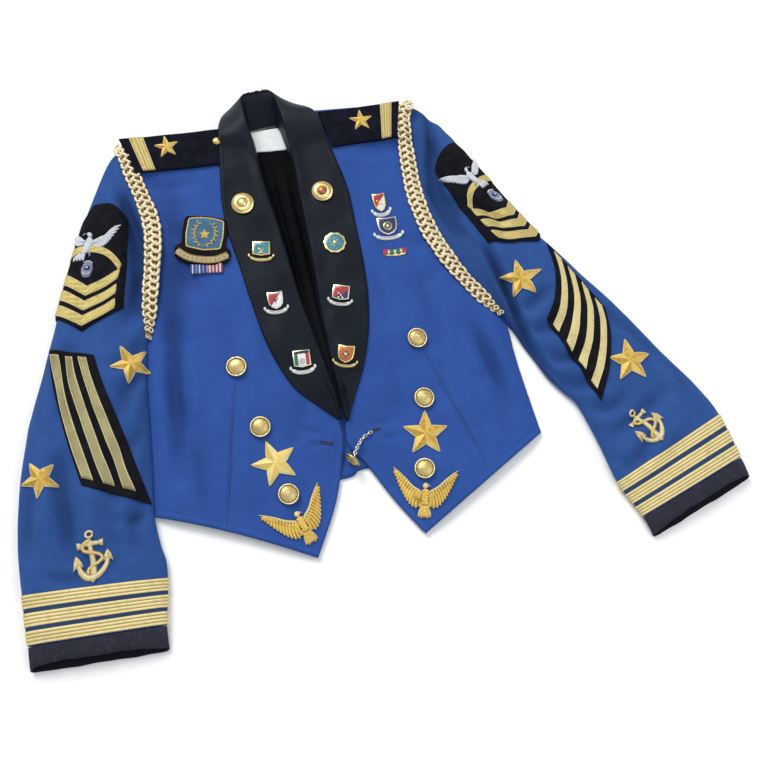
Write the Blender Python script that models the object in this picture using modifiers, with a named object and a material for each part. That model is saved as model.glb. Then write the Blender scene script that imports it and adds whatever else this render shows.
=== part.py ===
"""A cropped military jacket laid flat on its back, face up.

Tables are in millimetres in the plan of the laid garment: x to the right, y up the page, z up from the
surface. Right and left are the wearer's, so the right front is on the -x side. The last step moves the
whole garment so that its origin is the middle of its footprint.
"""

import math

import bpy
import numpy as np
from mathutils import Matrix, Vector
from mathutils.bvhtree import BVHTree
from mathutils.geometry import tessellate_polygon

MM = 0.001
GARMENT = "Cropped_military_jacket"

# Driving sizes
CLOTH = 1.6
SATIN = 1.8
LINING = 1.0
BINDING = 2.0
GAP = 0.4
STIFF_GAP = 0.3
SEAM = 0.9
TRIM = 1.4
BULLION = 2.1
LABEL_THICK = 0.6
CLEAR_OF_FLOOR = 0.8
BUTTON_ACROSS = 23.0
STAR_RADIUS = 25.0
SLEEVE_STAR_RADIUS = 23.5
BOARD_STAR_RADIUS = 12.5
BRAID_BAND = 14.5
BRAID_BAND_THICK = 1.1
EAGLE_SPAN = 74.0
ANCHOR_HEIGHT = 52.0
PATCH_THICK = 2.6
PIN_THICK = 2.2
RIBBON_THICK = 2.0

# Colours, with roughness and metallic value
LOOKS = {
    "wool_blue": ((0.026, 0.080, 0.376), 0.75, 0.0),
    "satin_black": ((0.018, 0.023, 0.032), 0.45, 0.0),
    "felt_black": ((0.007, 0.008, 0.013), 0.9, 0.0),
    "grosgrain_black": ((0.019, 0.021, 0.032), 0.7, 0.0),
    "lining_black": ((0.008, 0.007, 0.007), 0.5, 0.0),
    "label_white": ((0.68, 0.72, 0.79), 0.6, 0.0),
    "braid_gold": ((0.62, 0.46, 0.19), 0.5, 0.4),
    "braid_silver_gold": ((0.66, 0.55, 0.36), 0.4, 0.6),
    "bullion_gold": ((0.55, 0.36, 0.11), 0.4, 0.7),
    "brass": ((0.52, 0.38, 0.14), 0.3, 1.0),
    "steel_link": ((0.60, 0.57, 0.50), 0.25, 1.0),
    "enamel_teal": ((0.05, 0.20, 0.24), 0.25, 0.0),
    "enamel_red": ((0.42, 0.04, 0.04), 0.25, 0.0),
    "enamel_green": ((0.03, 0.15, 0.08), 0.25, 0.0),
    "enamel_navy": ((0.02, 0.03, 0.10), 0.25, 0.0),
    "ribbon_weave": ((0.45, 0.35, 0.45), 0.8, 0.0),
}

# The fronts, from the shoulder to the hem: the armhole and side edge, the roll line and front edge,
# and how far the cloth swells between them.
FRONT_RIGHT = [
    # side_x, side_y, side_z, edge_x, edge_y, edge_z, swell
    (-310, 276, 28.0, -173, 315, 29, 0.5),
    (-295, 253, 27.0, -164, 295, 29, 1.0),
    (-283, 232, 24.5, -156, 270, 27, 2.0),
    (-272, 200, 21.0, -145, 232, 24, 3.0),
    (-266, 159, 17.5, -131, 188, 21, 3.5),
    (-265, 123, 14.0, -116, 141, 19, 4.5),
    (-266, 87, 9.5, -102, 94, 18, 6.5),
    (-266.5, 44, 3.9, -82, 42, 16, 8.5),
    (-263.5, 0, 3.9, -67, 3, 14, 8.5),
    (-259.5, -40, 3.9, -54, -39, 10, 8.0),
    (-255, -80, 3.9, -47, -70, 7, 7.5),
    (-251, -113, 3.9, -50, -109, 5, 6.5),
    (-248.5, -135, 3.9, -57, -146, 4.5, 6.2),
    (-246.5, -154, 3.9, -74, -198, 4.5, 5.2),
]
FRONT_LEFT = [
    # side_x, side_y, side_z, edge_x, edge_y, edge_z, swell
    (27, 352, 28.0, -115, 336, 29, 0.5),
    (29, 326, 27.0, -110, 310, 29, 1.0),
    (29, 296, 24.5, -102, 274, 27, 2.0),
    (33, 262, 21.5, -94.5, 233, 24, 3.0),
    (44, 225, 18.5, -85.5, 187, 21, 3.5),
    (59, 188, 15.5, -76.5, 142, 19, 4.5),
    (82, 149, 12.0, -69.5, 97, 18, 6.0),
    (113, 112, 8.0, -60.5, 52, 16, 8.0),
    (144, 79, 3.9, -52.5, 11, 13, 9.0),
    (153, 43, 3.9, -42.5, -32, 8, 9.0),
    (158, 21, 3.9, -45, -56, 4.5, 8.5),
    (164, -1, 3.9, -40, -76, 4.5, 8.0),
    (169.5, -21, 3.9, -20, -97, 4.5, 7.0),
    (174.5, -39, 3.9, 9, -134.5, 4.5, 6.6),
    (179.5, -57, 3.9, 43, -172, 4.5, 5.2),
]
HEM_RISE_RIGHT = 3.2
ACROSS_FRONT = (0.0, 0.035, 0.09, 0.18, 0.30, 0.42, 0.54, 0.66, 0.77, 0.87, 0.95, 1.0)
SWELL_ACROSS = (0.0, 0.38, 0.72, 0.94, 1.0, 0.98, 0.92, 0.84, 0.70, 0.48, 0.22, 0.0)
FRONT_ROWS = 20

# Soft troughs pressed into the laid cloth
FRONT_TROUGHS = [
    # from_x, from_y, to_x, to_y, depth, reach
    (-236, 60, -226, -110, 2.6, 17),
    (-168, -10, -171, -170, 1.4, 10),
    (-205, -60, -196, -165, 1.6, 15),
    (46, 28, 118, -98, 1.4, 10),
    (110, 60, 146, -40, 2.2, 15),
    (20, 120, 60, 40, 1.6, 16),
]
SLEEVE_TROUGHS = [
    # from_x, from_y, to_x, to_y, depth, reach
    (-300, 196, -282, 70, 4.0, 12),
    (-345, 40, -352, -110, 3.0, 13),
    (-270, -20, -300, -110, 3.0, 12),
    (-352, -120, -300, -160, 2.6, 12),
    (66, 300, 88, 196, 3.6, 12),
    (104, 214, 170, 92, 4.2, 13),
    (190, 10, 262, 34, 3.0, 13),
    (262, -70, 330, -10, 2.6, 13),
]

# The sleeves, from the armhole to the wrist. Follow is how far a ring still takes the armhole's curve.
SLEEVE_RIGHT = [
    # outer_x, outer_y, inner_x, inner_y, follow, height, floor
    (-318, 280, -268.2, 43, 1.00, 28, 0),
    (-330, 262, -268.4, 34, 0.86, 28, 0),
    (-341, 224, -268.4, 25, 0.62, 27, 0),
    (-350, 186, -267.8, 13, 0.42, 26, 0),
    (-361, 120, -266.0, -7, 0.24, 25, 0),
    (-371, 55, -262.2, -36, 0.12, 25, 0),
    (-380, -4, -257.8, -70, 0.05, 24, 0),
    (-388, -66, -253.4, -109, 0.0, 24, 0),
    (-390, -131, -249.0, -152, 0.0, 23, 0),
    (-386.5, -184, -240.5, -184, 0.0, 22, 0),
    (-381, -216, -234, -200, 0.0, 21, 1.6),
    (-376, -240, -231, -222, 0.0, 20, 1.6),
    (-369, -274, -230, -254, 0.0, 19, 1.6),
    (-366, -286, -229.5, -266, 0.0, 18, 1.6),
]
SLEEVE_LEFT = [
    # outer_x, outer_y, inner_x, inner_y, follow, height, floor
    (49, 357, 146.4, 81.5, 1.00, 28, 0),
    (64, 352, 149.5, 77, 0.88, 28, 0),
    (88, 329, 152.5, 72, 0.66, 27, 0),
    (113, 294, 156.5, 65, 0.48, 26, 0),
    (143, 251, 164, 51, 0.32, 25, 0),
    (179, 204, 176, 33, 0.18, 25, 0),
    (216, 165, 191, 10, 0.09, 24, 0),
    (253, 126, 207, -7, 0.03, 24, 0),
    (290, 87, 223, -22, 0.0, 23, 0),
    (329, 43, 238, -52, 0.0, 22, 0),
    (364, 4, 250, -80, 0.0, 22, 0),
    (383, -20, 258, -103, 0.0, 21, 1.6),
    (394, -41, 266, -119, 0.0, 20, 1.6),
    (407, -73, 284, -144, 0.0, 19, 1.6),
    (411, -85, 290, -153, 0.0, 18, 1.6),
]
SLEEVE_RINGS = 18
RING_TOP = [
    # across, crown
    (0.0, 0.38),
    (0.012, 0.58),
    (0.045, 0.76),
    (0.105, 0.89),
    (0.20, 0.97),
    (0.33, 1.0),
    (0.47, 1.0),
    (0.61, 0.97),
    (0.75, 0.90),
    (0.87, 0.76),
    (0.955, 0.56),
    (1.0, 0.33),
]
RING_FLOOR = [
    # across, crown
    (0.985, 0.05),
    (0.92, 0.0),
    (0.64, 0.0),
    (0.36, 0.0),
    (0.08, 0.0),
    (0.012, 0.06),
]

# The collar from each lapel's point up to the centre back: its outer edge, its fold and how high the
# fold stands over the front, and the seam inside the neck.
COLLAR_RIGHT = [
    # outer_x, outer_y, outer_z, fold_x, fold_y, fold_z, seam_x, seam_y, seam_z
    (-52.5, -46, 11.2, -50.2, -44.5, 11.8, -49, -44, 10.8),
    (-79, -29, 0, -55, -24, 15, -53, -24, 10),
    (-107, -6, 0, -63.5, 2, 18, -61, 2, 12),
    (-133, 37, 0, -78, 41, 21, -75.5, 41, 14),
    (-153, 89, 0, -97.5, 93, 24, -95, 93, 16),
    (-168, 134, 0, -111.5, 139, 26, -109, 139, 17),
    (-181, 171, 0, -126, 187, 28, -123, 187, 19),
    (-190, 209, 0, -140, 229, 31, -137, 229, 21),
    (-194, 251, 0, -151.5, 267, 35, -148, 267, 22),
    (-197, 288, 34.6, -160.5, 300, 39, -156, 300, 20),
    (-198, 320, 26, -168.5, 328, 38, -162, 316, 12),
    (-190, 347, 8, -172, 358, 28, -160, 321, 8.5),
    (-155.0, 364, 5, -154.9, 367, 25, -147.0, 326.5, 8),
]
COLLAR_LEFT = [
    # outer_x, outer_y, outer_z, fold_x, fold_y, fold_z, seam_x, seam_y, seam_z
    (-41.5, -46, 9.5, -44.2, -43.5, 10.5, -45.6, -43, 9.5),
    (-33, -14, 0, -51.5, -13, 14, -53, -13, 8),
    (-25, 14, 0, -58, 13, 18, -60, 13, 11),
    (-19, 54, 0, -66, 51, 21, -68.5, 51, 13),
    (-19, 99, 0, -75, 96, 24, -77.5, 96, 15),
    (-24, 143, 0, -82, 140, 26, -84.5, 140, 17),
    (-33, 189, 0, -91, 185, 28, -93.5, 185, 19),
    (-42, 234, 0, -100, 231, 31, -103, 231, 21),
    (-56, 272, 0, -107.5, 272, 35, -111, 272, 22),
    (-69, 304, 34, -115.5, 300, 39, -120, 300, 20),
    (-85, 336, 37.2, -125, 333, 39, -126, 322, 12),
    (-114, 361, 8, -137, 366, 28, -132, 330, 8.5),
    (-154.2, 364, 5, -154.1, 367, 25, -146.2, 326.6, 8),
]
COLLAR_ROWS = 17
ACROSS_COLLAR = (0.0, 0.10, 0.32, 0.56, 0.78, 0.93)
COLLAR_LOFT = (0.0, 0.5, 1.1, 1.7, 2.3, 2.6)

# The back's edges beyond the fronts: hem and neck
BACK_HEM = [
    (-246, -152), (-178, -137.5), (-110, -123), (-42, -108.5), (-22, -98), (60, -83), (120, -70), (178, -56),
]
BACK_NECK = [(-171, 310), (-160, 319), (-147, 325.5), (-134, 328), (-121, 331)]
SHOULDER_TURN = 7.0
BACK_INSET = 1.2

# The lining as it shows between the lapels, from the neck to the waist
LINING_ROWS = [
    # right_x, right_y, left_x, left_y, rise
    (-161.5, 321, -126, 331.5, 4.4),
    (-161.5, 292, -113, 300, 5.0),
    (-158, 262, -104, 262, 5.0),
    (-148, 224, -97, 224, 5.5),
    (-134, 182, -88, 180, 5.5),
    (-120, 136, -79, 136, 5.0),
    (-105, 90, -72, 90, 4.5),
    (-86, 42, -63, 46, 3.8),
    (-71, 6, -55, 8, 3.2),
    (-58, -30, -46, -30, 3.0),
]
LINING_FOLDS = ((0.12, 1.8), (0.30, -1.6), (0.45, 2.6), (0.58, -1.8), (0.76, 2.2), (0.90, -1.0))

LABEL = [(-157.5, 319.5), (-124, 328.5), (-113.5, 301), (-152.5, 293.5)]

# Shoulder boards: outer far, outer near, neck near, neck far corners
BOARD_RIGHT = [(-313, 287), (-291, 247), (-197.5, 263), (-201.5, 307)]
BOARD_LEFT = [(20.5, 356), (17.5, 308), (-61.5, 292), (-80, 336)]
BOARD_THICK = 3.2
BOARD_STARS = {"right": (-257, 279, 14), "left": (-27, 326, 8)}
BOARD_ALONG = (0.0, 0.11, 0.12, 0.235, 0.245, 0.42, 0.60, 0.80, 1.0)
BOARD_STRIPE = slice(2, 4)
STRIPE_RISE = 0.8

# Metallic braid along each armhole seam
ARMHOLE_BRAID_RIGHT = [
    # x, y, wide
    (-321.0, 281, 8),
    (-312.0, 265, 8.5),
    (-302.5, 246, 9),
    (-291.5, 229, 13),
    (-281.0, 212, 18),
    (-271.5, 188, 20),
    (-266.5, 160, 20),
    (-266.0, 128, 20),
    (-267.0, 96, 18),
    (-267.2, 68, 13),
    (-267.6, 48, 7),
]
ARMHOLE_BRAID_LEFT = [
    # x, y, wide
    (37.0, 355, 9),
    (28.5, 341, 11),
    (27.5, 318, 14),
    (28.5, 296, 17),
    (31.5, 270, 19),
    (39.5, 236, 20),
    (52.0, 203, 20),
    (71.0, 168, 20),
    (95.0, 134, 18),
    (120.0, 106, 13),
    (139.0, 87, 7),
]
BRAID_STEPS = 34
BRAID_GAP = 1.5
BRAID_EDGE = 1.6
BRAID_CREST = 3.6
BETWEEN_LINKS = 0.82

# Gold bands round each wrist: how far the middle of each one lies from the binding
BAND_MIDDLES = (45.5, 26.5, 7.8)

# How high a star stands at its ten outline points, at the ten points half way in and in the middle
STAR_RIDGE = np.array([1.0] * 10 + [1.9, 1.0] * 5 + [3.2])
STAR_RISE = 0.8
BOARD_STAR_RISE = 0.5

# Domed buttons, front stars and eagles on the fronts
BUTTONS_RIGHT = [(-167, 12), (-139, -56), (-107, -130)]
BUTTONS_LEFT = [(37, 50), (44, -20), (43, -101)]
FRONT_STAR_RIGHT = (-122, -96, 18)
FRONT_STAR_LEFT = (45, -61, 4)
EAGLE_RIGHT = (-93, -159, 30)
EAGLE_LEFT = (43, -129, -3)

# Stars and anchors on the sleeves: place, turn in degrees and, for a star, how far it is lifted
SLEEVE_STARS = {
    "Star_sleeve_right_upper": ("right", -283, 11, 12, 1.2),
    "Star_sleeve_right_lower": ("right", -364.5, -117, 10, 2.4),
    "Star_sleeve_left_upper": ("left", 164, 125, 20, 1.0),
    "Star_sleeve_left_lower": ("left", 285, 25, 6, 0.8),
}
ANCHORS = {
    "Anchor_sleeve_right": ("right", -307, -196, 10),
    "Anchor_sleeve_left": ("left", 297, -50, 33),
}

# Badges on the sleeves: centre, turn in degrees, size and how far each is lifted
RATING_BADGES = {
    "Rating_badge_right": ("right", -331, 128, -9, 84, 156, 1.8),
    "Rating_badge_left": ("left", 124, 232, 38, 88, 150, 2.6),
}
BADGE_ACROSS = (-0.72, -0.65, -0.58, -0.50, -0.42, -0.32, -0.16, 0.0, 0.35, 0.7, 1.0)
BADGE_LINES = [
    # ends, middle (fractions of half the height), half width there, raised
    (0.98, 1.0, 0.50, 0),
    (0.72, 0.86, 0.80, 0),
    (0.16, 0.34, 0.98, 0),
    (0.13, 0.32, 0.98, 1),
    (0.03, 0.21, 0.98, 1),
    (0.00, 0.18, 0.98, 0),
    (-0.01, -0.30, 0.98, 0),
    (-0.03, -0.32, 0.98, 1),
    (-0.15, -0.44, 0.98, 1),
    (-0.19, -0.48, 0.98, 0),
    (-0.23, -0.52, 0.98, 1),
    (-0.35, -0.64, 0.98, 1),
    (-0.39, -0.68, 0.98, 0),
    (-0.43, -0.72, 0.98, 1),
    (-0.55, -0.84, 0.98, 1),
    (-0.70, -1.0, 0.98, 0),
]
# Stripe patches on the sleeves: the two edges of each, from the top down, and the number of stripes
SERVICE_PATCHES = {
    "Service_stripes_right": ("right", 3),
    "Service_stripes_left": ("left", 4),
}
SERVICE_EDGES = {
    "right": [
        # front_x, front_y, back_x, back_y
        (-372, 28, -322, 21),
        (-366, -4, -312, -6),
        (-356, -39, -296, -41),
        (-341, -80, -276, -85),
        (-323, -124, -251, -142),
    ],
    "left": [
        # front_x, front_y, back_x, back_y
        (197, 175, 263, 92),
        (204, 137, 265, 54),
        (201, 103, 260, 16),
        (190, 75, 248, -23),
    ],
}

# Pins: place, turn in degrees, outline, width, height and look
LAPEL_PINS = {
    "Pin_lapel_right_1": ("right", -166, 210, 0, "round", 26, 26, "brass"),
    "Pin_lapel_right_2": ("right", -143, 151, 2, "plaque", 28, 24, "enamel_teal"),
    "Pin_lapel_right_3": ("right", -125, 88, 8, "shield", 26, 26, "enamel_red"),
    "Pin_lapel_right_4": ("right", -94, 18, 8, "shield", 27, 27, "enamel_green"),
    "Pin_lapel_left_1": ("left", -73, 229, 0, "round", 25, 25, "brass"),
    "Pin_lapel_left_2": ("left", -58, 164, 0, "round", 27, 27, "enamel_teal"),
    "Pin_lapel_left_3": ("left", -51, 99, -6, "shield", 27, 24, "enamel_navy"),
    "Pin_lapel_left_4": ("left", -45, 26, -6, "shield", 27, 25, "brass"),
}
CHEST_PINS = {
    "Pin_chest_left_top": ("left", -4, 217, 12, "shield", 19, 25, "enamel_red"),
    "Pin_chest_left_middle": ("left", 5, 187, 8, "shield", 34, 28, "enamel_navy"),
    "Pin_chest_left_bottom": ("left", 13, 157, 8, "plaque", 26, 11, "brass"),
}
CHEST_PATCH = ("right", -209, 163, -4, "crest", 57, 54, "felt_black")
RIBBON_BAR = ("right", -205, 129, 4, "plaque", 37, 11, "ribbon_weave")

# Outlines as fractions of half the width and half the height, read round the edge
OUTLINES = {
    "shield": [
        (-0.84, 0.94), (-0.3, 1.0), (0.3, 1.0), (0.84, 0.94), (0.86, 0.1), (0.80, -0.2), (1.0, -0.36),
        (0.90, -0.66), (0.4, -0.96), (-0.4, -0.96), (-0.90, -0.66), (-1.0, -0.36), (-0.80, -0.2), (-0.86, 0.1),
    ],
    "plaque": [
        (-0.92, 1.0), (0.92, 1.0), (1.0, 0.6), (1.0, -0.6), (0.92, -1.0), (-0.92, -1.0), (-1.0, -0.6), (-1.0, 0.6),
    ],
    "crest": [
        (-0.76, 0.94), (0.0, 1.0), (0.76, 0.94), (0.80, 0.4), (0.76, -0.16), (1.0, -0.30), (0.96, -0.76),
        (0.5, -0.98), (-0.5, -0.98), (-0.96, -0.76), (-1.0, -0.30), (-0.76, -0.16), (-0.80, 0.4),
    ],
}
EAGLE_HALF = [
    # x, y in halves of the span, from the head round one wing to the tail
    (0.0, 0.30), (0.09, 0.25), (0.11, 0.12), (0.24, 0.14), (0.42, 0.34), (0.62, 0.60), (0.92, 0.70),
    (1.0, 0.44), (0.90, 0.20), (0.78, -0.02), (0.58, -0.16), (0.36, -0.22), (0.17, -0.30), (0.26, -0.66),
    (0.12, -0.76), (0.0, -0.70),
]
ANCHOR_HALF = [
    # x, y in halves of the height, from the ring round one fluke to the crown
    (0.0, 1.0), (0.14, 0.95), (0.20, 0.80), (0.14, 0.66), (0.08, 0.60), (0.08, 0.50), (0.50, 0.50),
    (0.50, 0.34), (0.10, 0.34), (0.10, -0.62), (0.34, -0.54), (0.52, -0.30), (0.46, -0.20), (0.80, 0.02),
    (0.86, -0.34), (0.72, -0.34), (0.50, -0.72), (0.22, -0.94), (0.0, -1.0),
]

# The closure: its button stands on its rim between the fronts, and its chain runs up to a buttonhole
CLOSURE_BUTTON = (-36.5, -91.0, 13.0)
CLOSURE_BUTTON_FACES = (-0.62, -0.78, 0.05)
CLOSURE_BUTTON_ACROSS = 20.0
CLOSURE_CHAIN = [
    # x, y, z
    (-17, -60, 9.0),
    (-24.5, -65.5, 9.5),
    (-29.5, -73, 10.5),
    (-33.2, -81, 11.8),
    (-36.05, -90.3, 12.8),
]
CHAIN_THICK = 3.4
BOARD_BUTTON = (-203.5, 286)
BOARD_BUTTON_ACROSS = 9.0

# The binding at each wrist: how far its rings reach past the sleeve, and how much further underneath
CUFF_REACHES = (0.7, 7.0, 13.0, 18.5)
CUFF_LEAN = 0.45

BUTTON_PROFILE = [
    # radius, height as fractions of the width
    (0.0, 0.235), (0.22, 0.21), (0.40, 0.13), (0.50, 0.075), (0.47, 0.0), (0.0, 0.0),
]
ROUND_PIN_PROFILE = [
    # radius, height as fractions of the width
    (0.0, 0.11), (0.30, 0.105), (0.42, 0.085), (0.5, 0.05), (0.5, 0.01), (0.46, 0.0), (0.0, 0.0),
]


def empty_scene():
    for obj in list(bpy.data.objects):
        bpy.data.objects.remove(obj)
    for used in (bpy.data.meshes, bpy.data.materials, bpy.data.collections):
        for block in list(used):
            used.remove(block)


def make_look(name):
    colour, roughness, metallic = LOOKS[name]
    look = bpy.data.materials.new(name)
    look.use_nodes = True
    shader = look.node_tree.nodes["Principled BSDF"]
    shader.inputs["Base Color"].default_value = (*colour, 1.0)
    shader.inputs["Roughness"].default_value = roughness
    shader.inputs["Metallic"].default_value = metallic
    return look


def look_named(name):
    return bpy.data.materials.get(name) or make_look(name)


def link(name, mesh, look):
    """A new object of the garment's collection, shaded smooth over its soft edges."""
    mesh.materials.append(look_named(look))
    mesh.shade_smooth()
    mesh.set_sharp_from_angle(angle=math.radians(40))
    obj = bpy.data.objects.new(name, mesh)
    bpy.data.collections[GARMENT].objects.link(obj)
    return obj


def mesh_of(name, points, faces):
    mesh = bpy.data.meshes.new(name)
    mesh.from_pydata((np.asarray(points) * MM).tolist(), [], faces)
    mesh.validate()
    return mesh


def smooth_rows(rows, count):
    """A short table read off at even steps, along smooth curves through its rows."""
    rows = np.array(rows, float)
    ends = np.vstack([2 * rows[0] - rows[1], rows, 2 * rows[-1] - rows[-2]])
    places = np.linspace(0, len(rows) - 1, count)
    first = np.minimum(places.astype(int), len(rows) - 2)
    part = (places - first)[:, None]
    before, here, there, after = (ends[first + step] for step in range(4))
    bend = (there - before) * part
    bend = bend + (2 * before - 5 * here + 4 * there - after) * part**2
    bend = bend + (3 * here - before - 3 * there + after) * part**3
    return here + 0.5 * bend


def pressed(points, troughs):
    """Lowers the points along each trough, by less the further they lie from it."""
    low = np.zeros(points.shape[:-1])
    for from_x, from_y, to_x, to_y, depth, reach in troughs:
        start = np.array([from_x, from_y])
        run = np.array([to_x, to_y]) - start
        along = np.clip(((points[..., :2] - start) @ run) / (run @ run), 0, 1)
        away = np.linalg.norm(points[..., :2] - start - along[..., None] * run, axis=-1)
        low += depth * np.exp(-((away / reach) ** 2))
    return low


def grid_faces(rows, columns, ring=False):
    faces = []
    for row in range(rows - 1):
        for column in range(columns if ring else columns - 1):
            here = row * columns + column
            beside = row * columns + (column + 1) % columns
            faces.append((here, beside, beside + columns, here + columns))
    return faces


def faces_up(points, faces):
    """The faces turned so that most of the sheet faces up."""
    points = np.asarray(points)
    area = 0.0
    for face in faces:
        corners = points[list(face)]
        area += np.cross(corners[1] - corners[0], corners[2] - corners[0])[2]
    return faces if area > 0 else [face[::-1] for face in faces]


class Sheet:
    """An open sheet of cloth given by its upper surface, a grid of points."""

    def __init__(self, name, grid, wall, look, ring=False):
        self.grid = grid
        points = grid.reshape(-1, 3)
        faces = grid_faces(grid.shape[0], grid.shape[1], ring)
        if ring:
            faces = outward(points, faces, grid)
        else:
            faces = faces_up(points, faces)
        self.tree = BVHTree.FromPolygons(points.tolist(), faces)
        self.object = link(name, mesh_of(name, points, faces), look)
        solid = self.object.modifiers.new("Wall", "SOLIDIFY")
        solid.thickness = wall * MM
        solid.offset = -1.0


class Ground:
    """The top of a piece that other pieces are set down on."""

    def __init__(self, grid):
        points = grid.reshape(-1, 3)
        self.tree = BVHTree.FromPolygons(points.tolist(), faces_up(points, grid_faces(*grid.shape[:2])))


def outward(points, faces, grid):
    """The faces of a ring grid turned so that they face away from the ring's middle."""
    face = faces[0]
    corners = points[list(face)]
    normal = np.cross(corners[1] - corners[0], corners[2] - corners[0])
    away = corners.mean(axis=0) - grid[0].mean(axis=0)
    return faces if normal @ away > 0 else [turned[::-1] for turned in faces]


def height_under(x, y, supports, centre=None):
    """The highest support at a place, or at the nearest place towards the centre that has one."""
    target = (x, y) if centre is None else centre
    for step in np.linspace(0.0, 0.6, 16):
        place = Vector((x + (target[0] - x) * step, y + (target[1] - y) * step, 300.0))
        found = [support.tree.ray_cast(place, Vector((0, 0, -1)))[0] for support in supports]
        heights = [hit.z for hit in found if hit is not None]
        if heights:
            return max(heights)
    return 0.0


def crest_under(x, y, supports, centre, reach):
    """The highest support within reach of a place."""
    if reach == 0:
        return height_under(x, y, supports, centre)
    turns = [(0, 0)] + [(math.cos(a) * reach, math.sin(a) * reach) for a in np.linspace(0, 2 * math.pi, 9)[:-1]]
    return max(height_under(x + dx, y + dy, supports, centre or (x, y)) for dx, dy in turns)


def laid(places, supports, gap=GAP, centre=None, reach=0):
    """Points in the plan set down on the supports, a gap above them."""
    return np.array([(x, y, crest_under(x, y, supports, centre, reach) + gap) for x, y in places])


def between(name, lower, upper, look):
    """A closed solid between two grids of the same shape, the lower one turned down."""
    rows, columns = lower.shape[:2]
    count = rows * columns
    points = np.vstack([lower.reshape(-1, 3), upper.reshape(-1, 3)])
    top = faces_up(points[count:], grid_faces(rows, columns))
    faces = [tuple(index + count for index in face) for face in top]
    faces += [face[::-1] for face in top]
    rim = list(range(columns))
    rim += [row * columns + columns - 1 for row in range(1, rows)]
    rim += [(rows - 1) * columns + column for column in range(columns - 2, -1, -1)]
    rim += [row * columns for row in range(rows - 2, 0, -1)]
    faces += rim_walls(points, rim, count)
    return link(name, mesh_of(name, points, faces), look)


def rim_walls(points, rim, count):
    """The walls round a rim of lower points, up to the upper points that stand over them."""
    flat = points[rim][:, :2]
    following = np.roll(flat, -1, axis=0)
    counter_clockwise = (flat[:, 0] * following[:, 1] - following[:, 0] * flat[:, 1]).sum() > 0
    rim = rim if counter_clockwise else rim[::-1]
    return [(a, b, b + count, a + count) for a, b in zip(rim, rim[1:] + rim[:1])]


def plate(name, lower, upper, look):
    """A closed solid between two outlines of the same points."""
    count = len(lower)
    points = np.vstack([lower, upper])
    flat = [Vector((x, y, 0.0)) for x, y, _ in lower]
    triangles = faces_up(points[:count] * (1, 1, 0), [tuple(face) for face in tessellate_polygon([flat])])
    top = []
    for face in triangles:
        a, b, c = points[list(face)] * (1, 1, 0)
        top.append(face if np.cross(b - a, c - a)[2] > 0 else face[::-1])
    faces = [face[::-1] for face in top] + [tuple(index + count for index in face) for face in top]
    faces += rim_walls(points, list(range(count)), count)
    return link(name, mesh_of(name, points, faces), look)


def turned_about(place, degrees, offsets):
    """Offsets about a place in the plan, turned anticlockwise."""
    angle = math.radians(degrees)
    spin = np.array([[math.cos(angle), -math.sin(angle)], [math.sin(angle), math.cos(angle)]])
    return np.asarray(offsets, float) @ spin.T + np.asarray(place[:2], float)


class Skin:
    """A sleeve's outer face, where trim is placed along the sleeve and round it."""

    MIDDLE = 5

    def __init__(self, grid):
        self.grid = grid
        steps = np.linspace(0, len(grid) - 1, 160)
        rounds = np.linspace(-80, 80, 161)
        self.samples = [(step, turn, self.point(step, turn)) for step in steps for turn in rounds]
        self.samples = [sample for sample in self.samples if sample[2][2] > 4.0]
        self.plan = np.array([sample[2][:2] for sample in self.samples])

    def point(self, step, turn):
        """The point this many rings along and this many millimetres round from the middle line."""
        first = int(np.clip(math.floor(step), 0, len(self.grid) - 2))
        ring = self.grid[first] * (first + 1 - step) + self.grid[first + 1] * (step - first)
        order = np.roll(ring, -self.MIDDLE, axis=0)
        if turn < 0:
            order = np.roll(order[::-1], 1, axis=0)
        lengths = np.linalg.norm(np.diff(order, axis=0), axis=1)
        reached = np.concatenate([[0.0], np.cumsum(lengths)])
        return np.array([np.interp(abs(turn), reached, order[:, axis]) for axis in range(3)])

    def normal(self, step, turn):
        along = self.point(step + 0.2, turn) - self.point(step - 0.2, turn)
        across = self.point(step, turn + 3) - self.point(step, turn - 3)
        normal = np.cross(along, across)
        normal /= np.linalg.norm(normal)
        return normal if normal @ self.outward_hint(step, turn) > 0 else -normal

    def outward_hint(self, step, turn):
        first = int(np.clip(math.floor(step), 0, len(self.grid) - 2))
        return self.point(step, turn) - self.grid[first].mean(axis=0)

    def wrap(self, place, offsets, lift):
        """Offsets about a place in the plan, wrapped round the sleeve and lifted off it."""
        nearest = np.argmin(((self.plan - np.asarray(place[:2], float)) ** 2).sum(axis=1))
        step, turn, centre = self.samples[nearest]
        along = (self.point(step + 0.3, turn) - self.point(step - 0.3, turn)) / 0.6
        across = self.point(step, turn + 4) - self.point(step, turn - 4)
        pace = np.linalg.norm(along)
        axes = np.column_stack([along[:2] / np.linalg.norm(along[:2]), across[:2] / np.linalg.norm(across[:2])])
        moves = (np.asarray(offsets, float) - np.asarray(place[:2], float)) @ np.linalg.inv(axes).T
        lifts = np.broadcast_to(lift, len(moves))
        return np.array([
            self.point(step + move[0] / pace, turn + move[1])
            + self.normal(step + move[0] / pace, turn + move[1]) * up
            for move, up in zip(moves, lifts)
        ])


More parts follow.
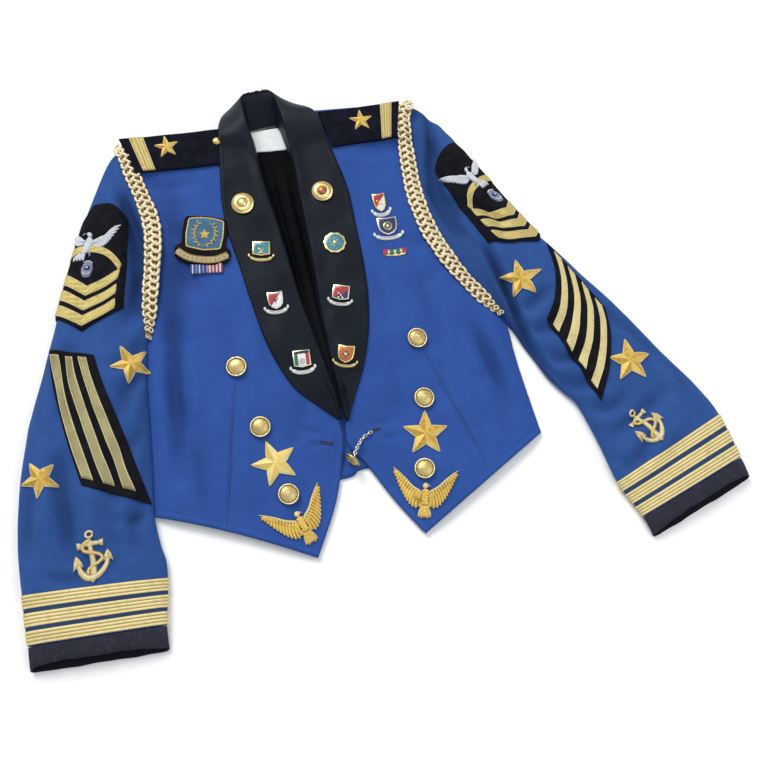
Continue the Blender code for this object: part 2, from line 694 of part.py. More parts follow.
def front_grid(table, hem_rise):
    rows = smooth_rows(table, FRONT_ROWS)
    grid = np.zeros((FRONT_ROWS, len(ACROSS_FRONT), 3))
    for i, (side_x, side_y, side_z, edge_x, edge_y, edge_z, swell) in enumerate(rows):
        for j, (across, rise) in enumerate(zip(ACROSS_FRONT, SWELL_ACROSS)):
            side = np.array([side_x, side_y, side_z])
            edge = np.array([edge_x, edge_y, edge_z])
            grid[i, j] = side + (edge - side) * across
            grid[i, j, 2] += swell * rise
    lifted = np.linspace(0, 1, FRONT_ROWS)[:, None] ** 6 * np.sin(np.pi * np.array(ACROSS_FRONT))
    grid[..., 1] += hem_rise * lifted
    grid[..., 2] -= pressed(grid, FRONT_TROUGHS)
    grid[..., 2] = np.maximum(grid[..., 2], CLOTH * 2 + GAP)
    return grid


def armhole_line(table, across):
    """The front's armhole edge, read off at the given fractions of its length."""
    rows = smooth_rows(table, FRONT_ROWS)
    underarm = armhole_rows(rows)
    line = rows[: underarm + 1, :3]
    lengths = np.concatenate([[0.0], np.cumsum(np.linalg.norm(np.diff(line[:, :2], axis=0), axis=1))])
    places = np.asarray(across) * lengths[-1]
    return np.array([np.interp(places, lengths, line[:, axis]) for axis in range(3)]).T


def armhole_rows(rows):
    """The row of the underarm, the first whose side lies down on the back."""
    return int(np.argmax(rows[:, 2] < 4.6))


def sleeve_grid(table, front_table, outward_x):
    """The sleeve as rings, each an upper half and a floor half, from the armhole to the wrist."""
    rows = smooth_rows(table, SLEEVE_RINGS)
    across = np.array([place for place, _ in RING_TOP + RING_FLOOR])
    crown = np.array([rise for _, rise in RING_TOP + RING_FLOOR])
    upper = np.arange(len(across)) < len(RING_TOP)
    armhole = armhole_line(front_table, across)
    outer, inner = rows[0, 0:2], rows[0, 2:4]
    bow = armhole[:, :2] - (outer + (inner - outer) * across[:, None])
    bow[:, 0] += outward_x * SEAM
    grid = np.zeros((SLEEVE_RINGS, len(across), 3))
    for i, (outer_x, outer_y, inner_x, inner_y, follow, height, floor) in enumerate(rows):
        start = np.array([outer_x, outer_y])
        end = np.array([inner_x, inner_y])
        follow = min(max(follow, 0.0), 1.0)
        grid[i, :, :2] = start + (end - start) * across[:, None] + bow * follow
        floor = min(max(floor, 0.0), BRAID_BAND_THICK + 0.5)
        rounded = floor + (height - floor) * crown
        seamed = np.where(upper, armhole[:, 2] - 0.2, floor + (height - floor) * crown)
        grid[i, :, 2] = rounded * (1 - follow) + seamed * follow
    flat = grid[..., 2] < 2.0
    grid[..., 2] -= np.where(flat, 0.0, pressed(grid, SLEEVE_TROUGHS) * np.minimum(1, grid[..., 2] / 16))
    return grid


def build_back():
    """The back panel with its flat field cut to the fronts' sides, and shoulders that turn up."""
    sides = 13
    right_rows = smooth_rows(FRONT_RIGHT, FRONT_ROWS)
    left_rows = smooth_rows(FRONT_LEFT, FRONT_ROWS)
    right_side = edge_line(right_rows[:, :2], sides) + (BACK_INSET, 0)
    left_side = edge_line(left_rows[:, :2], sides) - (BACK_INSET, 0)
    across = np.linspace(0, 1, 13)
    hem = smooth_rows(BACK_HEM, len(across))
    neck = neck_line(right_rows, left_rows, across)
    grid = np.zeros((sides, len(across), 3))
    for i in range(sides):
        part = i / (sides - 1)
        straight = right_side[i] + (left_side[i] - right_side[i]) * across[:, None]
        top = neck - (neck[0] + (neck[-1] - neck[0]) * across[:, None])
        bottom = hem - (hem[0] + (hem[-1] - hem[0]) * across[:, None])
        grid[i, :, :2] = straight + top * (1 - part) ** 2 + bottom * part**2
    grid[..., 2] = CLOTH
    turn_up(grid, right_rows, left_rows, across)
    return Sheet("Back", grid, CLOTH, "wool_blue")


def edge_line(line, count):
    """A polyline read off at even lengths."""
    lengths = np.concatenate([[0.0], np.cumsum(np.linalg.norm(np.diff(line, axis=0), axis=1))])
    places = np.linspace(0, lengths[-1], count)
    return np.array([np.interp(places, lengths, line[:, axis]) for axis in range(line.shape[1])]).T


def neck_line(right_rows, left_rows, across):
    line = np.vstack([right_rows[0, :2], smooth_rows(BACK_NECK, 5), left_rows[0, :2]])
    lengths = np.concatenate([[0.0], np.cumsum(np.linalg.norm(np.diff(line, axis=0), axis=1))])
    return np.array([np.interp(across * lengths[-1], lengths, line[:, axis]) for axis in range(2)]).T


def turn_up(grid, right_rows, left_rows, across):
    """Lifts the top row at the shoulders, leaving the neck flat."""
    for j, place in enumerate(across):
        side = right_rows if place < 0.5 else left_rows
        inwards = (grid[0, j, :2] - side[0, :2]) @ (side[0, 3:5] - side[0, :2])
        inwards /= ((side[0, 3:5] - side[0, :2]) ** 2).sum()
        if 0 <= inwards <= 1.0:
            seam = side[0, 2] + (side[0, 5] - side[0, 2]) * inwards
            grid[1, j, :2] = grid[0, j, :2] + (0, SHOULDER_TURN)
            grid[1, j, 2] = CLOTH + 2.0
            grid[0, j, 1] += 3.0
            grid[0, j, 2] = seam - 2.0


def build_collar(name, table, supports):
    rows = smooth_rows(table, COLLAR_ROWS)
    grid = np.zeros((COLLAR_ROWS, len(ACROSS_COLLAR) + 4, 3))
    for i, row in enumerate(rows):
        outer, fold, seam = row[0:3], row[3:6], row[6:9]
        line = [outer + (fold - outer) * across for across in ACROSS_COLLAR]
        for j, (point, loft) in enumerate(zip(line, COLLAR_LOFT)):
            under = height_under(point[0], point[1], supports)
            least = under + GAP + STIFF_GAP + SATIN + loft if under > 0 else 0.0
            point[2] = max(point[2] if under == 0 or outer[2] > 0 else 0.0, least)
            grid[i, j] = point
        crest = max(grid[i, len(ACROSS_COLLAR) - 1, 2], fold[2] - 1.0)
        last = len(ACROSS_COLLAR)
        grid[i, last - 1, 2] = crest - 0.3
        grid[i, last] = (fold[0], fold[1], crest - 0.4)
        down = seam - fold
        grid[i, last + 1] = (fold[0] + down[0] * 0.25, fold[1] + down[1] * 0.25, crest - 2.6)
        grid[i, last + 2] = (fold[0] + down[0] * 0.6, fold[1] + down[1] * 0.6, crest * 0.45 + seam[2] * 0.55)
        grid[i, last + 3] = seam
    return Sheet(name, grid, SATIN, "satin_black")


def build_lining():
    rows = smooth_rows(LINING_ROWS, 13)
    across = np.linspace(0, 1, 12)
    folds = np.array([sum(rise * math.exp(-(((place - at) / 0.07) ** 2)) for at, rise in LINING_FOLDS)
                      for place in across])
    grid = np.zeros((len(rows), len(across), 3))
    for i, (right_x, right_y, left_x, left_y, rise) in enumerate(rows):
        width = math.hypot(left_x - right_x, left_y - right_y)
        grid[i, :, 0] = right_x + (left_x - right_x) * across
        grid[i, :, 1] = right_y + (left_y - right_y) * across
        deep = min(1.0, width / 60) * min(1.0, max(0.0, (i - 1.5) / 3))
        grid[i, :, 2] = rise + folds * deep
    grid[..., 2] = np.maximum(grid[..., 2], CLOTH + GAP + LINING)
    return Sheet("Lining", grid, LINING, "lining_black")


def corner_grid(corners, rows, columns):
    """Places over a four-cornered patch, from its first corner to its third."""
    a, b, c, d = (np.array(corner, float) for corner in corners)
    rows = np.asarray(rows, float)
    columns = np.asarray(columns, float)
    return np.array([[(a + (b - a) * r) * (1 - k) + (d + (c - d) * r) * k for r in columns] for k in rows])


def build_label(lining):
    grid = corner_grid(LABEL, np.linspace(0, 1, 5), np.linspace(0, 1, 5))
    places = grid.reshape(-1, 2)
    lower = laid(places, [lining], GAP, LABEL[3]).reshape(5, 5, 3)
    upper = lower + (0, 0, LABEL_THICK)
    return between("Label", lower, upper, "label_white")


def build_board(name, corners, supports):
    """A board with its gold stripe raised across it near the sleeve."""
    columns = np.linspace(0, 1, 5)
    grid = corner_grid(corners, BOARD_ALONG, columns)
    centre = np.mean(corners, axis=0)
    lower = laid(grid.reshape(-1, 2), supports, GAP + STIFF_GAP, centre).reshape(*grid.shape[:2], 3)
    upper = lower + (0, 0, BOARD_THICK)
    upper[:, BOARD_STRIPE, 2] += STRIPE_RISE
    between(name, lower, upper, "felt_black")
    return Ground(upper)


def build_armhole_braid(name, table, supports):
    """A flat dome of braid whose links rise and fall along it."""
    rows = smooth_rows(table, BRAID_STEPS)
    along = np.gradient(rows[:, :2], axis=0)
    along /= np.linalg.norm(along, axis=1)[:, None]
    side = np.column_stack([-along[:, 1], along[:, 0]])
    lower = np.zeros((BRAID_STEPS, 4, 3))
    upper = np.zeros((BRAID_STEPS, 4, 3))
    for i, (x, y, wide) in enumerate(rows):
        swing, swell = (1.0, 1.0) if i % 2 else (0.9, BETWEEN_LINKS)
        for j, across in enumerate((-0.5 * swing, -0.2, 0.2, 0.5 * swing)):
            place = np.array([x, y]) + side[i] * across * wide
            under = crest_under(place[0], place[1], supports, (x, y), 3.0)
            lower[i, j] = (*place, under + BRAID_GAP)
            upper[i, j] = lower[i, j]
            upper[i, j, 2] += (BRAID_CREST if j in (1, 2) else BRAID_EDGE) * swell
    lower[..., 2] = np.maximum(lower[..., 2], smooth_max(lower[..., 2]))
    upper[..., 2] = np.maximum(upper[..., 2], lower[..., 2] + 1.2)
    return between(name, lower, upper, "braid_silver_gold")


def smooth_max(heights):
    """Each height raised to the mean of its neighbours along and across."""
    padded = np.pad(heights, 1, mode="edge")
    return (padded[:-2, 1:-1] + padded[2:, 1:-1] + padded[1:-1, :-2] + padded[1:-1, 2:]) / 4


def step_from_end(grid, distance):
    """How many rings along the sleeve lies the place at this distance from its end."""
    middles = grid.mean(axis=1)[:, :2]
    lengths = np.concatenate([[0.0], np.cumsum(np.linalg.norm(np.diff(middles, axis=0), axis=1))])
    return float(np.interp(lengths[-1] - distance, lengths, np.arange(len(lengths))))


def ring_at(grid, step, lift):
    """A ring of the sleeve at a place along it, moved out from its wall."""
    first = int(np.clip(math.floor(step), 0, len(grid) - 2))
    ring = grid[first] * (first + 1 - step) + grid[first + 1] * (step - first)
    along = grid[first + 1].mean(axis=0) - grid[first].mean(axis=0)
    along /= np.linalg.norm(along)
    edges = np.roll(ring, -1, axis=0) - np.roll(ring, 1, axis=0)
    out = np.cross(edges, along)
    out /= np.linalg.norm(out, axis=1)[:, None]
    middle = ring.mean(axis=0)
    if (out * (ring - middle)).sum() < 0:
        out = -out
    return ring + out * lift


def build_band(name, grid, from_end):
    """A flat braid that goes right round the wrist."""
    lift = GAP + 0.2 + BRAID_BAND_THICK
    places = (from_end + BRAID_BAND / 2, from_end, from_end - BRAID_BAND / 2)
    rings = [ring_at(grid, step_from_end(grid, place), lift) for place in places]
    rings = np.array(rings)
    rings[..., 2] = np.maximum(rings[..., 2], 0.0)
    return Sheet(name, rings, BRAID_BAND_THICK, "braid_gold", ring=True)


def build_cuff(name, grid):
    """The ribbed binding past the sleeve's end, its under layer reaching further out."""
    last = grid[-1]
    along = grid[-1].mean(axis=0) - grid[-2].mean(axis=0)
    along[2] = 0.0
    along /= np.linalg.norm(along)
    lean = np.clip((last[:, 2].max() - last[:, 2]) / last[:, 2].max(), 0, 1)
    middle = last.mean(axis=0)
    rings = []
    for reach in CUFF_REACHES:
        ring = last + along * reach
        ring += along * (lean * reach * CUFF_LEAN)[:, None]
        closing = 1 - 0.012 * reach
        ring[:, 2] = np.maximum(last[:, 2] * closing, 0.0)
        rings.append(ring)
    return Sheet(name, np.array(rings), BINDING, "grosgrain_black", ring=True)


def turned(name, profile, across, centre, tilt, look, steps=16):
    """A turned piece on its own axis, from radii and heights as fractions of its width."""
    mesh = bpy.data.meshes.new(name)
    points = [(radius * across * MM, 0.0, height * across * MM) for radius, height in profile]
    mesh.from_pydata(points, [(i, i + 1) for i in range(len(points) - 1)], [])
    mesh.materials.append(look_named(look))
    obj = bpy.data.objects.new(name, mesh)
    bpy.data.collections[GARMENT].objects.link(obj)
    screw = obj.modifiers.new("Turn", "SCREW")
    screw.steps = steps
    screw.render_steps = steps
    screw.use_merge_vertices = True
    screw.merge_threshold = 0.00005
    screw.use_smooth_shade = True
    obj.matrix_world = Matrix.Translation(Vector(centre) * MM) @ tilt.to_matrix().to_4x4()
    return obj


def seat(place, supports, radius):
    """Where a stiff round piece sits: its centre on the support and the way it faces."""
    x, y = place
    height = height_under(x, y, supports)
    east = height_under(x + radius, y, supports, place) - height_under(x - radius, y, supports, place)
    north = height_under(x, y + radius, supports, place) - height_under(x, y - radius, supports, place)
    up = Vector((-east / (2 * radius), -north / (2 * radius), 1.0)).normalized()
    rim = [height_under(x + radius * math.cos(a), y + radius * math.sin(a), supports, place)
           - (-(up.x * radius * math.cos(a) + up.y * radius * math.sin(a)) / up.z) - height
           for a in np.linspace(0, 2 * math.pi, 16, endpoint=False)]
    lift = max(0.0, max(rim))
    return Vector((x, y, height + lift + GAP)), Vector((0, 0, 1)).rotation_difference(up)


def build_button(name, place, supports, across=BUTTON_ACROSS):
    centre, tilt = seat(place, supports, across / 2)
    return turned(name, BUTTON_PROFILE, across, centre, tilt, "brass")


def star_outline(radius):
    """Ten points round a five-pointed star, the first at the top."""
    return [(math.sin(k * math.pi / 5) * radius * (1.0 if k % 2 == 0 else 0.40),
             math.cos(k * math.pi / 5) * radius * (1.0 if k % 2 == 0 else 0.40)) for k in range(10)]


def star_rings(radius):
    """A star's outline, a ring half way in and its middle."""
    outline = np.array(star_outline(radius))
    return np.vstack([outline, outline * 0.5, [(0.0, 0.0)]])


def star_solid(name, lower, upper):
    """A star closed between its lower points and its ridged upper ones."""
    faces = []
    for k in range(10):
        following = (k + 1) % 10
        faces.append((k, following, following + 10, k + 10))
        faces.append((k + 10, following + 10, 20))
    points = np.vstack([lower, upper])
    top = []
    for face in faces:
        a, b, c = (points[index] for index in face[:3])
        top.append(face if np.cross(b - a, c - a)[2] > 0 else face[::-1])
    solid = [face[::-1] for face in top] + [tuple(index + 21 for index in face) for face in top]
    solid += rim_walls(points, list(range(10)), 21)
    return link(name, mesh_of(name, points, solid), "bullion_gold")


def build_front_star(name, placing, radius, rise, supports):
    x, y, degrees = placing
    places = turned_about((x, y), degrees, star_rings(radius))
    lower = laid(places, supports, GAP + STIFF_GAP)
    upper = lower.copy()
    upper[:, 2] += STAR_RIDGE * rise
    return star_solid(name, lower, upper)


def build_sleeve_star(name, placing, skins):
    side, x, y, degrees, lift = placing
    places = turned_about((x, y), degrees, star_rings(SLEEVE_STAR_RADIUS))
    lower = skins[side].wrap((x, y), places, lift)
    upper = skins[side].wrap((x, y), places, lift + STAR_RIDGE * STAR_RISE)
    return star_solid(name, lower, upper)


def mirrored(half):
    """A closed outline from half of one, whose first and last points lie on the mirror line."""
    return [*half, *[(-x, y) for x, y in half[-2:0:-1]]]


def build_eagle(name, placing, supports):
    x, y, degrees = placing
    outline = np.array(mirrored(EAGLE_HALF)) * EAGLE_SPAN / 2
    places = turned_about((x, y), degrees, outline)
    lower = laid(places, supports, GAP + STIFF_GAP + 0.2, (x, y))
    return plate(name, lower, lower + (0, 0, BULLION), "bullion_gold")


def build_anchor(name, placing, skins):
    side, x, y, degrees = placing
    outline = np.array(mirrored(ANCHOR_HALF)) * ANCHOR_HEIGHT / 2
    places = turned_about((x, y), degrees, outline)
    lower = skins[side].wrap((x, y), places, GAP + 2 * STIFF_GAP)
    upper = skins[side].wrap((x, y), places, GAP + 2 * STIFF_GAP + TRIM)
    return plate(name, lower, upper, "bullion_gold")


def build_flat_badge(name, placing, supports, thick=PIN_THICK):
    """A stiff pin or patch with a bevelled top, laid on the cloth under it."""
    _, x, y, degrees, shape, wide, high, look = placing
    if shape == "round":
        centre, tilt = seat((x, y), supports, wide / 2)
        return turned(name, ROUND_PIN_PROFILE, wide, centre, tilt, look, steps=18)
    outline = np.array(OUTLINES[shape]) * (wide / 2, high / 2)
    edge = turned_about((x, y), degrees, outline)
    bevelled = turned_about((x, y), degrees, outline * 0.86)
    centre, tilt = seat((x, y), supports, math.hypot(wide, high) / 2.6)
    up = tilt @ Vector((0, 0, 1))

    def on_plane(places, lift):
        heights = [centre.z - (up.x * (px - x) + up.y * (py - y)) / up.z + lift for px, py in places]
        return np.column_stack([places, heights])

    lower = on_plane(edge, 0.0)
    middle = on_plane(edge, thick * 0.7)
    top = on_plane(bevelled, thick)
    count = len(outline)
    points = np.vstack([lower, middle, top, on_plane([(x, y)], 0.0), on_plane([(x, y)], thick * 1.15)])
    order = list(range(count))
    flat = points[order][:, :2]
    following = np.roll(flat, -1, axis=0)
    if (flat[:, 0] * following[:, 1] - following[:, 0] * flat[:, 1]).sum() < 0:
        order = order[::-1]
    faces = []
    for a, b in zip(order, order[1:] + order[:1]):
        faces.append((a, b, b + count, a + count))
        faces.append((a + count, b + count, b + 2 * count, a + 2 * count))
        faces.append((a + 2 * count, b + 2 * count, 3 * count + 1))
        faces.append((b, a, 3 * count))
    return link(name, mesh_of(name, points, faces), look)


def build_rating_badge(name, placing, skins):
    """A pointed wool badge whose rows follow its arc and chevrons, which stand up from it."""
    side, x, y, degrees, wide, high, lift = placing
    places = []
    raised = []
    outer_first = 1 if side == "right" else -1
    for end, middle, half, up in BADGE_LINES:
        for across in outer_first * np.array(BADGE_ACROSS):
            places.append((across * half * wide / 2, (end + (middle - end) * (1 - abs(across))) * high / 2))
            raised.append(up)
    shape = (len(BADGE_LINES), len(BADGE_ACROSS), 3)
    places = turned_about((x, y), degrees, places)
    lower = skins[side].wrap((x, y), places, lift)
    upper = skins[side].wrap((x, y), places, lift + TRIM + np.array(raised) * STRIPE_RISE)
    for surface in (lower, upper):
        surface[:, 2] = np.maximum(surface[:, 2], CLEAR_OF_FLOOR)
    return between(name, lower.reshape(shape), upper.reshape(shape), "felt_black")


def build_service_patch(name, placing, sleeves):
    """A slanted wool patch with its gold stripes raised along it."""
    side, stripes = placing
    columns = [(0.0, 0)]
    pitch = 0.92 / stripes
    for stripe in range(stripes):
        near = 0.04 + (stripe + 0.18) * pitch
        far = near + 0.64 * pitch
        columns += [(near - 0.015, 0), (near, 1), (far, 1), (far + 0.015, 0)]
    columns.append((1.0, 0))
    rows = smooth_rows(SERVICE_EDGES[side], 9)
    places = [row[:2] + (row[2:] - row[:2]) * across for row in rows for across, _ in columns]
    raised = np.array([up for _ in rows for _, up in columns])
    shape = (len(rows), len(columns), 3)
    lower = laid(places, [sleeves[side]], GAP + STIFF_GAP, reach=5.0)
    upper = lower + np.outer(TRIM + raised * STRIPE_RISE, (0, 0, 1))
    return between(name, lower.reshape(shape), upper.reshape(shape), "felt_black")


def build_chain(supports):
    """Four links run together, turned flat and upright by turns."""
    rows = smooth_rows(CLOSURE_CHAIN, 10)
    along = np.gradient(rows[:, :2], axis=0)
    along /= np.linalg.norm(along, axis=1)[:, None]
    side = np.column_stack([-along[:, 1], along[:, 0]])
    rings = []
    for i, (x, y, z) in enumerate(rows):
        flat = i % 2 == 0
        wide, high = (CHAIN_THICK / 2, CHAIN_THICK / 3) if flat else (CHAIN_THICK / 3, CHAIN_THICK / 2)
        height = max(z, height_under(x, y, supports) + GAP + STIFF_GAP + CHAIN_THICK / 2)
        angles = np.linspace(0, 2 * math.pi, 8, endpoint=False)
        sideways = np.outer(np.cos(angles) * wide, side[i])
        rings.append(np.column_stack([sideways + (x, y), height + high * np.sin(angles)]))
    rings = np.array(rings)
    count = rings.shape[1]
    points = rings.reshape(-1, 3)
    faces = outward(points, grid_faces(len(rings), count, ring=True), rings)
    last = (len(rings) - 1) * count
    caps = [list(range(count)), [last + index for index in range(count)]]
    for cap, away in zip(caps, (rings[0].mean(axis=0) - rings[1].mean(axis=0),
                                rings[-1].mean(axis=0) - rings[-2].mean(axis=0))):
        a, b, c = points[cap[0]], points[cap[1]], points[cap[3]]
        faces.append(tuple(cap) if np.cross(b - a, c - a) @ away > 0 else tuple(cap[::-1]))
    return link("Closure_chain", mesh_of("Closure_chain", points, faces), "steel_link")


def build_closure_button():
    """The loose button of the closure, standing on its rim between the fronts."""
    tilt = Vector((0, 0, 1)).rotation_difference(Vector(CLOSURE_BUTTON_FACES).normalized())
    return turned("Closure_button", BUTTON_PROFILE, CLOSURE_BUTTON_ACROSS, CLOSURE_BUTTON, tilt, "brass")


def build_jacket():
    back = build_back()
    front_right = Sheet("Front_right", front_grid(FRONT_RIGHT, HEM_RISE_RIGHT), CLOTH, "wool_blue")
    front_left = Sheet("Front_left", front_grid(FRONT_LEFT, 0.0), CLOTH, "wool_blue")
    right_rings = sleeve_grid(SLEEVE_RIGHT, FRONT_RIGHT, -1)
    left_rings = sleeve_grid(SLEEVE_LEFT, FRONT_LEFT, 1)
    sleeve_right = Sheet("Sleeve_right", right_rings, CLOTH, "wool_blue", ring=True)
    sleeve_left = Sheet("Sleeve_left", left_rings, CLOTH, "wool_blue", ring=True)
    build_cuff("Cuff_right", right_rings)
    build_cuff("Cuff_left", left_rings)
    for number, place in enumerate(BAND_MIDDLES, start=1):
        build_band(f"Sleeve_band_right_{number}", right_rings, place)
        build_band(f"Sleeve_band_left_{number}", left_rings, place)
    lining = build_lining()
    build_label(lining)
    collar_right = build_collar("Collar_right", COLLAR_RIGHT, [front_right])
    collar_left = build_collar("Collar_left", COLLAR_LEFT, [front_left])
    right_side = [front_right, sleeve_right]
    left_side = [front_left, sleeve_left]
    boards = {
        "right": build_board("Shoulder_board_right", BOARD_RIGHT, right_side),
        "left": build_board("Shoulder_board_left", BOARD_LEFT, left_side),
    }
    for side, placing in BOARD_STARS.items():
        build_front_star(f"Star_board_{side}", placing, BOARD_STAR_RADIUS, BOARD_STAR_RISE, [boards[side]])
    build_armhole_braid("Armhole_braid_right", ARMHOLE_BRAID_RIGHT, right_side)
    build_armhole_braid("Armhole_braid_left", ARMHOLE_BRAID_LEFT, left_side)
    build_button("Shoulder_board_button", BOARD_BUTTON, [boards["right"]], BOARD_BUTTON_ACROSS)
    for number, place in enumerate(BUTTONS_RIGHT, start=1):
        build_button(f"Button_right_{number}", place, [front_right])
    for number, place in enumerate(BUTTONS_LEFT, start=1):
        build_button(f"Button_left_{number}", place, [front_left])
    build_front_star("Star_front_right", FRONT_STAR_RIGHT, STAR_RADIUS, STAR_RISE, [front_right])
    build_front_star("Star_front_left", FRONT_STAR_LEFT, STAR_RADIUS, STAR_RISE, [front_left])
    build_eagle("Eagle_front_right", EAGLE_RIGHT, [front_right])
    build_eagle("Eagle_front_left", EAGLE_LEFT, [front_left])
    skins = {"right": Skin(right_rings), "left": Skin(left_rings)}
    sleeves = {"right": sleeve_right, "left": sleeve_left}
    for name, placing in SLEEVE_STARS.items():
        build_sleeve_star(name, placing, skins)
    for name, placing in ANCHORS.items():
        build_anchor(name, placing, skins)
    for name, placing in RATING_BADGES.items():
        build_rating_badge(name, placing, skins)
    for name, placing in SERVICE_PATCHES.items():
        build_service_patch(name, placing, sleeves)
    lapels = {"right": [collar_right], "left": [collar_left]}
    chests = {"right": [front_right], "left": [front_left]}
    for name, placing in LAPEL_PINS.items():
        build_flat_badge(name, placing, lapels[placing[0]])
    for name, placing in CHEST_PINS.items():
        build_flat_badge(name, placing, chests[placing[0]])
    build_flat_badge("Chest_patch", CHEST_PATCH, chests["right"], PATCH_THICK)
    build_flat_badge("Ribbon_bar", RIBBON_BAR, chests["right"], RIBBON_THICK)
    build_chain([front_left, back])
    build_closure_button()


def centre_on_footprint():
    """Moves every piece so that the origin is the middle of the footprint, on the surface."""
    bpy.context.view_layer.update()
    graph = bpy.context.evaluated_depsgraph_get()
    points = []
    for obj in bpy.data.collections[GARMENT].objects:
        evaluated = obj.evaluated_get(graph)
        points += [evaluated.matrix_world @ vertex.co for vertex in evaluated.data.vertices]
    low = [min(point[axis] for point in points) for axis in range(3)]
    high = [max(point[axis] for point in points) for axis in range(3)]
    shift = Vector((-(low[0] + high[0]) / 2, -(low[1] + high[1]) / 2, -low[2]))
    for obj in bpy.data.collections[GARMENT].objects:
        obj.matrix_world = Matrix.Translation(shift) @ obj.matrix_world


def main():
    empty_scene()
    garment = bpy.data.collections.new(GARMENT)
    bpy.context.scene.collection.children.link(garment)
    build_jacket()
    centre_on_footprint()


if __name__ == "__main__":
    main()
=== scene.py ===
"""Dresses the cropped military jacket: its cloth, trim, looks, light and camera.

Tables are in millimetres in the plan of the laid garment: x to the right, y up the page and z up from
the surface. Right and left are the wearer's, so the right front is on the -x side.
"""

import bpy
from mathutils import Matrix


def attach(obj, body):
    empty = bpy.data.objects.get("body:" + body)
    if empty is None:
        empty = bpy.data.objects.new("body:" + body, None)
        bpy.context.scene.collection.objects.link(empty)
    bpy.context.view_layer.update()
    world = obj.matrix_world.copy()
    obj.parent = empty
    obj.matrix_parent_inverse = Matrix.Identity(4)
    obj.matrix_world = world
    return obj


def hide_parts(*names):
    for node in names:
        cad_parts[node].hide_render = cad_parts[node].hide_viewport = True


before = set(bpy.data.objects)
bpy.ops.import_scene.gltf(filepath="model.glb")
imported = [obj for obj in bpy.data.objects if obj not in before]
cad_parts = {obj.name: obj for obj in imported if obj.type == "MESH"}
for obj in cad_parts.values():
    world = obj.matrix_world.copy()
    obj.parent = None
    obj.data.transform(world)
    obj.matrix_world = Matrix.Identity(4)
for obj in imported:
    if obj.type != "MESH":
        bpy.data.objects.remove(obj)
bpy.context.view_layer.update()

import math
from functools import lru_cache

import bmesh
import bpy
import numpy as np
from mathutils import Matrix, Vector
from mathutils.bvhtree import BVHTree
from mathutils.geometry import tessellate_polygon

bl_info = {
    "name": "Cropped military jacket",
    "version": (1, 0, 0),
    "blender": (4, 5, 0),
    "location": "3D View > Sidebar > Jacket",
    "description": "Builds the cloth, braid, badges and hard trim of a cropped military jacket laid flat",
    "category": "Object",
}

MM = 0.001
SIDES = ("right", "left")
OUTWARD = {"right": -1, "left": 1}
# From the plan of the tables to the model's own origin
SHIFT = np.array([-15.2813, -29.4092, 0.0])

CLOTH = 1.6
SATIN = 1.8
LINING = 1.0
BINDING = 2.0
GAP = 0.4
STIFF_GAP = 0.3
SEAM = 0.9
TRIM = 1.4
LABEL_THICK = 0.6
ABOVE_ALL = 300.0
CLEAR_OF_FLOOR = 0.8
BUTTON_ACROSS = 23.0
STAR_RADIUS = 25.0
SLEEVE_STAR_RADIUS = 23.5
BOARD_STAR_RADIUS = 15.0
BRAID_BAND = 14.5
BRAID_BAND_THICK = 1.1
EAGLE_SPAN = 74.0
ANCHOR_HEIGHT = 52.0
PATCH_THICK = 2.6
RIBBON_THICK = 2.0


# The fronts, from the shoulder to the hem: the armhole and side edge, the roll line and front edge,
# and how far the cloth swells between them.
FRONTS = {
    "right": [
        # side_x, side_y, side_z, edge_x, edge_y, edge_z, swell
        (-310, 276, 28.0, -173, 315, 29, 0.5),
        (-295, 253, 27.0, -164, 295, 29, 1.0),
        (-283, 232, 24.5, -156, 270, 27, 2.0),
        (-272, 200, 21.0, -145, 232, 24, 3.0),
        (-266, 159, 17.5, -131, 188, 21, 3.5),
        (-265, 123, 14.0, -116, 141, 19, 4.5),
        (-266, 87, 9.5, -102, 94, 18, 6.5),
        (-266.5, 44, 3.9, -82, 42, 16, 8.5),
        (-263.5, 0, 3.9, -67, 3, 14, 8.5),
        (-259.5, -40, 3.9, -54, -39, 10, 8.0),
        (-255, -80, 3.9, -47, -70, 7, 7.5),
        (-251, -113, 3.9, -50, -109, 5, 6.5),
        (-248.5, -135, 3.9, -57, -146, 4.5, 6.2),
        (-246.5, -154, 3.9, -74, -198, 4.5, 5.2),
    ],
    "left": [
        # side_x, side_y, side_z, edge_x, edge_y, edge_z, swell
        (27, 352, 28.0, -115, 336, 29, 0.5),
        (29, 326, 27.0, -110, 310, 29, 1.0),
        (29, 296, 24.5, -102, 274, 27, 2.0),
        (33, 262, 21.5, -94.5, 233, 24, 3.0),
        (44, 225, 18.5, -85.5, 187, 21, 3.5),
        (59, 188, 15.5, -76.5, 142, 19, 4.5),
        (82, 149, 12.0, -69.5, 97, 18, 6.0),
        (113, 112, 8.0, -60.5, 52, 16, 8.0),
        (144, 79, 3.9, -52.5, 11, 13, 9.0),
        (153, 43, 3.9, -42.5, -32, 8, 9.0),
        (158, 21, 3.9, -45, -56, 4.5, 8.5),
        (164, -1, 3.9, -40, -76, 4.5, 8.0),
        (169.5, -21, 3.9, -20, -97, 4.5, 7.0),
        (174.5, -39, 3.9, 9, -134.5, 4.5, 6.6),
        (179.5, -57, 3.9, 43, -172, 4.5, 5.2),
    ],
}
HEM_RISE = {"right": 3.2, "left": 0.0}
ACROSS_FRONT = (0.0, 0.035, 0.09, 0.18, 0.30, 0.42, 0.54, 0.66, 0.77, 0.87, 0.95, 1.0)
SWELL_ACROSS = (0.0, 0.38, 0.72, 0.94, 1.0, 0.98, 0.92, 0.84, 0.70, 0.48, 0.22, 0.0)
FRONT_ROWS = 20

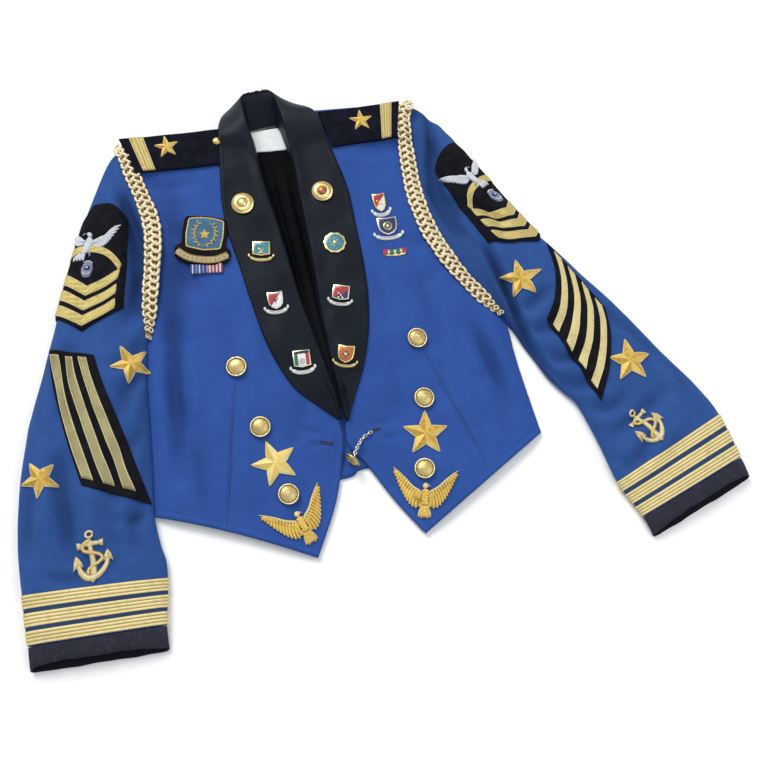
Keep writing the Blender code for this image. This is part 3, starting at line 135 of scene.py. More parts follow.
# Soft troughs pressed into the laid cloth
SLEEVE_TROUGHS = [
    # from_x, from_y, to_x, to_y, depth, reach
    (-300, 196, -282, 70, 4.0, 12),
    (-345, 40, -352, -110, 3.0, 13),
    (-270, -20, -300, -110, 3.0, 12),
    (-352, -120, -300, -160, 2.6, 12),
    (66, 300, 88, 196, 3.6, 12),
    (104, 214, 170, 92, 4.2, 13),
    (190, 10, 262, 34, 3.0, 13),
    (262, -70, 330, -10, 2.6, 13),
]

# The sleeves, from the armhole to the wrist. Follow is how far a ring still takes the armhole's curve.
SLEEVES = {
    "right": [
        # outer_x, outer_y, inner_x, inner_y, follow, height, floor
        (-318, 280, -268.2, 43, 1.00, 28, 0),
        (-330, 262, -268.4, 34, 0.86, 28, 0),
        (-341, 224, -268.4, 25, 0.62, 27, 0),
        (-350, 186, -267.8, 13, 0.42, 26, 0),
        (-361, 120, -266.0, -7, 0.24, 25, 0),
        (-371, 55, -262.2, -36, 0.12, 25, 0),
        (-380, -4, -257.8, -70, 0.05, 24, 0),
        (-388, -66, -253.4, -109, 0.0, 24, 0),
        (-390, -131, -249.0, -152, 0.0, 23, 0),
        (-386.5, -184, -240.5, -184, 0.0, 22, 0),
        (-381, -216, -234, -200, 0.0, 21, 1.6),
        (-376, -240, -231, -222, 0.0, 20, 1.6),
        (-369, -274, -230, -254, 0.0, 19, 1.6),
        (-366, -286, -229.5, -266, 0.0, 18, 1.6),
    ],
    "left": [
        # outer_x, outer_y, inner_x, inner_y, follow, height, floor
        (49, 357, 146.4, 81.5, 1.00, 28, 0),
        (64, 352, 149.5, 77, 0.88, 28, 0),
        (88, 329, 152.5, 72, 0.66, 27, 0),
        (113, 294, 156.5, 65, 0.48, 26, 0),
        (143, 251, 164, 51, 0.32, 25, 0),
        (179, 204, 176, 33, 0.18, 25, 0),
        (216, 165, 191, 10, 0.09, 24, 0),
        (253, 126, 207, -7, 0.03, 24, 0),
        (290, 87, 223, -22, 0.0, 23, 0),
        (329, 43, 238, -52, 0.0, 22, 0),
        (364, 4, 250, -80, 0.0, 22, 0),
        (383, -20, 258, -103, 0.0, 21, 1.6),
        (394, -41, 266, -119, 0.0, 20, 1.6),
        (407, -73, 284, -144, 0.0, 19, 1.6),
        (411, -85, 290, -153, 0.0, 18, 1.6),
    ],
}
SLEEVE_RINGS = 18
RING_TOP = [
    # across, crown
    (0.0, 0.38),
    (0.012, 0.58),
    (0.045, 0.76),
    (0.105, 0.89),
    (0.20, 0.97),
    (0.33, 1.0),
    (0.47, 1.0),
    (0.61, 0.97),
    (0.75, 0.90),
    (0.87, 0.76),
    (0.955, 0.56),
    (1.0, 0.33),
]
RING_FLOOR = [
    # across, crown
    (0.985, 0.05),
    (0.92, 0.0),
    (0.64, 0.0),
    (0.36, 0.0),
    (0.08, 0.0),
    (0.012, 0.06),
]

# The collar from each lapel's point up to the centre back: its outer edge, its fold and how high the
# fold stands over the front, and the seam inside the neck.
COLLARS = {
    "right": [
        # outer_x, outer_y, outer_z, fold_x, fold_y, fold_z, seam_x, seam_y, seam_z
        (-52.5, -46, 11.2, -50.2, -44.5, 11.8, -49, -44, 10.8),
        (-79, -29, 0, -55, -24, 15, -53, -24, 10),
        (-107, -6, 0, -63.5, 2, 18, -61, 2, 12),
        (-133, 37, 0, -78, 41, 21, -75.5, 41, 14),
        (-153, 89, 0, -97.5, 93, 24, -95, 93, 16),
        (-168, 134, 0, -111.5, 139, 26, -109, 139, 17),
        (-181, 171, 0, -126, 187, 28, -123, 187, 19),
        (-190, 209, 0, -140, 229, 31, -137, 229, 21),
        (-194, 251, 0, -151.5, 267, 35, -148, 267, 22),
        (-197, 288, 34.6, -160.5, 300, 39, -156, 300, 20),
        (-198, 320, 26, -168.5, 328, 38, -162, 316, 12),
        (-190, 347, 8, -172, 358, 28, -160, 321, 8.5),
        (-155.0, 364, 5, -154.9, 367, 25, -147.0, 326.5, 8),
    ],
    "left": [
        # outer_x, outer_y, outer_z, fold_x, fold_y, fold_z, seam_x, seam_y, seam_z
        (-41.5, -46, 9.5, -44.2, -43.5, 10.5, -45.6, -43, 9.5),
        (-33, -14, 0, -51.5, -13, 14, -53, -13, 8),
        (-25, 14, 0, -58, 13, 18, -60, 13, 11),
        (-19, 54, 0, -66, 51, 21, -68.5, 51, 13),
        (-19, 99, 0, -75, 96, 24, -77.5, 96, 15),
        (-24, 143, 0, -82, 140, 26, -84.5, 140, 17),
        (-33, 189, 0, -91, 185, 28, -93.5, 185, 19),
        (-42, 234, 0, -100, 231, 31, -103, 231, 21),
        (-56, 272, 0, -107.5, 272, 35, -111, 272, 22),
        (-69, 304, 34, -115.5, 300, 39, -120, 300, 20),
        (-85, 336, 37.2, -125, 333, 39, -126, 322, 12),
        (-114, 361, 8, -137, 366, 28, -132, 330, 8.5),
        (-154.2, 364, 5, -154.1, 367, 25, -146.2, 326.6, 8),
    ],
}
ACROSS_COLLAR = (0.0, 0.10, 0.32, 0.56, 0.78, 0.93)
COLLAR_LOFT = (0.0, 0.5, 1.1, 1.7, 2.3, 2.6)

# The back's edges beyond the fronts: hem and neck
BACK_HEM = [
    (-246, -152), (-178, -137.5), (-110, -123), (-42, -108.5), (-22, -98), (60, -83), (120, -70), (178, -56),
]
BACK_NECK = [(-171, 310), (-160, 319), (-147, 325.5), (-134, 328), (-121, 331)]
BACK_INSET = 1.2

# The lining as it shows between the lapels, from the neck to the waist
LINING_ROWS = [
    # right_x, right_y, left_x, left_y, rise
    (-161.5, 321, -126, 331.5, 4.4),
    (-161.5, 292, -113, 300, 5.0),
    (-158, 262, -104, 262, 5.0),
    (-148, 224, -97, 224, 5.5),
    (-134, 182, -88, 180, 5.5),
    (-120, 136, -79, 136, 5.0),
    (-105, 90, -72, 90, 4.5),
    (-86, 42, -63, 46, 3.8),
    (-71, 6, -55, 8, 3.2),
    (-58, -30, -46, -30, 3.0),
]
LINING_FOLDS = ((0.12, 1.8), (0.30, -1.6), (0.45, 2.6), (0.58, -1.8), (0.76, 2.2), (0.90, -1.0))

LABEL = [(-157.5, 319.5), (-124, 328.5), (-113.5, 301), (-152.5, 293.5)]

# Shoulder boards: outer far, outer near, neck near, neck far corners
BOARDS = {
    "right": [(-313, 287), (-291, 247), (-197.5, 263), (-201.5, 307)],
    "left": [(20.5, 356), (17.5, 308), (-61.5, 292), (-80, 336)],
}
BOARD_THICK = 3.2
BOARD_STARS = {"right": (-257, 279, 14), "left": (-27, 326, 8)}

# Metallic braid along each armhole seam
ARMHOLE_BRAIDS = {
    "right": [
        # x, y, wide
        (-321.0, 281, 8),
        (-312.0, 265, 8.5),
        (-302.5, 246, 9),
        (-291.5, 229, 13),
        (-281.0, 212, 18),
        (-271.5, 188, 20),
        (-266.5, 160, 20),
        (-266.0, 128, 20),
        (-267.0, 96, 18),
        (-267.2, 68, 13),
        (-267.6, 48, 7),
    ],
    "left": [
        # x, y, wide
        (37.0, 355, 9),
        (28.5, 341, 11),
        (27.5, 318, 14),
        (28.5, 296, 17),
        (31.5, 270, 19),
        (39.5, 236, 20),
        (52.0, 203, 20),
        (71.0, 168, 20),
        (95.0, 134, 18),
        (120.0, 106, 13),
        (139.0, 87, 7),
    ],
}

# Gold bands round each wrist: how far the middle of each one lies from the binding
BAND_MIDDLES = (45.5, 26.5, 7.8)
# How much closer together they lie, how much of their width shows and where the ring of darker wool that
# paints the shade between them lies
BAND_CLOSER = {"right": 0.925, "left": 0.96}
BAND_SHOWN = 0.94
BETWEEN_BANDS = 0.475


# Domed buttons, front stars and eagles on the fronts
BUTTONS = {
    "right": [(-167, 12), (-139, -56), (-107, -130)],
    "left": [(37, 50), (44, -20), (43, -101)],
}
FRONT_STARS = {"right": (-122, -96, 24), "left": (45, -61, 1)}
# The lit and the shaded finish of each front star's facets: painted light and shade
FRONT_STAR_FINISHES = {"right": ("Bullion_straw", "Bullion_gold"), "left": ("Bullion_gold", "Bullion_dark")}
STAR_HEIGHT = 3.0
STAR_CORD = 1.5
EAGLES = {
    "right": (-93, -159, 30),
    "left": (43, -129, -3),
}

# Stars and anchors on the sleeves: place, turn in degrees and, for a star, how far it is lifted
SLEEVE_STARS = {
    "Star_sleeve_right_upper": ("right", -283, 11, 12, 1.2),
    "Star_sleeve_right_lower": ("right", -364.5, -117, 10, 2.4),
    "Star_sleeve_left_upper": ("left", 164, 125, 20, 1.0),
    "Star_sleeve_left_lower": ("left", 285, 25, 6, 0.8),
}
ANCHORS = {
    "Anchor_sleeve_right": ("right", -307, -196, 10),
    "Anchor_sleeve_left": ("left", 297, -50, 33),
}

# Badges on the sleeves: centre, turn in degrees and how far each is lifted
RATING_BADGES = {
    "Rating_badge_right": ("right", -331, 128, -9, 0.8),
    "Rating_badge_left": ("left", 124, 232, 38, 1.6),
}
# Stripe patches on the sleeves: the two edges of each, from the top down, and the number of stripes
SERVICE_PATCHES = {
    "Service_stripes_right": ("right", 3),
    "Service_stripes_left": ("left", 4),
}
SERVICE_EDGES = {
    "right": [
        # front_x, front_y, back_x, back_y
        (-372, 28, -322, 21),
        (-366, -4, -312, -6),
        (-356, -39, -296, -41),
        (-341, -80, -276, -85),
        (-323, -124, -251, -142),
    ],
    "left": [
        # front_x, front_y, back_x, back_y
        (197, 175, 263, 92),
        (204, 137, 265, 54),
        (201, 103, 260, 16),
        (190, 75, 248, -23),
    ],
}

# Pins: side, place, turn in degrees, width, height and finish
LAPEL_PINS = {
    "Pin_lapel_right_1": ("right", -166, 210, 0, 26, 26, "brass"),
    "Pin_lapel_right_2": ("right", -143, 151, 2, 28, 24, "enamel_teal"),
    "Pin_lapel_right_3": ("right", -125, 88, 8, 26, 26, "enamel_red"),
    "Pin_lapel_right_4": ("right", -94, 18, 8, 27, 27, "enamel_green"),
    "Pin_lapel_left_1": ("left", -73, 229, 0, 25, 25, "brass"),
    "Pin_lapel_left_2": ("left", -58, 164, 0, 27, 27, "enamel_teal"),
    "Pin_lapel_left_3": ("left", -51, 99, -6, 27, 24, "enamel_navy"),
    "Pin_lapel_left_4": ("left", -45, 26, -6, 27, 25, "brass"),
}
CHEST_PINS = {
    "Pin_chest_left_top": ("left", -4, 217, 12, 19, 25, "enamel_red"),
    "Pin_chest_left_middle": ("left", 5, 187, 8, 34, 28, "enamel_navy"),
    "Pin_chest_left_bottom": ("left", 13, 157, 8, 26, 11, "brass"),
}
CHEST_PATCH = ("right", -209, 163, -4, 57, 54)
RIBBON_BAR = ("right", -205, 129, 4, 37, 11)

# The chest patch's outline as fractions of half its width and half its height
CREST_OUTLINE = [
    (-0.76, 0.94), (0.0, 1.0), (0.76, 0.94), (0.80, 0.4), (0.76, -0.16), (1.0, -0.30), (0.96, -0.76),
    (0.5, -0.98), (-0.5, -0.98), (-0.96, -0.76), (-1.0, -0.30), (-0.76, -0.16), (-0.80, 0.4),
]

# The closure: its button stands on its rim between the fronts, and its chain runs up to a buttonhole
CLOSURE_BUTTON = (-36.5, -91.0, 13.0)
CLOSURE_BUTTON_FACES = (-0.62, -0.78, 0.05)
CLOSURE_BUTTON_ACROSS = 20.0
CLOSURE_CHAIN = [
    # x, y, z
    (-17, -60, 9.0),
    (-24.5, -65.5, 9.5),
    (-29.5, -73, 10.5),
    (-33.2, -81, 11.8),
    (-36.05, -90.3, 12.8),
]
BOARD_BUTTON = (-199.0, 289.0)
BOARD_BUTTON_ACROSS = 9.0

# The binding at each wrist: how far its rings reach past the sleeve, and how much further underneath
CUFF_REACHES = (0.7, 7.0, 13.0, 18.5)
CUFF_LEAN = 0.45
CUFF_RINGS = 22


def smooth_rows(rows, count):
    """A short table read off at even steps, along smooth curves through its rows."""
    rows = np.array(rows, float)
    ends = np.vstack([2 * rows[0] - rows[1], rows, 2 * rows[-1] - rows[-2]])
    places = np.linspace(0, len(rows) - 1, count)
    first = np.minimum(places.astype(int), len(rows) - 2)
    part = (places - first)[:, None]
    before, here, there, after = (ends[first + step] for step in range(4))
    bend = (there - before) * part
    bend = bend + (2 * before - 5 * here + 4 * there - after) * part**2
    bend = bend + (3 * here - before - 3 * there + after) * part**3
    return here + 0.5 * bend


def run_lengths(line):
    """How far along a line each of its points lies."""
    return np.concatenate([[0.0], np.cumsum(np.linalg.norm(np.diff(line, axis=0), axis=1))])


def read_off(line, lengths, places):
    """The coordinates of a line at places along it."""
    return np.array([np.interp(places, lengths, line[:, axis]) for axis in range(line.shape[1])]).T


def even_line(line, count):
    """A line of points read off at even lengths."""
    line = np.asarray(line, float)
    lengths = run_lengths(line)
    return read_off(line, lengths, np.linspace(0, lengths[-1], count))


def smooth_path(points, count):
    """A smooth path through a few points, with evenly spaced places."""
    return even_line(smooth_rows(points, count * 4), count)


def profile_at(pairs, places):
    """A smooth curve through (place, value) pairs, read off at the places."""
    curve = smooth_rows(pairs, 240)
    return np.interp(places, curve[:, 0], curve[:, 1])


def rotated(offsets, degrees):
    """Offsets turned about the origin."""
    angle = math.radians(degrees)
    spin = np.array([[math.cos(angle), -math.sin(angle)], [math.sin(angle), math.cos(angle)]])
    return np.asarray(offsets, float) @ spin.T


def spokes(count):
    """Unit offsets at even turns, from the first one on the x axis."""
    for turn in range(count):
        angle = 2 * math.pi * turn / count
        yield np.array([math.cos(angle), math.sin(angle)])


def bump(values, place, reach):
    """1 at a place, falling away smoothly on both sides of it."""
    return np.exp(-(((values - place) / reach) ** 2))


def from_run(points, start, run):
    """How far along a straight run each point lies, from 0 to 1, and how far from it."""
    along = np.clip(((points[..., :2] - start) @ run) / (run @ run), 0, 1)
    return along, np.linalg.norm(points[..., :2] - start - along[..., None] * run, axis=-1)


def unit(vectors):
    """Vectors of length 1."""
    vectors = np.asarray(vectors, float)
    return vectors / np.maximum(np.linalg.norm(vectors, axis=-1, keepdims=True), 1e-9)


def eased(edge, value):
    """0 at the start of the edge and 1 past it, with a soft run between."""
    value = np.clip(value / edge, 0.0, 1.0)
    return value * value * (3 - 2 * value)


def grid_quads(rows, columns, ring=False):
    """The quads of a grid of points, as rows of four indices."""
    row, column = np.meshgrid(np.arange(rows - 1), np.arange(columns if ring else columns - 1), indexing="ij")
    here = row * columns + column
    beside = row * columns + (column + 1) % columns
    return np.stack([here, beside, beside + columns, here + columns], axis=-1).reshape(-1, 4)


def ring_faces(layers, count):
    """The faces of stacked rings, closed by fans round a top and a bottom middle point."""
    faces = []
    for start in range(0, (layers - 1) * count, count):
        for a in range(count):
            b = (a + 1) % count
            faces.append([start + a, start + b, start + count + b, start + count + a])
    top = layers * count
    faces += [[top - count + a, top - count + (a + 1) % count, top] for a in range(count)]
    return faces + [[(a + 1) % count, a, top + 1] for a in range(count)]


def strand_faces(rows, columns):
    """The faces of a raised strand: its top, its two ends and its underside."""
    last = (rows - 1) * columns
    faces = grid_quads(rows, columns).tolist() + [list(range(columns)), list(range(last, last + columns))]
    return faces + [
        [at, at + columns, at + 2 * columns - 1, at + columns - 1] for at in range(0, last, columns)
    ]


def slab_faces(rows, columns):
    """The faces of two grids of points, one over the other and joined round their edge."""
    count = rows * columns
    quads = grid_quads(rows, columns)
    rim = list(range(columns)) + [row * columns + columns - 1 for row in range(1, rows)]
    rim += [(rows - 1) * columns + column for column in range(columns - 2, -1, -1)]
    rim += [row * columns for row in range(rows - 2, 0, -1)]
    faces = quads.tolist() + (quads + count).tolist()
    return faces + [[a, b, b + count, a + count] for a, b in zip(rim, rim[1:] + rim[:1])]


def read_grid(values, rows, columns):
    """The values of a grid at places between its points."""
    row, column = rows.astype(int), columns.astype(int)
    down, right = (rows - row)[:, None], (columns - column)[:, None]
    upper = values[row, column] * (1 - right) + values[row, column + 1] * right
    lower = values[row + 1, column] * (1 - right) + values[row + 1, column + 1] * right
    return upper * (1 - down) + lower * down


def grid_normals(grid, ring=False):
    """The unit normal at each point of a grid, on the side that mostly faces up or outwards."""
    if ring:
        wide = np.concatenate([grid[:, -1:], grid, grid[:, :1]], axis=1)
        across = wide[:, 2:] - wide[:, :-2]
    else:
        across = np.gradient(grid, axis=1)
    normals = unit(np.cross(np.gradient(grid, axis=0), across))
    if ring:
        outwards = (normals * (grid - grid.mean(axis=1, keepdims=True))).sum()
    else:
        outwards = normals[..., 2].sum()
    return normals if outwards > 0 else -normals


def row_lengths(grid):
    """How far down a grid each of its rows lies, as a mean over its columns."""
    return np.concatenate([[0.0], np.cumsum(np.linalg.norm(np.diff(grid, axis=0), axis=2).mean(axis=1))])


def cloth_uvs(grid):
    """Cloth coordinates that follow a sheet's rows and columns, in mm."""
    steps = np.linalg.norm(np.diff(grid, axis=1), axis=2)
    across = np.concatenate([np.zeros((len(grid), 1)), np.cumsum(steps, axis=1)], axis=1)
    across -= across.mean(axis=1, keepdims=True)
    return np.stack(np.broadcast_arrays(across, row_lengths(grid)[:, None]), axis=-1)


def ring_uvs(grid):
    """Cloth coordinates round a ring and along it, in mm, and how wide the ring is."""
    wide = float(np.linalg.norm(np.roll(grid, -1, axis=1) - grid, axis=2).sum(axis=1).mean())
    across = np.arange(grid.shape[1]) / grid.shape[1] * wide
    return np.stack(np.broadcast_arrays(across[None, :], row_lengths(grid)[:, None]), axis=-1), wide


def linked(name, data):
    """A new object in the scene that holds a mesh, a light or a camera."""
    obj = bpy.data.objects.new(name, data)
    bpy.context.scene.collection.objects.link(obj)
    return obj


def finish_mesh(mesh, uvs, solid):
    """Gives a mesh its cloth coordinates in mm and smooth shading. A solid's faces are turned outwards."""
    layer = mesh.uv_layers.new(name="Cloth")
    layer.data.foreach_set("uv", (uvs * MM).astype(np.float32).ravel())
    if solid:
        work = bmesh.new()
        work.from_mesh(mesh)
        bmesh.ops.recalc_face_normals(work, faces=work.faces[:])
        work.to_mesh(mesh)
        work.free()
    mesh.shade_smooth()


class Piece:
    """The points and faces of one piece, with each face's finish and cloth coordinates."""

    def __init__(self, name, *finishes):
        self.name = name
        self.finishes = finishes
        self.points = []
        self.faces = []
        self.slots = []
        self.uvs = []
        self.count = 0

    def add(self, points, faces, uvs, slot=0):
        """Adds points (N, 3) in plan mm, faces as lists of indices and one (u, v) in mm a point."""
        self.points.append(np.asarray(points, float))
        uvs = np.asarray(uvs, float)
        for face in faces:
            self.faces.append([int(index) + self.count for index in face])
            self.uvs.append(uvs[list(face)])
            self.slots.append(slot)
        self.count += len(points)

    def grid(self, grid, ring):
        """Adds a grid of quads, as a flat sheet or as rings."""
        rows, columns = grid.shape[:2]
        uvs, round_once = ring_uvs(grid) if ring else (cloth_uvs(grid), 0.0)
        quads = grid_quads(rows, columns, ring)
        normals = grid_normals(grid, ring)
        first = quads[len(quads) // 2]
        flat = grid.reshape(-1, 3)
        turn = np.cross(flat[first[1]] - flat[first[0]], flat[first[3]] - flat[first[0]])
        if turn @ normals.reshape(-1, 3)[first[0]] < 0:
            quads = quads[:, ::-1]
        corner = uvs.reshape(-1, 2)[quads]
        if ring:
            wraps = corner[..., 0].max(axis=1) - corner[..., 0].min(axis=1) > round_once / 2
            low = corner[..., 0] < round_once / 2
            corner[..., 0] += np.where(wraps[:, None] & low, round_once, 0.0)
        self.points.append(flat)
        self.faces += (quads + self.count).tolist()
        self.uvs += list(corner)
        self.slots += [0] * len(quads)
        self.count += len(flat)

    def make(self, solid=False, sharp=None):
        """The piece as an object at the origin. Closed pieces get their faces turned outwards."""
        mesh = bpy.data.meshes.new(self.name)
        points = (np.vstack(self.points) + SHIFT) * MM
        mesh.from_pydata(points.tolist(), [], self.faces)
        for finish in self.finishes:
            mesh.materials.append(finish_named(finish))
        mesh.polygons.foreach_set("material_index", np.array(self.slots, np.int32))
        finish_mesh(mesh, np.concatenate(self.uvs), solid)
        if sharp:
            mesh.set_sharp_from_angle(angle=math.radians(sharp))
        return linked(self.name, mesh)


def walled(obj, thickness, inside):
    """Gives a sheet its thickness downwards or inwards from the face that was modelled."""
    wall = obj.modifiers.new("Wall", "SOLIDIFY")
    wall.thickness = thickness * MM
    wall.offset = -1.0
    wall.use_quality_normals = False
    wall.material_offset = inside
    return obj


class Surface:
    """A finished face of cloth that trim is set down on."""

    def __init__(self, grid, ring=False):
        self.grid = grid
        self.normals = grid_normals(grid, ring)
        quads = grid_quads(grid.shape[0], grid.shape[1], ring)
        self.tree = BVHTree.FromPolygons(grid.reshape(-1, 3).tolist(), quads.tolist())

    def height(self, x, y):
        """The face's height at a place, or None beside it."""
        hit = self.tree.ray_cast(Vector((x, y, ABOVE_ALL)), Vector((0, 0, -1)))[0]
        return None if hit is None else hit.z


def height_under(x, y, surfaces, centre=None):
    """The highest surface at a place, or at the nearest place towards the centre that has one."""
    target = (x, y) if centre is None else centre
    for step in np.linspace(0.0, 0.6, 16):
        found = [
            surface.height(x + (target[0] - x) * step, y + (target[1] - y) * step) for surface in surfaces
        ]
        heights = [height for height in found if height is not None]
        if heights:
            return max(heights)
    return 0.0


def heights_under(places, surfaces, centre):
    """The highest surface at each place of a grid."""
    heights = [height_under(x, y, surfaces, centre) for x, y in places.reshape(-1, 2)]
    return np.array(heights).reshape(places.shape[:-1])


def mean_beside(heights):
    """The mean of the four neighbours of each inner height of a grid."""
    return (heights[:-2, 1:-1] + heights[2:, 1:-1] + heights[1:-1, :-2] + heights[1:-1, 2:]) / 4


class LaidAt:
    """Sets trim down on cloth from above, about a place in the plan."""

    def __init__(self, place, degrees, surfaces, gap=0.0):
        self.place = np.asarray(place, float)
        self.degrees = degrees
        self.surfaces = surfaces
        self.gap = gap

    def put(self, offsets, lifts):
        """Places and lifts in mm, set down on the cloth point by point."""
        places = rotated(offsets, self.degrees) + self.place
        lifts = np.broadcast_to(lifts, len(places))
        heights = [height_under(x, y, self.surfaces, self.place) for x, y in places]
        return np.column_stack([places, np.array(heights) + self.gap + lifts])


class Skin:
    """A sleeve's outer face, read off along the sleeve and round it from its middle line."""

    STEP = 2.0
    TURNS = np.arange(-96.0, 96.1, STEP)

    def __init__(self, grid, middle):
        both = []
        for ring in np.roll(grid, -middle, axis=1):
            back = np.roll(ring[::-1], 1, axis=0)
            before = read_off(back, run_lengths(back), -self.TURNS[self.TURNS < 0][::-1])
            after = read_off(ring, run_lengths(ring), self.TURNS[self.TURNS >= 0])
            both.append(np.vstack([before[::-1], after]))
        self.points = np.array(both)
        normals = unit(np.cross(np.gradient(self.points, axis=0), np.gradient(self.points, axis=1)))
        if normals[:, self.points.shape[1] // 2, 2].sum() < 0:
            normals = -normals
        for _ in range(3):
            normals[:, 1:-1] = (normals[:, :-2] + 2 * normals[:, 1:-1] + normals[:, 2:]) / 4
        self.normals = unit(normals)

    def read(self, values, steps, turns):
        """Values along the sleeve and round it, read off between the grid's points."""
        steps = np.clip(steps, 0, len(values) - 1.001)
        columns = np.clip((turns - self.TURNS[0]) / self.STEP, 0, len(self.TURNS) - 1.001)
        return read_grid(values, steps, columns)


class WrappedAt:
    """Wraps trim round a sleeve, about a place in the plan."""

    def __init__(self, skin, place, degrees, lift=0.0, clear=None):
        self.skin = skin
        self.degrees = degrees
        self.lift = lift
        self.clear = clear
        away = ((skin.points[..., :2] - np.asarray(place, float)) ** 2).sum(axis=-1)
        away[skin.points[..., 2] < 4.0] = 1e9
        row, column = np.unravel_index(np.argmin(away), away.shape)
        row, column = min(max(row, 3), len(skin.points) - 4), min(max(column, 2), len(skin.TURNS) - 3)
        self.turn = float(skin.TURNS[column])
        along = unit(skin.points[row + 3, column] - skin.points[row - 3, column])
        across = unit(skin.points[row, column + 2] - skin.points[row, column - 2])
        lengths = run_lengths(skin.points[:, column])
        self.lengths = lengths - lengths[row]
        lean = float(along @ across)
        ahead = unit(along[:2])
        beside = np.array([-ahead[1], ahead[0]])
        beside *= np.sign(beside @ across[:2])
        true = math.sqrt(1 - lean**2)
        self.inverse = np.column_stack([ahead - beside * lean / true, beside / true])
        self.offset = np.asarray(place, float) - skin.points[row, column, :2]

    def put(self, offsets, lifts):
        """Places and lifts in mm, wrapped round the sleeve."""
        moves = (rotated(offsets, self.degrees) + self.offset) @ self.inverse
        steps = np.interp(moves[:, 0], self.lengths, np.arange(len(self.lengths)))
        turns = self.turn + moves[:, 1]
        lifts = np.broadcast_to(lifts, len(moves))[:, None] + self.lift
        facing = unit(self.skin.read(self.skin.normals, steps, turns))
        points = self.skin.read(self.skin.points, steps, turns) + facing * lifts
        if self.clear is not None:
            points[:, 2] = np.maximum(points[:, 2], self.clear)
        return points


class OnPlane:
    """Holds stiff trim on a flat plane that rests on the cloth under it."""

    def __init__(self, place, degrees, surfaces, radius, gap=0.0):
        x, y = place
        self.place = np.asarray(place, float)
        self.degrees = degrees
        height = height_under(x, y, surfaces)
        east = height_under(x + radius, y, surfaces, place) - height_under(x - radius, y, surfaces, place)
        north = height_under(x, y + radius, surfaces, place) - height_under(x, y - radius, surfaces, place)
        up = unit(np.array([-east / (2 * radius), -north / (2 * radius), 1.0]))
        rim = []
        for angle in np.linspace(0, 2 * math.pi, 16, endpoint=False):
            dx, dy = radius * math.cos(angle), radius * math.sin(angle)
            rim.append(
                height_under(x + dx, y + dy, surfaces, place) + (up[0] * dx + up[1] * dy) / up[2] - height
            )
        self.up = up
        self.height = height + max(0.0, max(rim)) + gap

    def put(self, offsets, lifts):
        """Places and lifts in mm, on the plane."""
        turned = rotated(offsets, self.degrees)
        heights = self.height - (turned @ self.up[:2]) / self.up[2]
        points = np.column_stack([turned + self.place, heights])
        return points + np.outer(np.broadcast_to(lifts, len(points)), self.up)


def stroke(piece, placer, path, widths, rise, slot=0, base=0.0, across=5, flat=0.0, taper=0.12, count=None):
    """A raised strand along a path of offsets: rounded across, or flat-topped as flat nears 1."""
    path = np.asarray(path, float)
    count = count or max(4, len(path))
    if len(path) < 3:
        path = even_line(path, 4)
    path = smooth_path(path, count)
    ends = np.linspace(0, 1, count)
    widths = np.atleast_1d(widths)
    widths = np.interp(ends, np.linspace(0, 1, len(widths)), widths)
    along = unit(np.gradient(path, axis=0))
    side = np.column_stack([-along[:, 1], along[:, 0]])
    turns = np.linspace(-1, 1, across)
    crown = np.sqrt(np.clip(1 - turns**2, 0, 1)) * (1 - flat) + flat * (np.abs(turns) < 0.99)
    ending = np.sqrt(np.clip(np.minimum(ends, 1 - ends) / max(taper, 1e-3), 0.0, 1.0)) * 0.92 + 0.08
    width = widths * (0.35 + 0.65 * ending)
    top = path[:, None] + side[:, None] * (turns[None, :, None] * width[:, None, None] / 2)
    lift = base + rise * crown[None, :] * ending[:, None]
    points = placer.put(top.reshape(-1, 2), lift.reshape(-1))
    uvs = np.stack(
        np.broadcast_arrays(run_lengths(path)[:, None], turns[None, :] * width[:, None] / 2), axis=-1
    )
    piece.add(points, strand_faces(count, across), uvs.reshape(-1, 2), slot)


def slab(piece, placer, outline, low, high, slot, bevel, rings=1, crown=0.0):
    """A closed flat shape between two heights, its top edge bevelled and its middle crowned."""
    outline = np.asarray(outline, float)
    middle = (outline.max(axis=0) + outline.min(axis=0)) / 2
    count = len(outline)
    reach = np.linalg.norm(outline - middle, axis=1).mean()
    layers = [(1.0, low), (1.0, high - bevel)]
    if bevel:
        layers += [(1 - 0.35 * bevel / reach, high - 0.3 * bevel), (1 - bevel / reach, high)]
    inner = layers[-1][0]
    for step in range(1, rings + 1):
        share = inner * (1 - step / (rings + 1))
        layers.append((share, high + crown * (1 - share**2)))
    offsets = np.vstack([middle + (outline - middle) * share for share, _ in layers] + [middle[None]])
    lifts = np.concatenate([np.full(count, height) for _, height in layers] + [[high + crown]])
    points = np.vstack([placer.put(offsets, lifts), placer.put(middle[None], np.array([low]))])
    piece.add(points, ring_faces(len(layers), count), np.vstack([offsets, middle[None]]), slot)


def circle(radius, count, centre=(0.0, 0.0)):
    """Points evenly round a circle."""
    angles = np.linspace(0, 2 * math.pi, count, endpoint=False)
    return np.column_stack([np.cos(angles), np.sin(angles)]) * radius + np.asarray(centre, float)


def dome(piece, placer, centre, radii_heights, slot, steps, scale=1.0):
    """A turned shape from (radius, height) pairs, from its rim to its middle, closed below."""
    profile = [(radius * scale, height * scale) for radius, height in radii_heights]
    centre = np.asarray(centre, float)
    offsets = np.vstack([circle(max(radius, 1e-3), steps) for radius, _ in profile]) + centre
    lifts = np.repeat([height for _, height in profile], steps)
    ends = [placer.put(centre[None], np.array([profile[end][1]])) for end in (-1, 0)]
    uvs = np.vstack([offsets, centre, centre])
    piece.add(np.vstack([placer.put(offsets, lifts), *ends]), ring_faces(len(profile), steps), uvs, slot)


def tone(red, green, blue):
    """A colour given in screen values from 0 to 255, as the shader's linear one."""
    values = []
    for value in (red, green, blue):
        share = value / 255
        values.append(share / 12.92 if share <= 0.04045 else ((share + 0.055) / 1.055) ** 2.4)
    return (*values, 1.0)


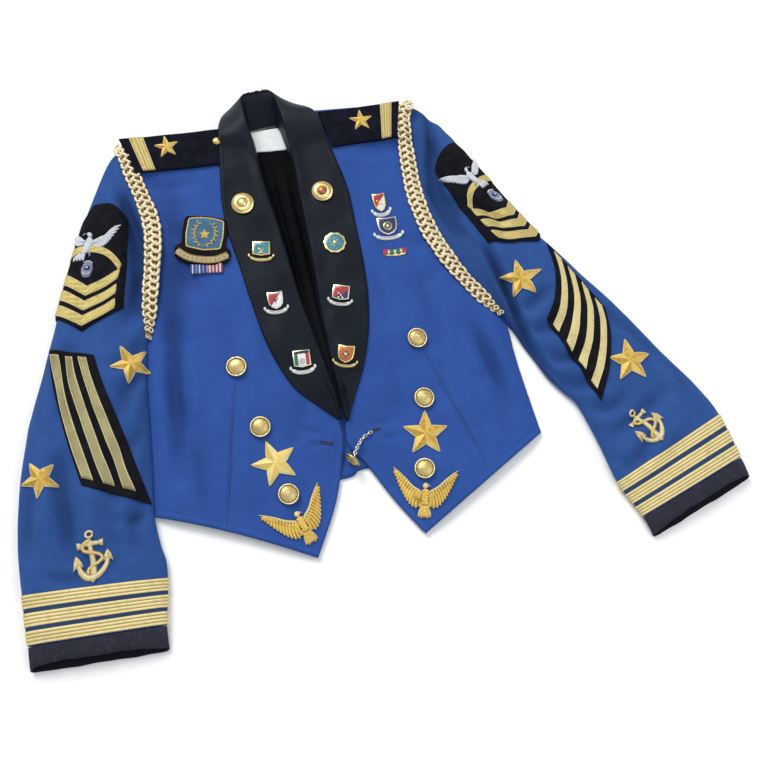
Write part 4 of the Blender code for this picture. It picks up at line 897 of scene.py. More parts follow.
class Value:
    """A shader socket that adds its Math nodes when it is used in an expression."""

    def __init__(self, look, socket):
        self.look = look
        self.socket = socket

    def __add__(self, other):
        return self.look.math("ADD", self, other)

    def __radd__(self, other):
        return self.look.math("ADD", other, self)

    def __sub__(self, other):
        return self.look.math("SUBTRACT", self, other)

    def __rsub__(self, other):
        return self.look.math("SUBTRACT", other, self)

    def __mul__(self, other):
        return self.look.math("MULTIPLY", self, other)

    def __rmul__(self, other):
        return self.look.math("MULTIPLY", other, self)

    def __abs__(self):
        return self.look.math("ABSOLUTE", self, 0.0)


class Look:
    """A finish being made: its material and the one method that adds a node to it."""

    def __init__(self, name, constants):
        self.material = bpy.data.materials.new(name)
        self.material.use_nodes = True
        self.tree = self.material.node_tree
        self.shader = self.tree.nodes["Principled BSDF"]
        for socket, value in constants.items():
            self.shader.inputs[socket].default_value = value

    def node(self, kind, settings=None, inputs=None, output=0):
        """Adds a node and gives one of its outputs as a value."""
        made = self.tree.nodes.new(kind)
        for name, value in (settings or {}).items():
            if name == "stops":
                ramp = made.color_ramp
                while len(ramp.elements) > 1:
                    ramp.elements.remove(ramp.elements[-1])
                ramp.elements[0].position, ramp.elements[0].color = value[0]
                for place, colour in value[1:]:
                    ramp.elements.new(place).color = colour
            elif name == "steps":
                made.color_ramp.interpolation = value
            else:
                setattr(made, name, value)
        for key, value in (inputs or {}).items():
            if isinstance(value, Value):
                self.tree.links.new(value.socket, made.inputs[key])
            else:
                made.inputs[key].default_value = value
        return Value(self, made.outputs[output])

    def math(self, operation, first, second):
        """One step of arithmetic."""
        return self.node("ShaderNodeMath", {"operation": operation}, {0: first, 1: second})

    def blend(self, factor, first, second):
        """A mix of two colours."""
        return self.node("ShaderNodeMix", {"data_type": "RGBA"}, {0: factor, 6: first, 7: second}, 2)

    def between(self, value, low, high):
        """0 below the low value and 1 above the high one, with a soft run between."""
        return self.node(
            "ShaderNodeMapRange", {"interpolation_type": "SMOOTHSTEP"}, {0: value, 1: low, 2: high}
        )

    def cloth(self):
        """The piece's own cloth coordinates, in metres."""
        return self.node("ShaderNodeUVMap", {"uv_map": "Cloth"})

    def solid(self):
        """The place in the model, in metres."""
        return self.node("ShaderNodeTexCoord", {}, {}, 3)

    def parts(self, vector):
        """The three parts of a vector."""
        return [self.node("ShaderNodeSeparateXYZ", {}, {0: vector}, axis) for axis in range(3)]

    def noise(self, vector, size, detail, roughness):
        """Soft noise with features of about this size in millimetres."""
        inputs = {"Vector": vector, "Scale": 1000.0 / size, "Detail": detail, "Roughness": roughness}
        return self.node("ShaderNodeTexNoise", {}, inputs)

    def lines(self, coordinate, pitch):
        """Rises and falls between 0 and 1 once every pitch in millimetres."""
        return self.math("SINE", coordinate * (2 * math.pi * 1000 / pitch), 0.0) * 0.5 + 0.5

    def stretched(self, vector, along, across):
        """Coordinates scaled apart in two directions."""
        return self.node(
            "ShaderNodeVectorMath", {"operation": "MULTIPLY"}, {0: vector, 1: (along, across, 1.0)}
        )

    def bump(self, height, distance, strength, under=None):
        """A normal raised by a height, its depth in millimetres."""
        inputs = {"Height": height, "Distance": distance * MM, "Strength": strength}
        if under is not None:
            inputs["Normal"] = under
        return self.node("ShaderNodeBump", {}, inputs)

    def finish(self, **fed):
        """Feeds the shader and gives the finished material."""
        names = {"colour": "Base Color", "rough": "Roughness", "metal": "Metallic", "normal": "Normal"}
        for name, value in fed.items():
            socket = self.shader.inputs[names[name]]
            if isinstance(value, Value):
                self.tree.links.new(value.socket, socket)
            else:
                socket.default_value = value
        return self.material


def scaled(colour, share):
    """A colour made brighter or darker."""
    return (*[min(1.0, value * share) for value in colour[:3]], 1.0)


def wool(name, colour, dark, tint):
    """Fine wool twill with a soft nap, a slightly uneven dye and painted shade in its folds."""
    look = Look(
        name, {"Sheen Weight": 0.16, "Sheen Roughness": 0.42, "Sheen Tint": tint, "Specular IOR Level": 0.14}
    )
    cloth = look.cloth()
    u, v, _ = look.parts(cloth)
    twill = look.lines(u + v, 0.85)
    yarn = look.lines(u - v * 0.35, 0.6)
    fibre = look.noise(look.stretched(cloth, 1.0, 2.6), 1.5, 3.0, 0.65)
    cloud = look.noise(look.solid(), 46.0, 3.0, 0.55)
    patch = look.noise(look.solid(), 9.0, 2.0, 0.5)
    shade = look.between(cloud * 0.3 + patch * 0.2 + fibre * 0.6, 0.34, 0.74)
    hue = look.blend(shade, dark, colour)
    hue = look.blend(twill * 0.14, hue, scaled(dark, 0.7))
    fuzz = look.between(look.noise(cloth, 0.75, 2.0, 0.7), 0.60, 0.80)
    hue = look.blend(fuzz * 0.14, hue, scaled(colour, 1.6))
    # Painted shade: the colour is darkened where the cloth's shade attribute says it lies deep in a fold or
    # turns from the light
    depth = look.between(look.node("ShaderNodeAttribute", {"attribute_name": "shade"}, {}, 2), 0.0, 1.0)
    hue = look.blend(depth * 0.72, hue, scaled(dark, 0.45))
    height = twill * 0.5 + yarn * 0.2 + fibre * 0.8
    ripple = look.noise(look.solid(), 14.0, 2.0, 0.5)
    normal = look.bump(ripple, 1.1, 0.32)
    normal = look.bump(height, 0.16, 0.55, normal)
    return look.finish(colour=hue, rough=0.72 + 0.14 * fibre, normal=normal)


def satin(name):
    """Black facing silk with a fine slanting grain and a low sheen."""
    look = Look(
        name,
        {
            "Sheen Weight": 0.02, "Sheen Roughness": 0.35, "Sheen Tint": tone(110, 135, 170),
            "Specular IOR Level": 0.11, "Anisotropic": 0.35
        }
    )
    cloth = look.cloth()
    u, v, _ = look.parts(cloth)
    grain = look.lines(u * 0.8 + v, 0.9)
    slub = look.noise(look.stretched(cloth, 1.0, 7.0), 6.0, 3.0, 0.6)
    cloud = look.noise(look.solid(), 30.0, 3.0, 0.55)
    colour = look.blend(look.between(cloud * 0.6 + slub * 0.5, 0.35, 0.8), tone(11, 15, 21), tone(25, 31, 40))
    colour = look.blend(grain * 0.22, colour, tone(36, 44, 55))
    lint = look.between(look.noise(cloth, 1.1, 2.0, 0.8), 0.74, 0.80)
    colour = look.blend(lint * 0.25, colour, tone(120, 124, 132))
    normal = look.bump(look.noise(look.solid(), 20.0, 2.0, 0.5), 1.0, 0.25)
    normal = look.bump(grain * 0.6 + slub, 0.10, 0.5, normal)
    return look.finish(colour=colour, rough=0.40 + 0.16 * slub, normal=normal)


def felt(name, colour, dark):
    """Close black melton: matte, slightly fibrous, with a little lint."""
    look = Look(
        name,
        {
            "Sheen Weight": 0.05, "Sheen Roughness": 0.5, "Sheen Tint": tone(110, 115, 140),
            "Specular IOR Level": 0.07
        }
    )
    cloth = look.cloth()
    fibre = look.noise(cloth, 1.0, 4.0, 0.75)
    cloud = look.noise(look.solid(), 12.0, 3.0, 0.6)
    hue = look.blend(look.between(cloud * 0.5 + fibre * 0.6, 0.35, 0.8), dark, colour)
    lint = look.between(look.noise(cloth, 0.9, 2.0, 0.85), 0.70, 0.78)
    hue = look.blend(lint * 0.35, hue, tone(96, 98, 116))
    normal = look.bump(fibre + cloud * 0.6, 0.35, 0.6)
    return look.finish(colour=hue, rough=0.88 + 0.08 * fibre, normal=normal)


def grosgrain(name):
    """Black ribbed binding, its ribs running off the sleeve."""
    look = Look(
        name,
        {
            "Sheen Weight": 0.05, "Sheen Roughness": 0.4, "Sheen Tint": tone(120, 125, 150),
            "Specular IOR Level": 0.14
        }
    )
    cloth = look.cloth()
    u, v, _ = look.parts(cloth)
    rib = look.lines(u, 2.1)
    thread = look.lines(v, 0.7)
    worn = look.noise(look.solid(), 7.0, 4.0, 0.65)
    colour = look.blend(look.between(rib, 0.1, 0.9), tone(35, 36, 46), tone(52, 53, 66))
    colour = look.blend(look.between(worn, 0.5, 0.8) * 0.45, colour, tone(82, 83, 100))
    normal = look.bump(look.noise(look.solid(), 12.0, 2.0, 0.5), 1.0, 0.3)
    normal = look.bump(rib + thread * 0.2 + worn * 0.3, 0.45, 0.8, normal)
    return look.finish(colour=colour, rough=0.62 + 0.15 * worn, normal=normal)


def lining(name):
    """Soft black body lining that falls in long folds."""
    look = Look(name, {"Specular IOR Level": 0.05})
    cloth = look.cloth()
    weave = look.noise(look.stretched(cloth, 6.0, 1.0), 4.0, 3.0, 0.6)
    cloud = look.noise(look.solid(), 24.0, 2.0, 0.5)
    colour = look.blend(look.between(cloud * 0.6 + weave * 0.4, 0.35, 0.75), tone(5, 5, 8), tone(14, 14, 19))
    # Painted light: the lining is made lighter towards the waist
    up = look.parts(look.solid())[1]
    colour = look.blend((1 - look.between(up, -0.02, 0.13)) * 0.7, colour, tone(31, 31, 40))
    normal = look.bump(cloud, 1.5, 0.35)
    normal = look.bump(weave, 0.12, 0.5, normal)
    return look.finish(colour=colour, rough=0.6 + 0.15 * weave, normal=normal)


def label_cloth(name):
    """Blank woven label: a fine damask with a turned edge and faint rubbing."""
    look = Look(name, {"Sheen Weight": 0.5, "Specular IOR Level": 0.4})
    cloth = look.cloth()
    u, v, _ = look.parts(cloth)
    weave = look.lines(u, 0.55) * look.lines(v, 0.7)
    cloud = look.noise(look.solid(), 9.0, 3.0, 0.6)
    colour = look.blend(look.between(cloud, 0.35, 0.75), tone(238, 243, 243), tone(250, 252, 251))
    colour = look.blend(weave * 0.14, colour, tone(206, 214, 222))
    normal = look.bump(weave + cloud, 0.15, 0.6)
    return look.finish(colour=colour, rough=0.55 + 0.15 * cloud, normal=normal)


def metal_thread(name, bright, dark, pitch, turn, metallic, rough=0.36):
    """Wound or laid metal thread: close bright strands with dark gaps, a little tarnish and painted glints.
    """
    look = Look(name, {"Specular IOR Level": 0.5, "Specular Tint": bright})
    cloth = look.cloth()
    u, v, _ = look.parts(cloth)
    strand = look.lines(u * math.cos(turn) + v * math.sin(turn), pitch)
    twisted = look.lines(u + v * 1.6, pitch * 1.7)
    tarnish = look.noise(look.solid(), 5.0, 3.0, 0.65)
    painted_glint = look.noise(cloth, 1.3, 2.0, 0.8)
    body = look.between(strand * 0.7 + twisted * 0.3, 0.12, 0.8)
    colour = look.blend(body, dark, bright)
    colour = look.blend(look.between(tarnish, 0.48, 0.78) * 0.5, colour, dark)
    # Painted glints: specks lightened past the bright colour as highlights
    colour = look.blend(look.between(painted_glint, 0.6, 0.75) * 0.45, colour, scaled(bright, 1.35))
    normal = look.bump(strand * 0.7 + twisted * 0.4 + painted_glint * 0.3, 0.28, 0.85)
    return look.finish(colour=colour, rough=rough + 0.25 * tarnish, metal=metallic, normal=normal)


def laid_braid(name, width, ridges):
    """Flat gold braid woven in rounded ridges with darker grooves between them, and painted glints."""
    look = Look(name, {"Specular IOR Level": 0.5, "Specular Tint": tone(240, 220, 150)})
    cloth = look.cloth()
    u, v, _ = look.parts(cloth)
    rib = abs(look.math("SINE", v * (math.pi * ridges * 1000 / width), 0.0))
    chevron = look.lines(u + rib * 0.0009, 1.15)
    tarnish = look.noise(look.solid(), 7.0, 3.0, 0.6)
    painted_glint = look.noise(look.stretched(cloth, 1.0, 3.0), 2.0, 2.0, 0.8)
    colour = look.blend(look.between(rib, 0.18, 0.72), tone(148, 120, 60), tone(240, 226, 168))
    colour = look.blend(chevron * 0.3, colour, tone(186, 158, 92))
    colour = look.blend(look.between(tarnish, 0.45, 0.8) * 0.45, colour, tone(176, 147, 80))
    # Painted glints: streaks lightened towards white gold as highlights
    colour = look.blend(look.between(painted_glint, 0.56, 0.70) * 0.5, colour, tone(252, 244, 208))
    normal = look.bump(rib + chevron * 0.45 + painted_glint * 0.35, 0.4, 0.8)
    return look.finish(colour=colour, rough=0.42 + 0.2 * tarnish, metal=0.2, normal=normal)


def hard_metal(name, bright, dark, rough=0.26, pits=0.2):
    """Cast and gilt metal: bright on its worn high places and dark where tarnish has gathered."""
    look = Look(name, {"Specular Tint": bright})
    solid = look.solid()
    tarnish = look.noise(solid, 2.6, 4.0, 0.7)
    grain = look.noise(solid, 0.6, 2.0, 0.6)
    hollow = look.between(look.node("ShaderNodeNewGeometry", {}, {}, 7), 0.44, 0.54)
    body = look.between(hollow * 0.75 + tarnish * 0.45, 0.35, 0.85)
    colour = look.blend(body, dark, bright)
    normal = look.bump(grain + tarnish, pits, 0.5)
    return look.finish(colour=colour, rough=rough + 0.35 * (1 - body) + 0.1 * grain, metal=0.9, normal=normal)


def enamel(name, colour, speck):
    """Fired enamel under a clear coat, with a slightly uneven depth of colour."""
    look = Look(name, {"Coat Weight": 0.3, "Coat Roughness": 0.12, "Specular IOR Level": 0.5})
    depth = look.noise(look.solid(), 3.0, 3.0, 0.6)
    hue = look.blend(look.between(depth, 0.35, 0.7), colour, speck)
    normal = look.bump(depth, 0.12, 0.4)
    return look.finish(colour=hue, rough=0.22 + 0.15 * depth, normal=normal)


def thread(name, colour, dark):
    """Embroidery cotton laid in close satin stitches."""
    look = Look(name, {"Sheen Weight": 0.3, "Specular IOR Level": 0.35})
    u, v, _ = look.parts(look.cloth())
    strand = look.lines(u + v * 0.3, 0.75)
    shade = look.noise(look.solid(), 3.0, 3.0, 0.6)
    hue = look.blend(look.between(strand * 0.6 + shade * 0.6, 0.3, 0.95), dark, colour)
    normal = look.bump(strand + shade * 0.3, 0.2, 0.7)
    return look.finish(colour=hue, rough=0.6 + 0.1 * shade, normal=normal)


def ribbon(name):
    """Two short lengths of striped ribbon side by side: blue with white, then red with white."""
    look = Look(name, {"Sheen Weight": 0.25, "Specular IOR Level": 0.25})
    u, v, _ = look.parts(look.cloth())
    share = look.node("ShaderNodeMapRange", {}, {0: u, 1: -0.0185, 2: 0.0185})
    white, blue, sky, red = tone(212, 216, 226), tone(48, 62, 132), tone(120, 140, 190), tone(176, 52, 62)
    stops = [(0.0, blue), (0.06, white), (0.10, blue), (0.17, sky), (0.22, blue), (0.27, white), (0.31, blue),
             (0.38, sky), (0.43, blue), (0.49, white), (0.53, red), (0.58, white), (0.63, red), (0.69, white),
             (0.73, red), (0.80, white), (0.84, red), (0.90, white), (0.95, red)]
    colour = look.node("ShaderNodeValToRGB", {"stops": stops, "steps": "CONSTANT"}, {0: share})
    rib = look.lines(v, 0.8)
    fibre = look.noise(look.solid(), 1.2, 3.0, 0.7)
    colour = look.blend(rib * 0.2 + fibre * 0.15, colour, tone(60, 60, 80))
    return look.finish(colour=colour, rough=0.75, normal=look.bump(rib + fibre, 0.2, 0.7))


def floor_paper(name):
    """Nearly white paper with a faint mottle."""
    look = Look(name, {"Specular IOR Level": 0.15})
    mottle = look.noise(look.solid(), 60.0, 2.0, 0.5)
    colour = look.blend(mottle, tone(249, 249, 249), tone(253, 253, 253))
    return look.finish(colour=colour, rough=0.9)


# Each finish: what makes it and what that is given, with colours in screen values or by their property's name
FINISHES = {
    "Wool_body": (wool, "wool", "wool_shadow", (140, 170, 235)),
    "Wool_sleeve": (wool, "sleeve", "sleeve_shadow", (150, 190, 235)),
    "Wool_shaded": (wool, (46, 70, 110), (38, 58, 94), (110, 140, 190)),
    "Facing_silk": (satin,),
    "Melton_black": (felt, (30, 30, 36), (12, 12, 16)),
    "Melton_board": (felt, (26, 28, 42), (8, 9, 16)),
    "Grosgrain_black": (grosgrain,),
    "Lining_black": (lining,),
    "Label_white": (label_cloth,),
    "Band_gold": (laid_braid, BRAID_BAND, 4),
    "Bullion_gold": (metal_thread, "gold", "gold_shadow", 0.95, 1.35, 0.3),
    "Bullion_dark": (metal_thread, (224, 186, 92), (162, 122, 50), 0.95, 1.1, 0.3),
    "Bullion_straw": (metal_thread, (250, 236, 164), (220, 196, 118), 0.95, 1.35, 0.2),
    "Bullion_yellow": (metal_thread, (248, 218, 122), (192, 150, 66), 0.95, 1.35, 0.3),
    "Bullion_pale": (metal_thread, (248, 238, 196), (190, 164, 102), 0.95, 0.5, 0.2),
    "Lace_gold": (metal_thread, (226, 210, 136), (140, 118, 58), 1.2, 0.8, 0.25),
    "Lace_board": (metal_thread, (208, 188, 114), (134, 110, 56), 1.2, 0.8, 0.25),
    "Lace_bright": (metal_thread, (240, 230, 172), (166, 144, 88), 1.2, 0.8, 0.25),
    "Lace_pale": (metal_thread, (186, 178, 134), (100, 92, 60), 1.1, 0.8, 0.45),
    "Cord_silver_gold": (metal_thread, (255, 247, 220), (200, 172, 114), 1.5, 0.6, 0.25, 0.3),
    "Cord_shadow": (felt, (186, 158, 104), (122, 98, 56)),
    "Brass_old": (hard_metal, (208, 186, 122), (118, 96, 56), 0.36),
    "Brass_rim": (hard_metal, (240, 226, 184), (150, 124, 74), 0.3),
    "Gilt": (hard_metal, (238, 214, 148), (122, 92, 44), 0.22, 0.1),
    "Copper": (hard_metal, (178, 112, 78), (84, 48, 30), 0.34, 0.1),
    "Steel_link": (hard_metal, (226, 220, 200), (110, 96, 66), 0.22, 0.08),
    "Enamel_teal": (enamel, (44, 112, 124), (66, 136, 144)),
    "Enamel_slate": (felt, (86, 122, 148), (60, 94, 122)),
    "Enamel_red": (enamel, (150, 34, 38), (176, 52, 50)),
    "Enamel_green": (enamel, (26, 92, 66), (40, 112, 82)),
    "Enamel_navy": (enamel, (24, 34, 74), (36, 48, 92)),
    "Enamel_white": (enamel, (212, 214, 212), (232, 232, 226)),
    "Enamel_black": (enamel, (16, 17, 20), (30, 31, 36)),
    "Thread_white": (thread, (238, 240, 244), (160, 166, 178)),
    "Thread_grey": (thread, (150, 160, 178), (88, 96, 116)),
    "Thread_blue": (thread, (30, 56, 132), (14, 28, 76)),
    "Thread_dark": (thread, (20, 26, 58), (8, 10, 26)),
    "Thread_beige": (thread, (206, 192, 150), (132, 116, 78)),
    "Ribbon_striped": (ribbon,),
    "Floor": (floor_paper,),
}


def finish_named(name):
    """The material of that name, made when it is first asked for."""
    made = bpy.data.materials.get(name)
    if made:
        return made
    maker, *values = FINISHES[name]
    colours = bpy.context.scene.jacket_colours
    for i, value in enumerate(values):
        if isinstance(value, str):
            values[i] = (*getattr(colours, value), 1.0)
        elif isinstance(value, tuple):
            values[i] = tone(*value)
    return maker(name, *values)


# Cloth at rest: long soft folds as paths in the plan, how deep each one is and how far it reaches.
# A negative depth is a ridge.
FRONT_FOLDS = [
    ([(-240, 75), (-236, 10), (-229, -60), (-224, -125)], 3.2, 13),
    ([(-222, 40), (-213, -25), (-205, -90)], -1.6, 11),
    ([(-209, -40), (-203, -95), (-198, -160)], 1.9, 10),
    ([(-247, 130), (-226, 118), (-196, 96)], 1.1, 12),
    ([(-250, 182), (-224, 170), (-205, 190)], 0.8, 10),
    ([(-190, 80), (-178, 30), (-172, -8)], 1.0, 13),
    ([(-134, 96), (-137, 40), (-124, -10)], 0.9, 10),
    ([(-95, -2), (-92, -40), (-104, -82)], 1.0, 9),
    ([(-96, -54), (-82, -60), (-69, -66)], 0.8, 4),
    ([(-92, -82), (-80, -76), (-66, -72)], 0.6, 4),
    ([(-160, -60), (-152, -110), (-150, -150)], -0.9, 10),
    ([(-88, -110), (-96, -140), (-108, -172)], 0.8, 9),
    ([(-236, -20), (-214, -52), (-205, -86)], 0.8, 9),
    ([(30, 150), (44, 110), (56, 66), (62, 30)], 1.3, 13),
    ([(98, 72), (120, 30), (140, -10), (152, -36)], 2.4, 12),
    ([(78, 96), (98, 52), (116, 12)], -1.2, 11),
    ([(124, -8), (134, -40), (150, -64)], 1.2, 9),
    ([(70, 150), (58, 128), (40, 120)], 0.9, 9),
    ([(58, 188), (44, 172), (24, 168)], 0.8, 9),
    ([(-20, 160), (-8, 110), (4, 60)], 1.0, 12),
    ([(8, 20), (14, -20), (20, -56)], 0.9, 9),
    ([(-20, -46), (-6, -50), (12, -44)], 0.6, 4),
    ([(-8, -64), (6, -66), (22, -60)], 0.6, 4),
    ([(70, -50), (66, -86), (64, -124)], -0.8, 9),
    ([(20, -92), (30, -120), (44, -150)], 0.7, 8),
    ([(36, 300), (10, 292), (-30, 286)], 0.9, 9),
    ([(-288, 232), (-254, 232), (-216, 240)], 0.9, 9),
]
DARTS = {
    "right": [(-168.5, -6), (-169.9, -61), (-170.2, -113), (-171.4, -168)],
    "left": [(44.3, 36), (60.8, 6), (78.1, -26), (101.5, -70), (114.8, -101)],
}
SLEEVE_FOLDS = {
    "right": [
        ([(-306, 222), (-290, 160), (-279, 90), (-276, 60)], 3.4, 9),
        ([(-312, 231), (-299, 198), (-283, 160), (-271, 117)], 2.4, 6),
        ([(-322, 232), (-306, 180), (-296, 120)], -1.6, 10),
        ([(-276, 130), (-286, 96), (-292, 52)], 2.0, 8),
        ([(-268, 44), (-284, 20), (-306, 6)], 2.2, 8),
        ([(-264, 14), (-284, -12), (-292, -50)], 2.4, 9),
        ([(-370, 60), (-376, 0), (-378, -60)], 2.0, 9),
        ([(-348, 40), (-356, -14), (-352, -66)], 2.0, 9),
        ([(-268, -60), (-286, -96), (-290, -150)], 2.0, 9),
        ([(-350, -84), (-346, -130), (-334, -176), (-330, -206)], 3.0, 10),
        ([(-372, -110), (-376, -160), (-370, -206)], 1.8, 9),
        ([(-318, -120), (-312, -160), (-318, -200)], -1.4, 10),
        ([(-262, -130), (-268, -168), (-262, -200)], 2.0, 9),
        ([(-296, -150), (-286, -180), (-282, -214)], 1.4, 8),
        ([(-360, -214), (-340, -222), (-312, -222)], 0.9, 6),
        ([(-252, -150), (-270, -160), (-290, -158)], 1.0, 6),
        ([(-380, -40), (-366, -66), (-350, -80)], 1.0, 7),
    ],
    "left": [
        ([(60, 312), (62, 262), (76, 214), (98, 176)], 3.2, 9),
        ([(84, 318), (84, 270), (92, 236)], -1.2, 10),
        ([(119, 173), (126, 159), (137, 132), (149, 104), (160, 70), (174, 38), (197, 4)], 4.4, 5),
        ([(57, 344), (60, 321), (62, 299), (66, 279)], 2.6, 6),
        ([(49, 248), (58, 237), (66, 221), (77, 208)], 2.2, 5),
        ([(104, 226), (124, 214), (150, 190)], 2.2, 7),
        ([(70, 236), (84, 222), (96, 200)], 2.4, 6),
        ([(112, 204), (140, 158), (158, 118)], -1.3, 8),
        ([(154, 84), (176, 96), (200, 120)], 2.2, 8),
        ([(166, 62), (196, 66), (226, 84)], 2.0, 8),
        ([(184, 34), (210, 28), (244, 40)], 2.2, 8),
        ([(196, 8), (224, -4), (252, 6)], 1.6, 8),
        ([(236, 120), (262, 88), (284, 60)], 1.4, 9),
        ([(266, 92), (300, 58), (330, 26)], 1.6, 9),
        ([(228, -28), (260, -30), (290, -12)], 1.9, 8),
        ([(256, -66), (284, -44), (312, -22), (330, -2)], 1.9, 9),
        ([(300, -90), (322, -66), (346, -40)], -1.2, 9),
        ([(274, -100), (292, -84), (306, -64)], 1.6, 8),
        ([(330, 30), (346, 4), (360, -20)], 1.3, 8),
        ([(250, -84), (268, -94), (284, -110)], 1.0, 6),
    ],
}
# The seam along each sleeve, with its depth and its reach
SLEEVE_SEAMS = {
    "right": ([(-268, 30), (-264, -20), (-258, -60), (-251, -112), (-246, -160)], 0.8, 2.4),
    "left": ([(89.5, 210), (121, 168), (143, 120), (160, 76), (176, 38), (199, 8), (212, -8)], 2.6, 2.2),
}

FRONT_SHAPE = (210, 132)
FRONT_STEPS = 700
# How strongly the folds of the fronts and of each sleeve are pressed in
FRONT_FOLD_DEPTH = 2.1
SLEEVE_FOLD_DEPTH = {"right": 2.4, "left": 2.7}
TROUGH_SHARE = 0.35
SLEEVE_COLUMNS = 104
SLEEVE_FINE = 8


def folded(grid, folds, shoulder=0.28):
    """How far each point of a grid is pressed down by the folds, with raised shoulders beside them."""
    low = np.zeros(grid.shape[:-1])
    for path, depth, reach in folds:
        line = smooth_path(path, 14)
        away = np.full(low.shape, 1e9)
        place = np.zeros(low.shape)
        for step in range(len(line) - 1):
            along, gap = from_run(grid, line[step], line[step + 1] - line[step])
            nearer = gap < away
            away = np.where(nearer, gap, away)
            place = np.where(nearer, (step + along) / (len(line) - 1), place)
        strength = np.sin(np.pi * np.clip(place, 0.0, 1.0)) ** 0.6
        near = bump(away, 0, reach) - shoulder * bump(away, 1.9 * reach, 0.9 * reach)
        low += depth * strength * near
    return low


# Places where the cloth turns away from the light, as paths with a strength and a reach
SHADED = {
    "front_right": [
        ([(-262, 250), (-248, 190), (-246, 120), (-254, 40)], 3.0, 20),
        ([(-236, 150), (-240, 90), (-236, 20)], 1.4, 18)
    ],
    "front_left": [([(96, 92), (110, 60), (128, 30), (146, 4)], 1.2, 14)],
    "sleeve_right": [
        ([(-300, 214), (-288, 170), (-277, 120), (-274, 70)], 3.0, 12),
        ([(-270, 10), (-268, -60), (-262, -130)], 1.8, 12)
    ],
    "sleeve_left": [],
}
# The seam of the left sleeve's under panel; beyond it the cloth gets more painted shade
UNDER_SEAM = [
    (212, -14), (199, 8), (176, 38), (160, 70), (149, 104), (137, 132), (126, 159), (106, 190), (84, 220),
    (74, 250), (66, 279), (62, 299), (60, 321), (57, 344)
]


# How deep a fold is, and how strongly the cloth turns away, where the shade is full
FULL_FOLD_SHADE = 3.6
FULL_TURNED_SHADE = 4.5


def note_shade(obj, folds, name):
    """Writes on a cloth how deep each place lies in its folds and in shade, for the painted shade in its
    colour.
    """
    mesh = obj.data
    places = np.empty(len(mesh.vertices) * 3, np.float32)
    mesh.vertices.foreach_get("co", places)
    places = places.reshape(-1, 3) / MM - SHIFT
    painted_fold_shade = np.maximum(folded(places, folds, 0.3), 0) / FULL_FOLD_SHADE
    shade = painted_fold_shade + np.maximum(folded(places, SHADED[name], 0.0), 0) / FULL_TURNED_SHADE
    # The under panel of the left sleeve, beyond its seam, gets more painted shade
    if name == "sleeve_left":
        seam = np.array(UNDER_SEAM)
        inside = np.interp(places[:, 1], seam[:, 1], seam[:, 0]) - places[:, 0]
        shade += 0.42 * eased(5.0, inside) * eased(12.0, places[:, 1] + 14)
    values = mesh.attributes.new("shade", "FLOAT", "POINT").data
    values.foreach_set("value", np.clip(shade, 0, 1).astype(np.float32))


def wander(grid, size, height, seed):
    """A low uneven swell over the cloth, from a few crossing waves."""
    random = np.random.default_rng(seed)
    total = np.zeros(grid.shape[:-1])
    for _ in range(7):
        angle = random.uniform(0, math.pi)
        pitch = size * random.uniform(0.7, 1.6)
        phase = random.uniform(0, 2 * math.pi)
        total += np.sin(
            (grid[..., 0] * math.cos(angle) + grid[..., 1] * math.sin(angle)) * 2 * math.pi / pitch + phase
        )
    return total * height / 2.6


def clustered(count, ends):
    """Even steps from 0 to 1 that crowd a little towards both ends."""
    steps = np.linspace(0, 1, count)
    return steps * (1 - ends) + ends * (0.5 - 0.5 * np.cos(np.pi * steps))


def seam_groove(grid, line, depth, reach):
    """A sharp stitched seam: the cloth dips along the line and puffs a little on both sides."""
    return folded(grid, [(line, depth, reach)], shoulder=0.45)


@lru_cache(maxsize=None)
def front_surface(side):
    """A front panel with its waist dart, folds and softly turned edges."""
    rows, columns = FRONT_SHAPE
    places = clustered(rows, 0.25) * (FRONT_STEPS - 1)
    lines = read_off(smooth_rows(FRONTS[side], FRONT_STEPS), np.arange(FRONT_STEPS), places)
    across = clustered(columns, 0.35)
    swell = profile_at(list(zip(ACROSS_FRONT, SWELL_ACROSS)), across)
    grid = lines[:, None, 0:3] + (lines[:, None, 3:6] - lines[:, None, 0:3]) * across[None, :, None]
    if side == "right":
        tucked = np.clip((110 - lines[:, 1:2]) / 60, 0, 1)
        grid[..., 0] -= 4.5 * tucked * (1 - across) ** 8
    grid[..., 2] += lines[:, 6:7] * swell
    down = places / (FRONT_STEPS - 1)
    grid[..., 1] += HEM_RISE[side] * down[:, None] ** 6 * np.sin(np.pi * across)
    low = FRONT_FOLD_DEPTH * folded(grid, FRONT_FOLDS)
    dart = DARTS[side]
    low += seam_groove(grid, dart, 1.0, 1.9)
    low += folded(grid, [(dart, 1.2, 9.0)], 0.2)
    low += wander(grid, 70, 0.5, 11 if side == "right" else 12) + wander(grid, 26, 0.12, 13)
    calm = eased(0.06, across)[None, :] * eased(0.05, 1 - across)[None, :] * eased(0.04, 1 - down)[:, None]
    grid[..., 2] -= low * (0.35 + 0.65 * calm)
    edge = np.linalg.norm(grid - grid[:, -1:], axis=-1)
    hem = np.linalg.norm(grid - grid[-1:], axis=-1)
    for away in (edge, hem):
        grid[..., 2] += 0.75 * bump(away, 3.2, 2.6) - 0.7 * bump(away, 0, 1.1) - 0.45 * bump(away, 7.6, 1.1)
    grid[..., 2] = np.maximum(grid[..., 2], CLOTH * 2 + GAP)
    return Surface(grid)


def armhole_line(table, across):
    """The front's armhole edge, read off at the given fractions of its length."""
    rows = smooth_rows(table, FRONT_ROWS)
    underarm = int(np.argmax(rows[:, 2] < 4.6))
    line = rows[: underarm + 1, :3]
    lengths = run_lengths(line[:, :2])
    return read_off(line, lengths, np.asarray(across) * lengths[-1])


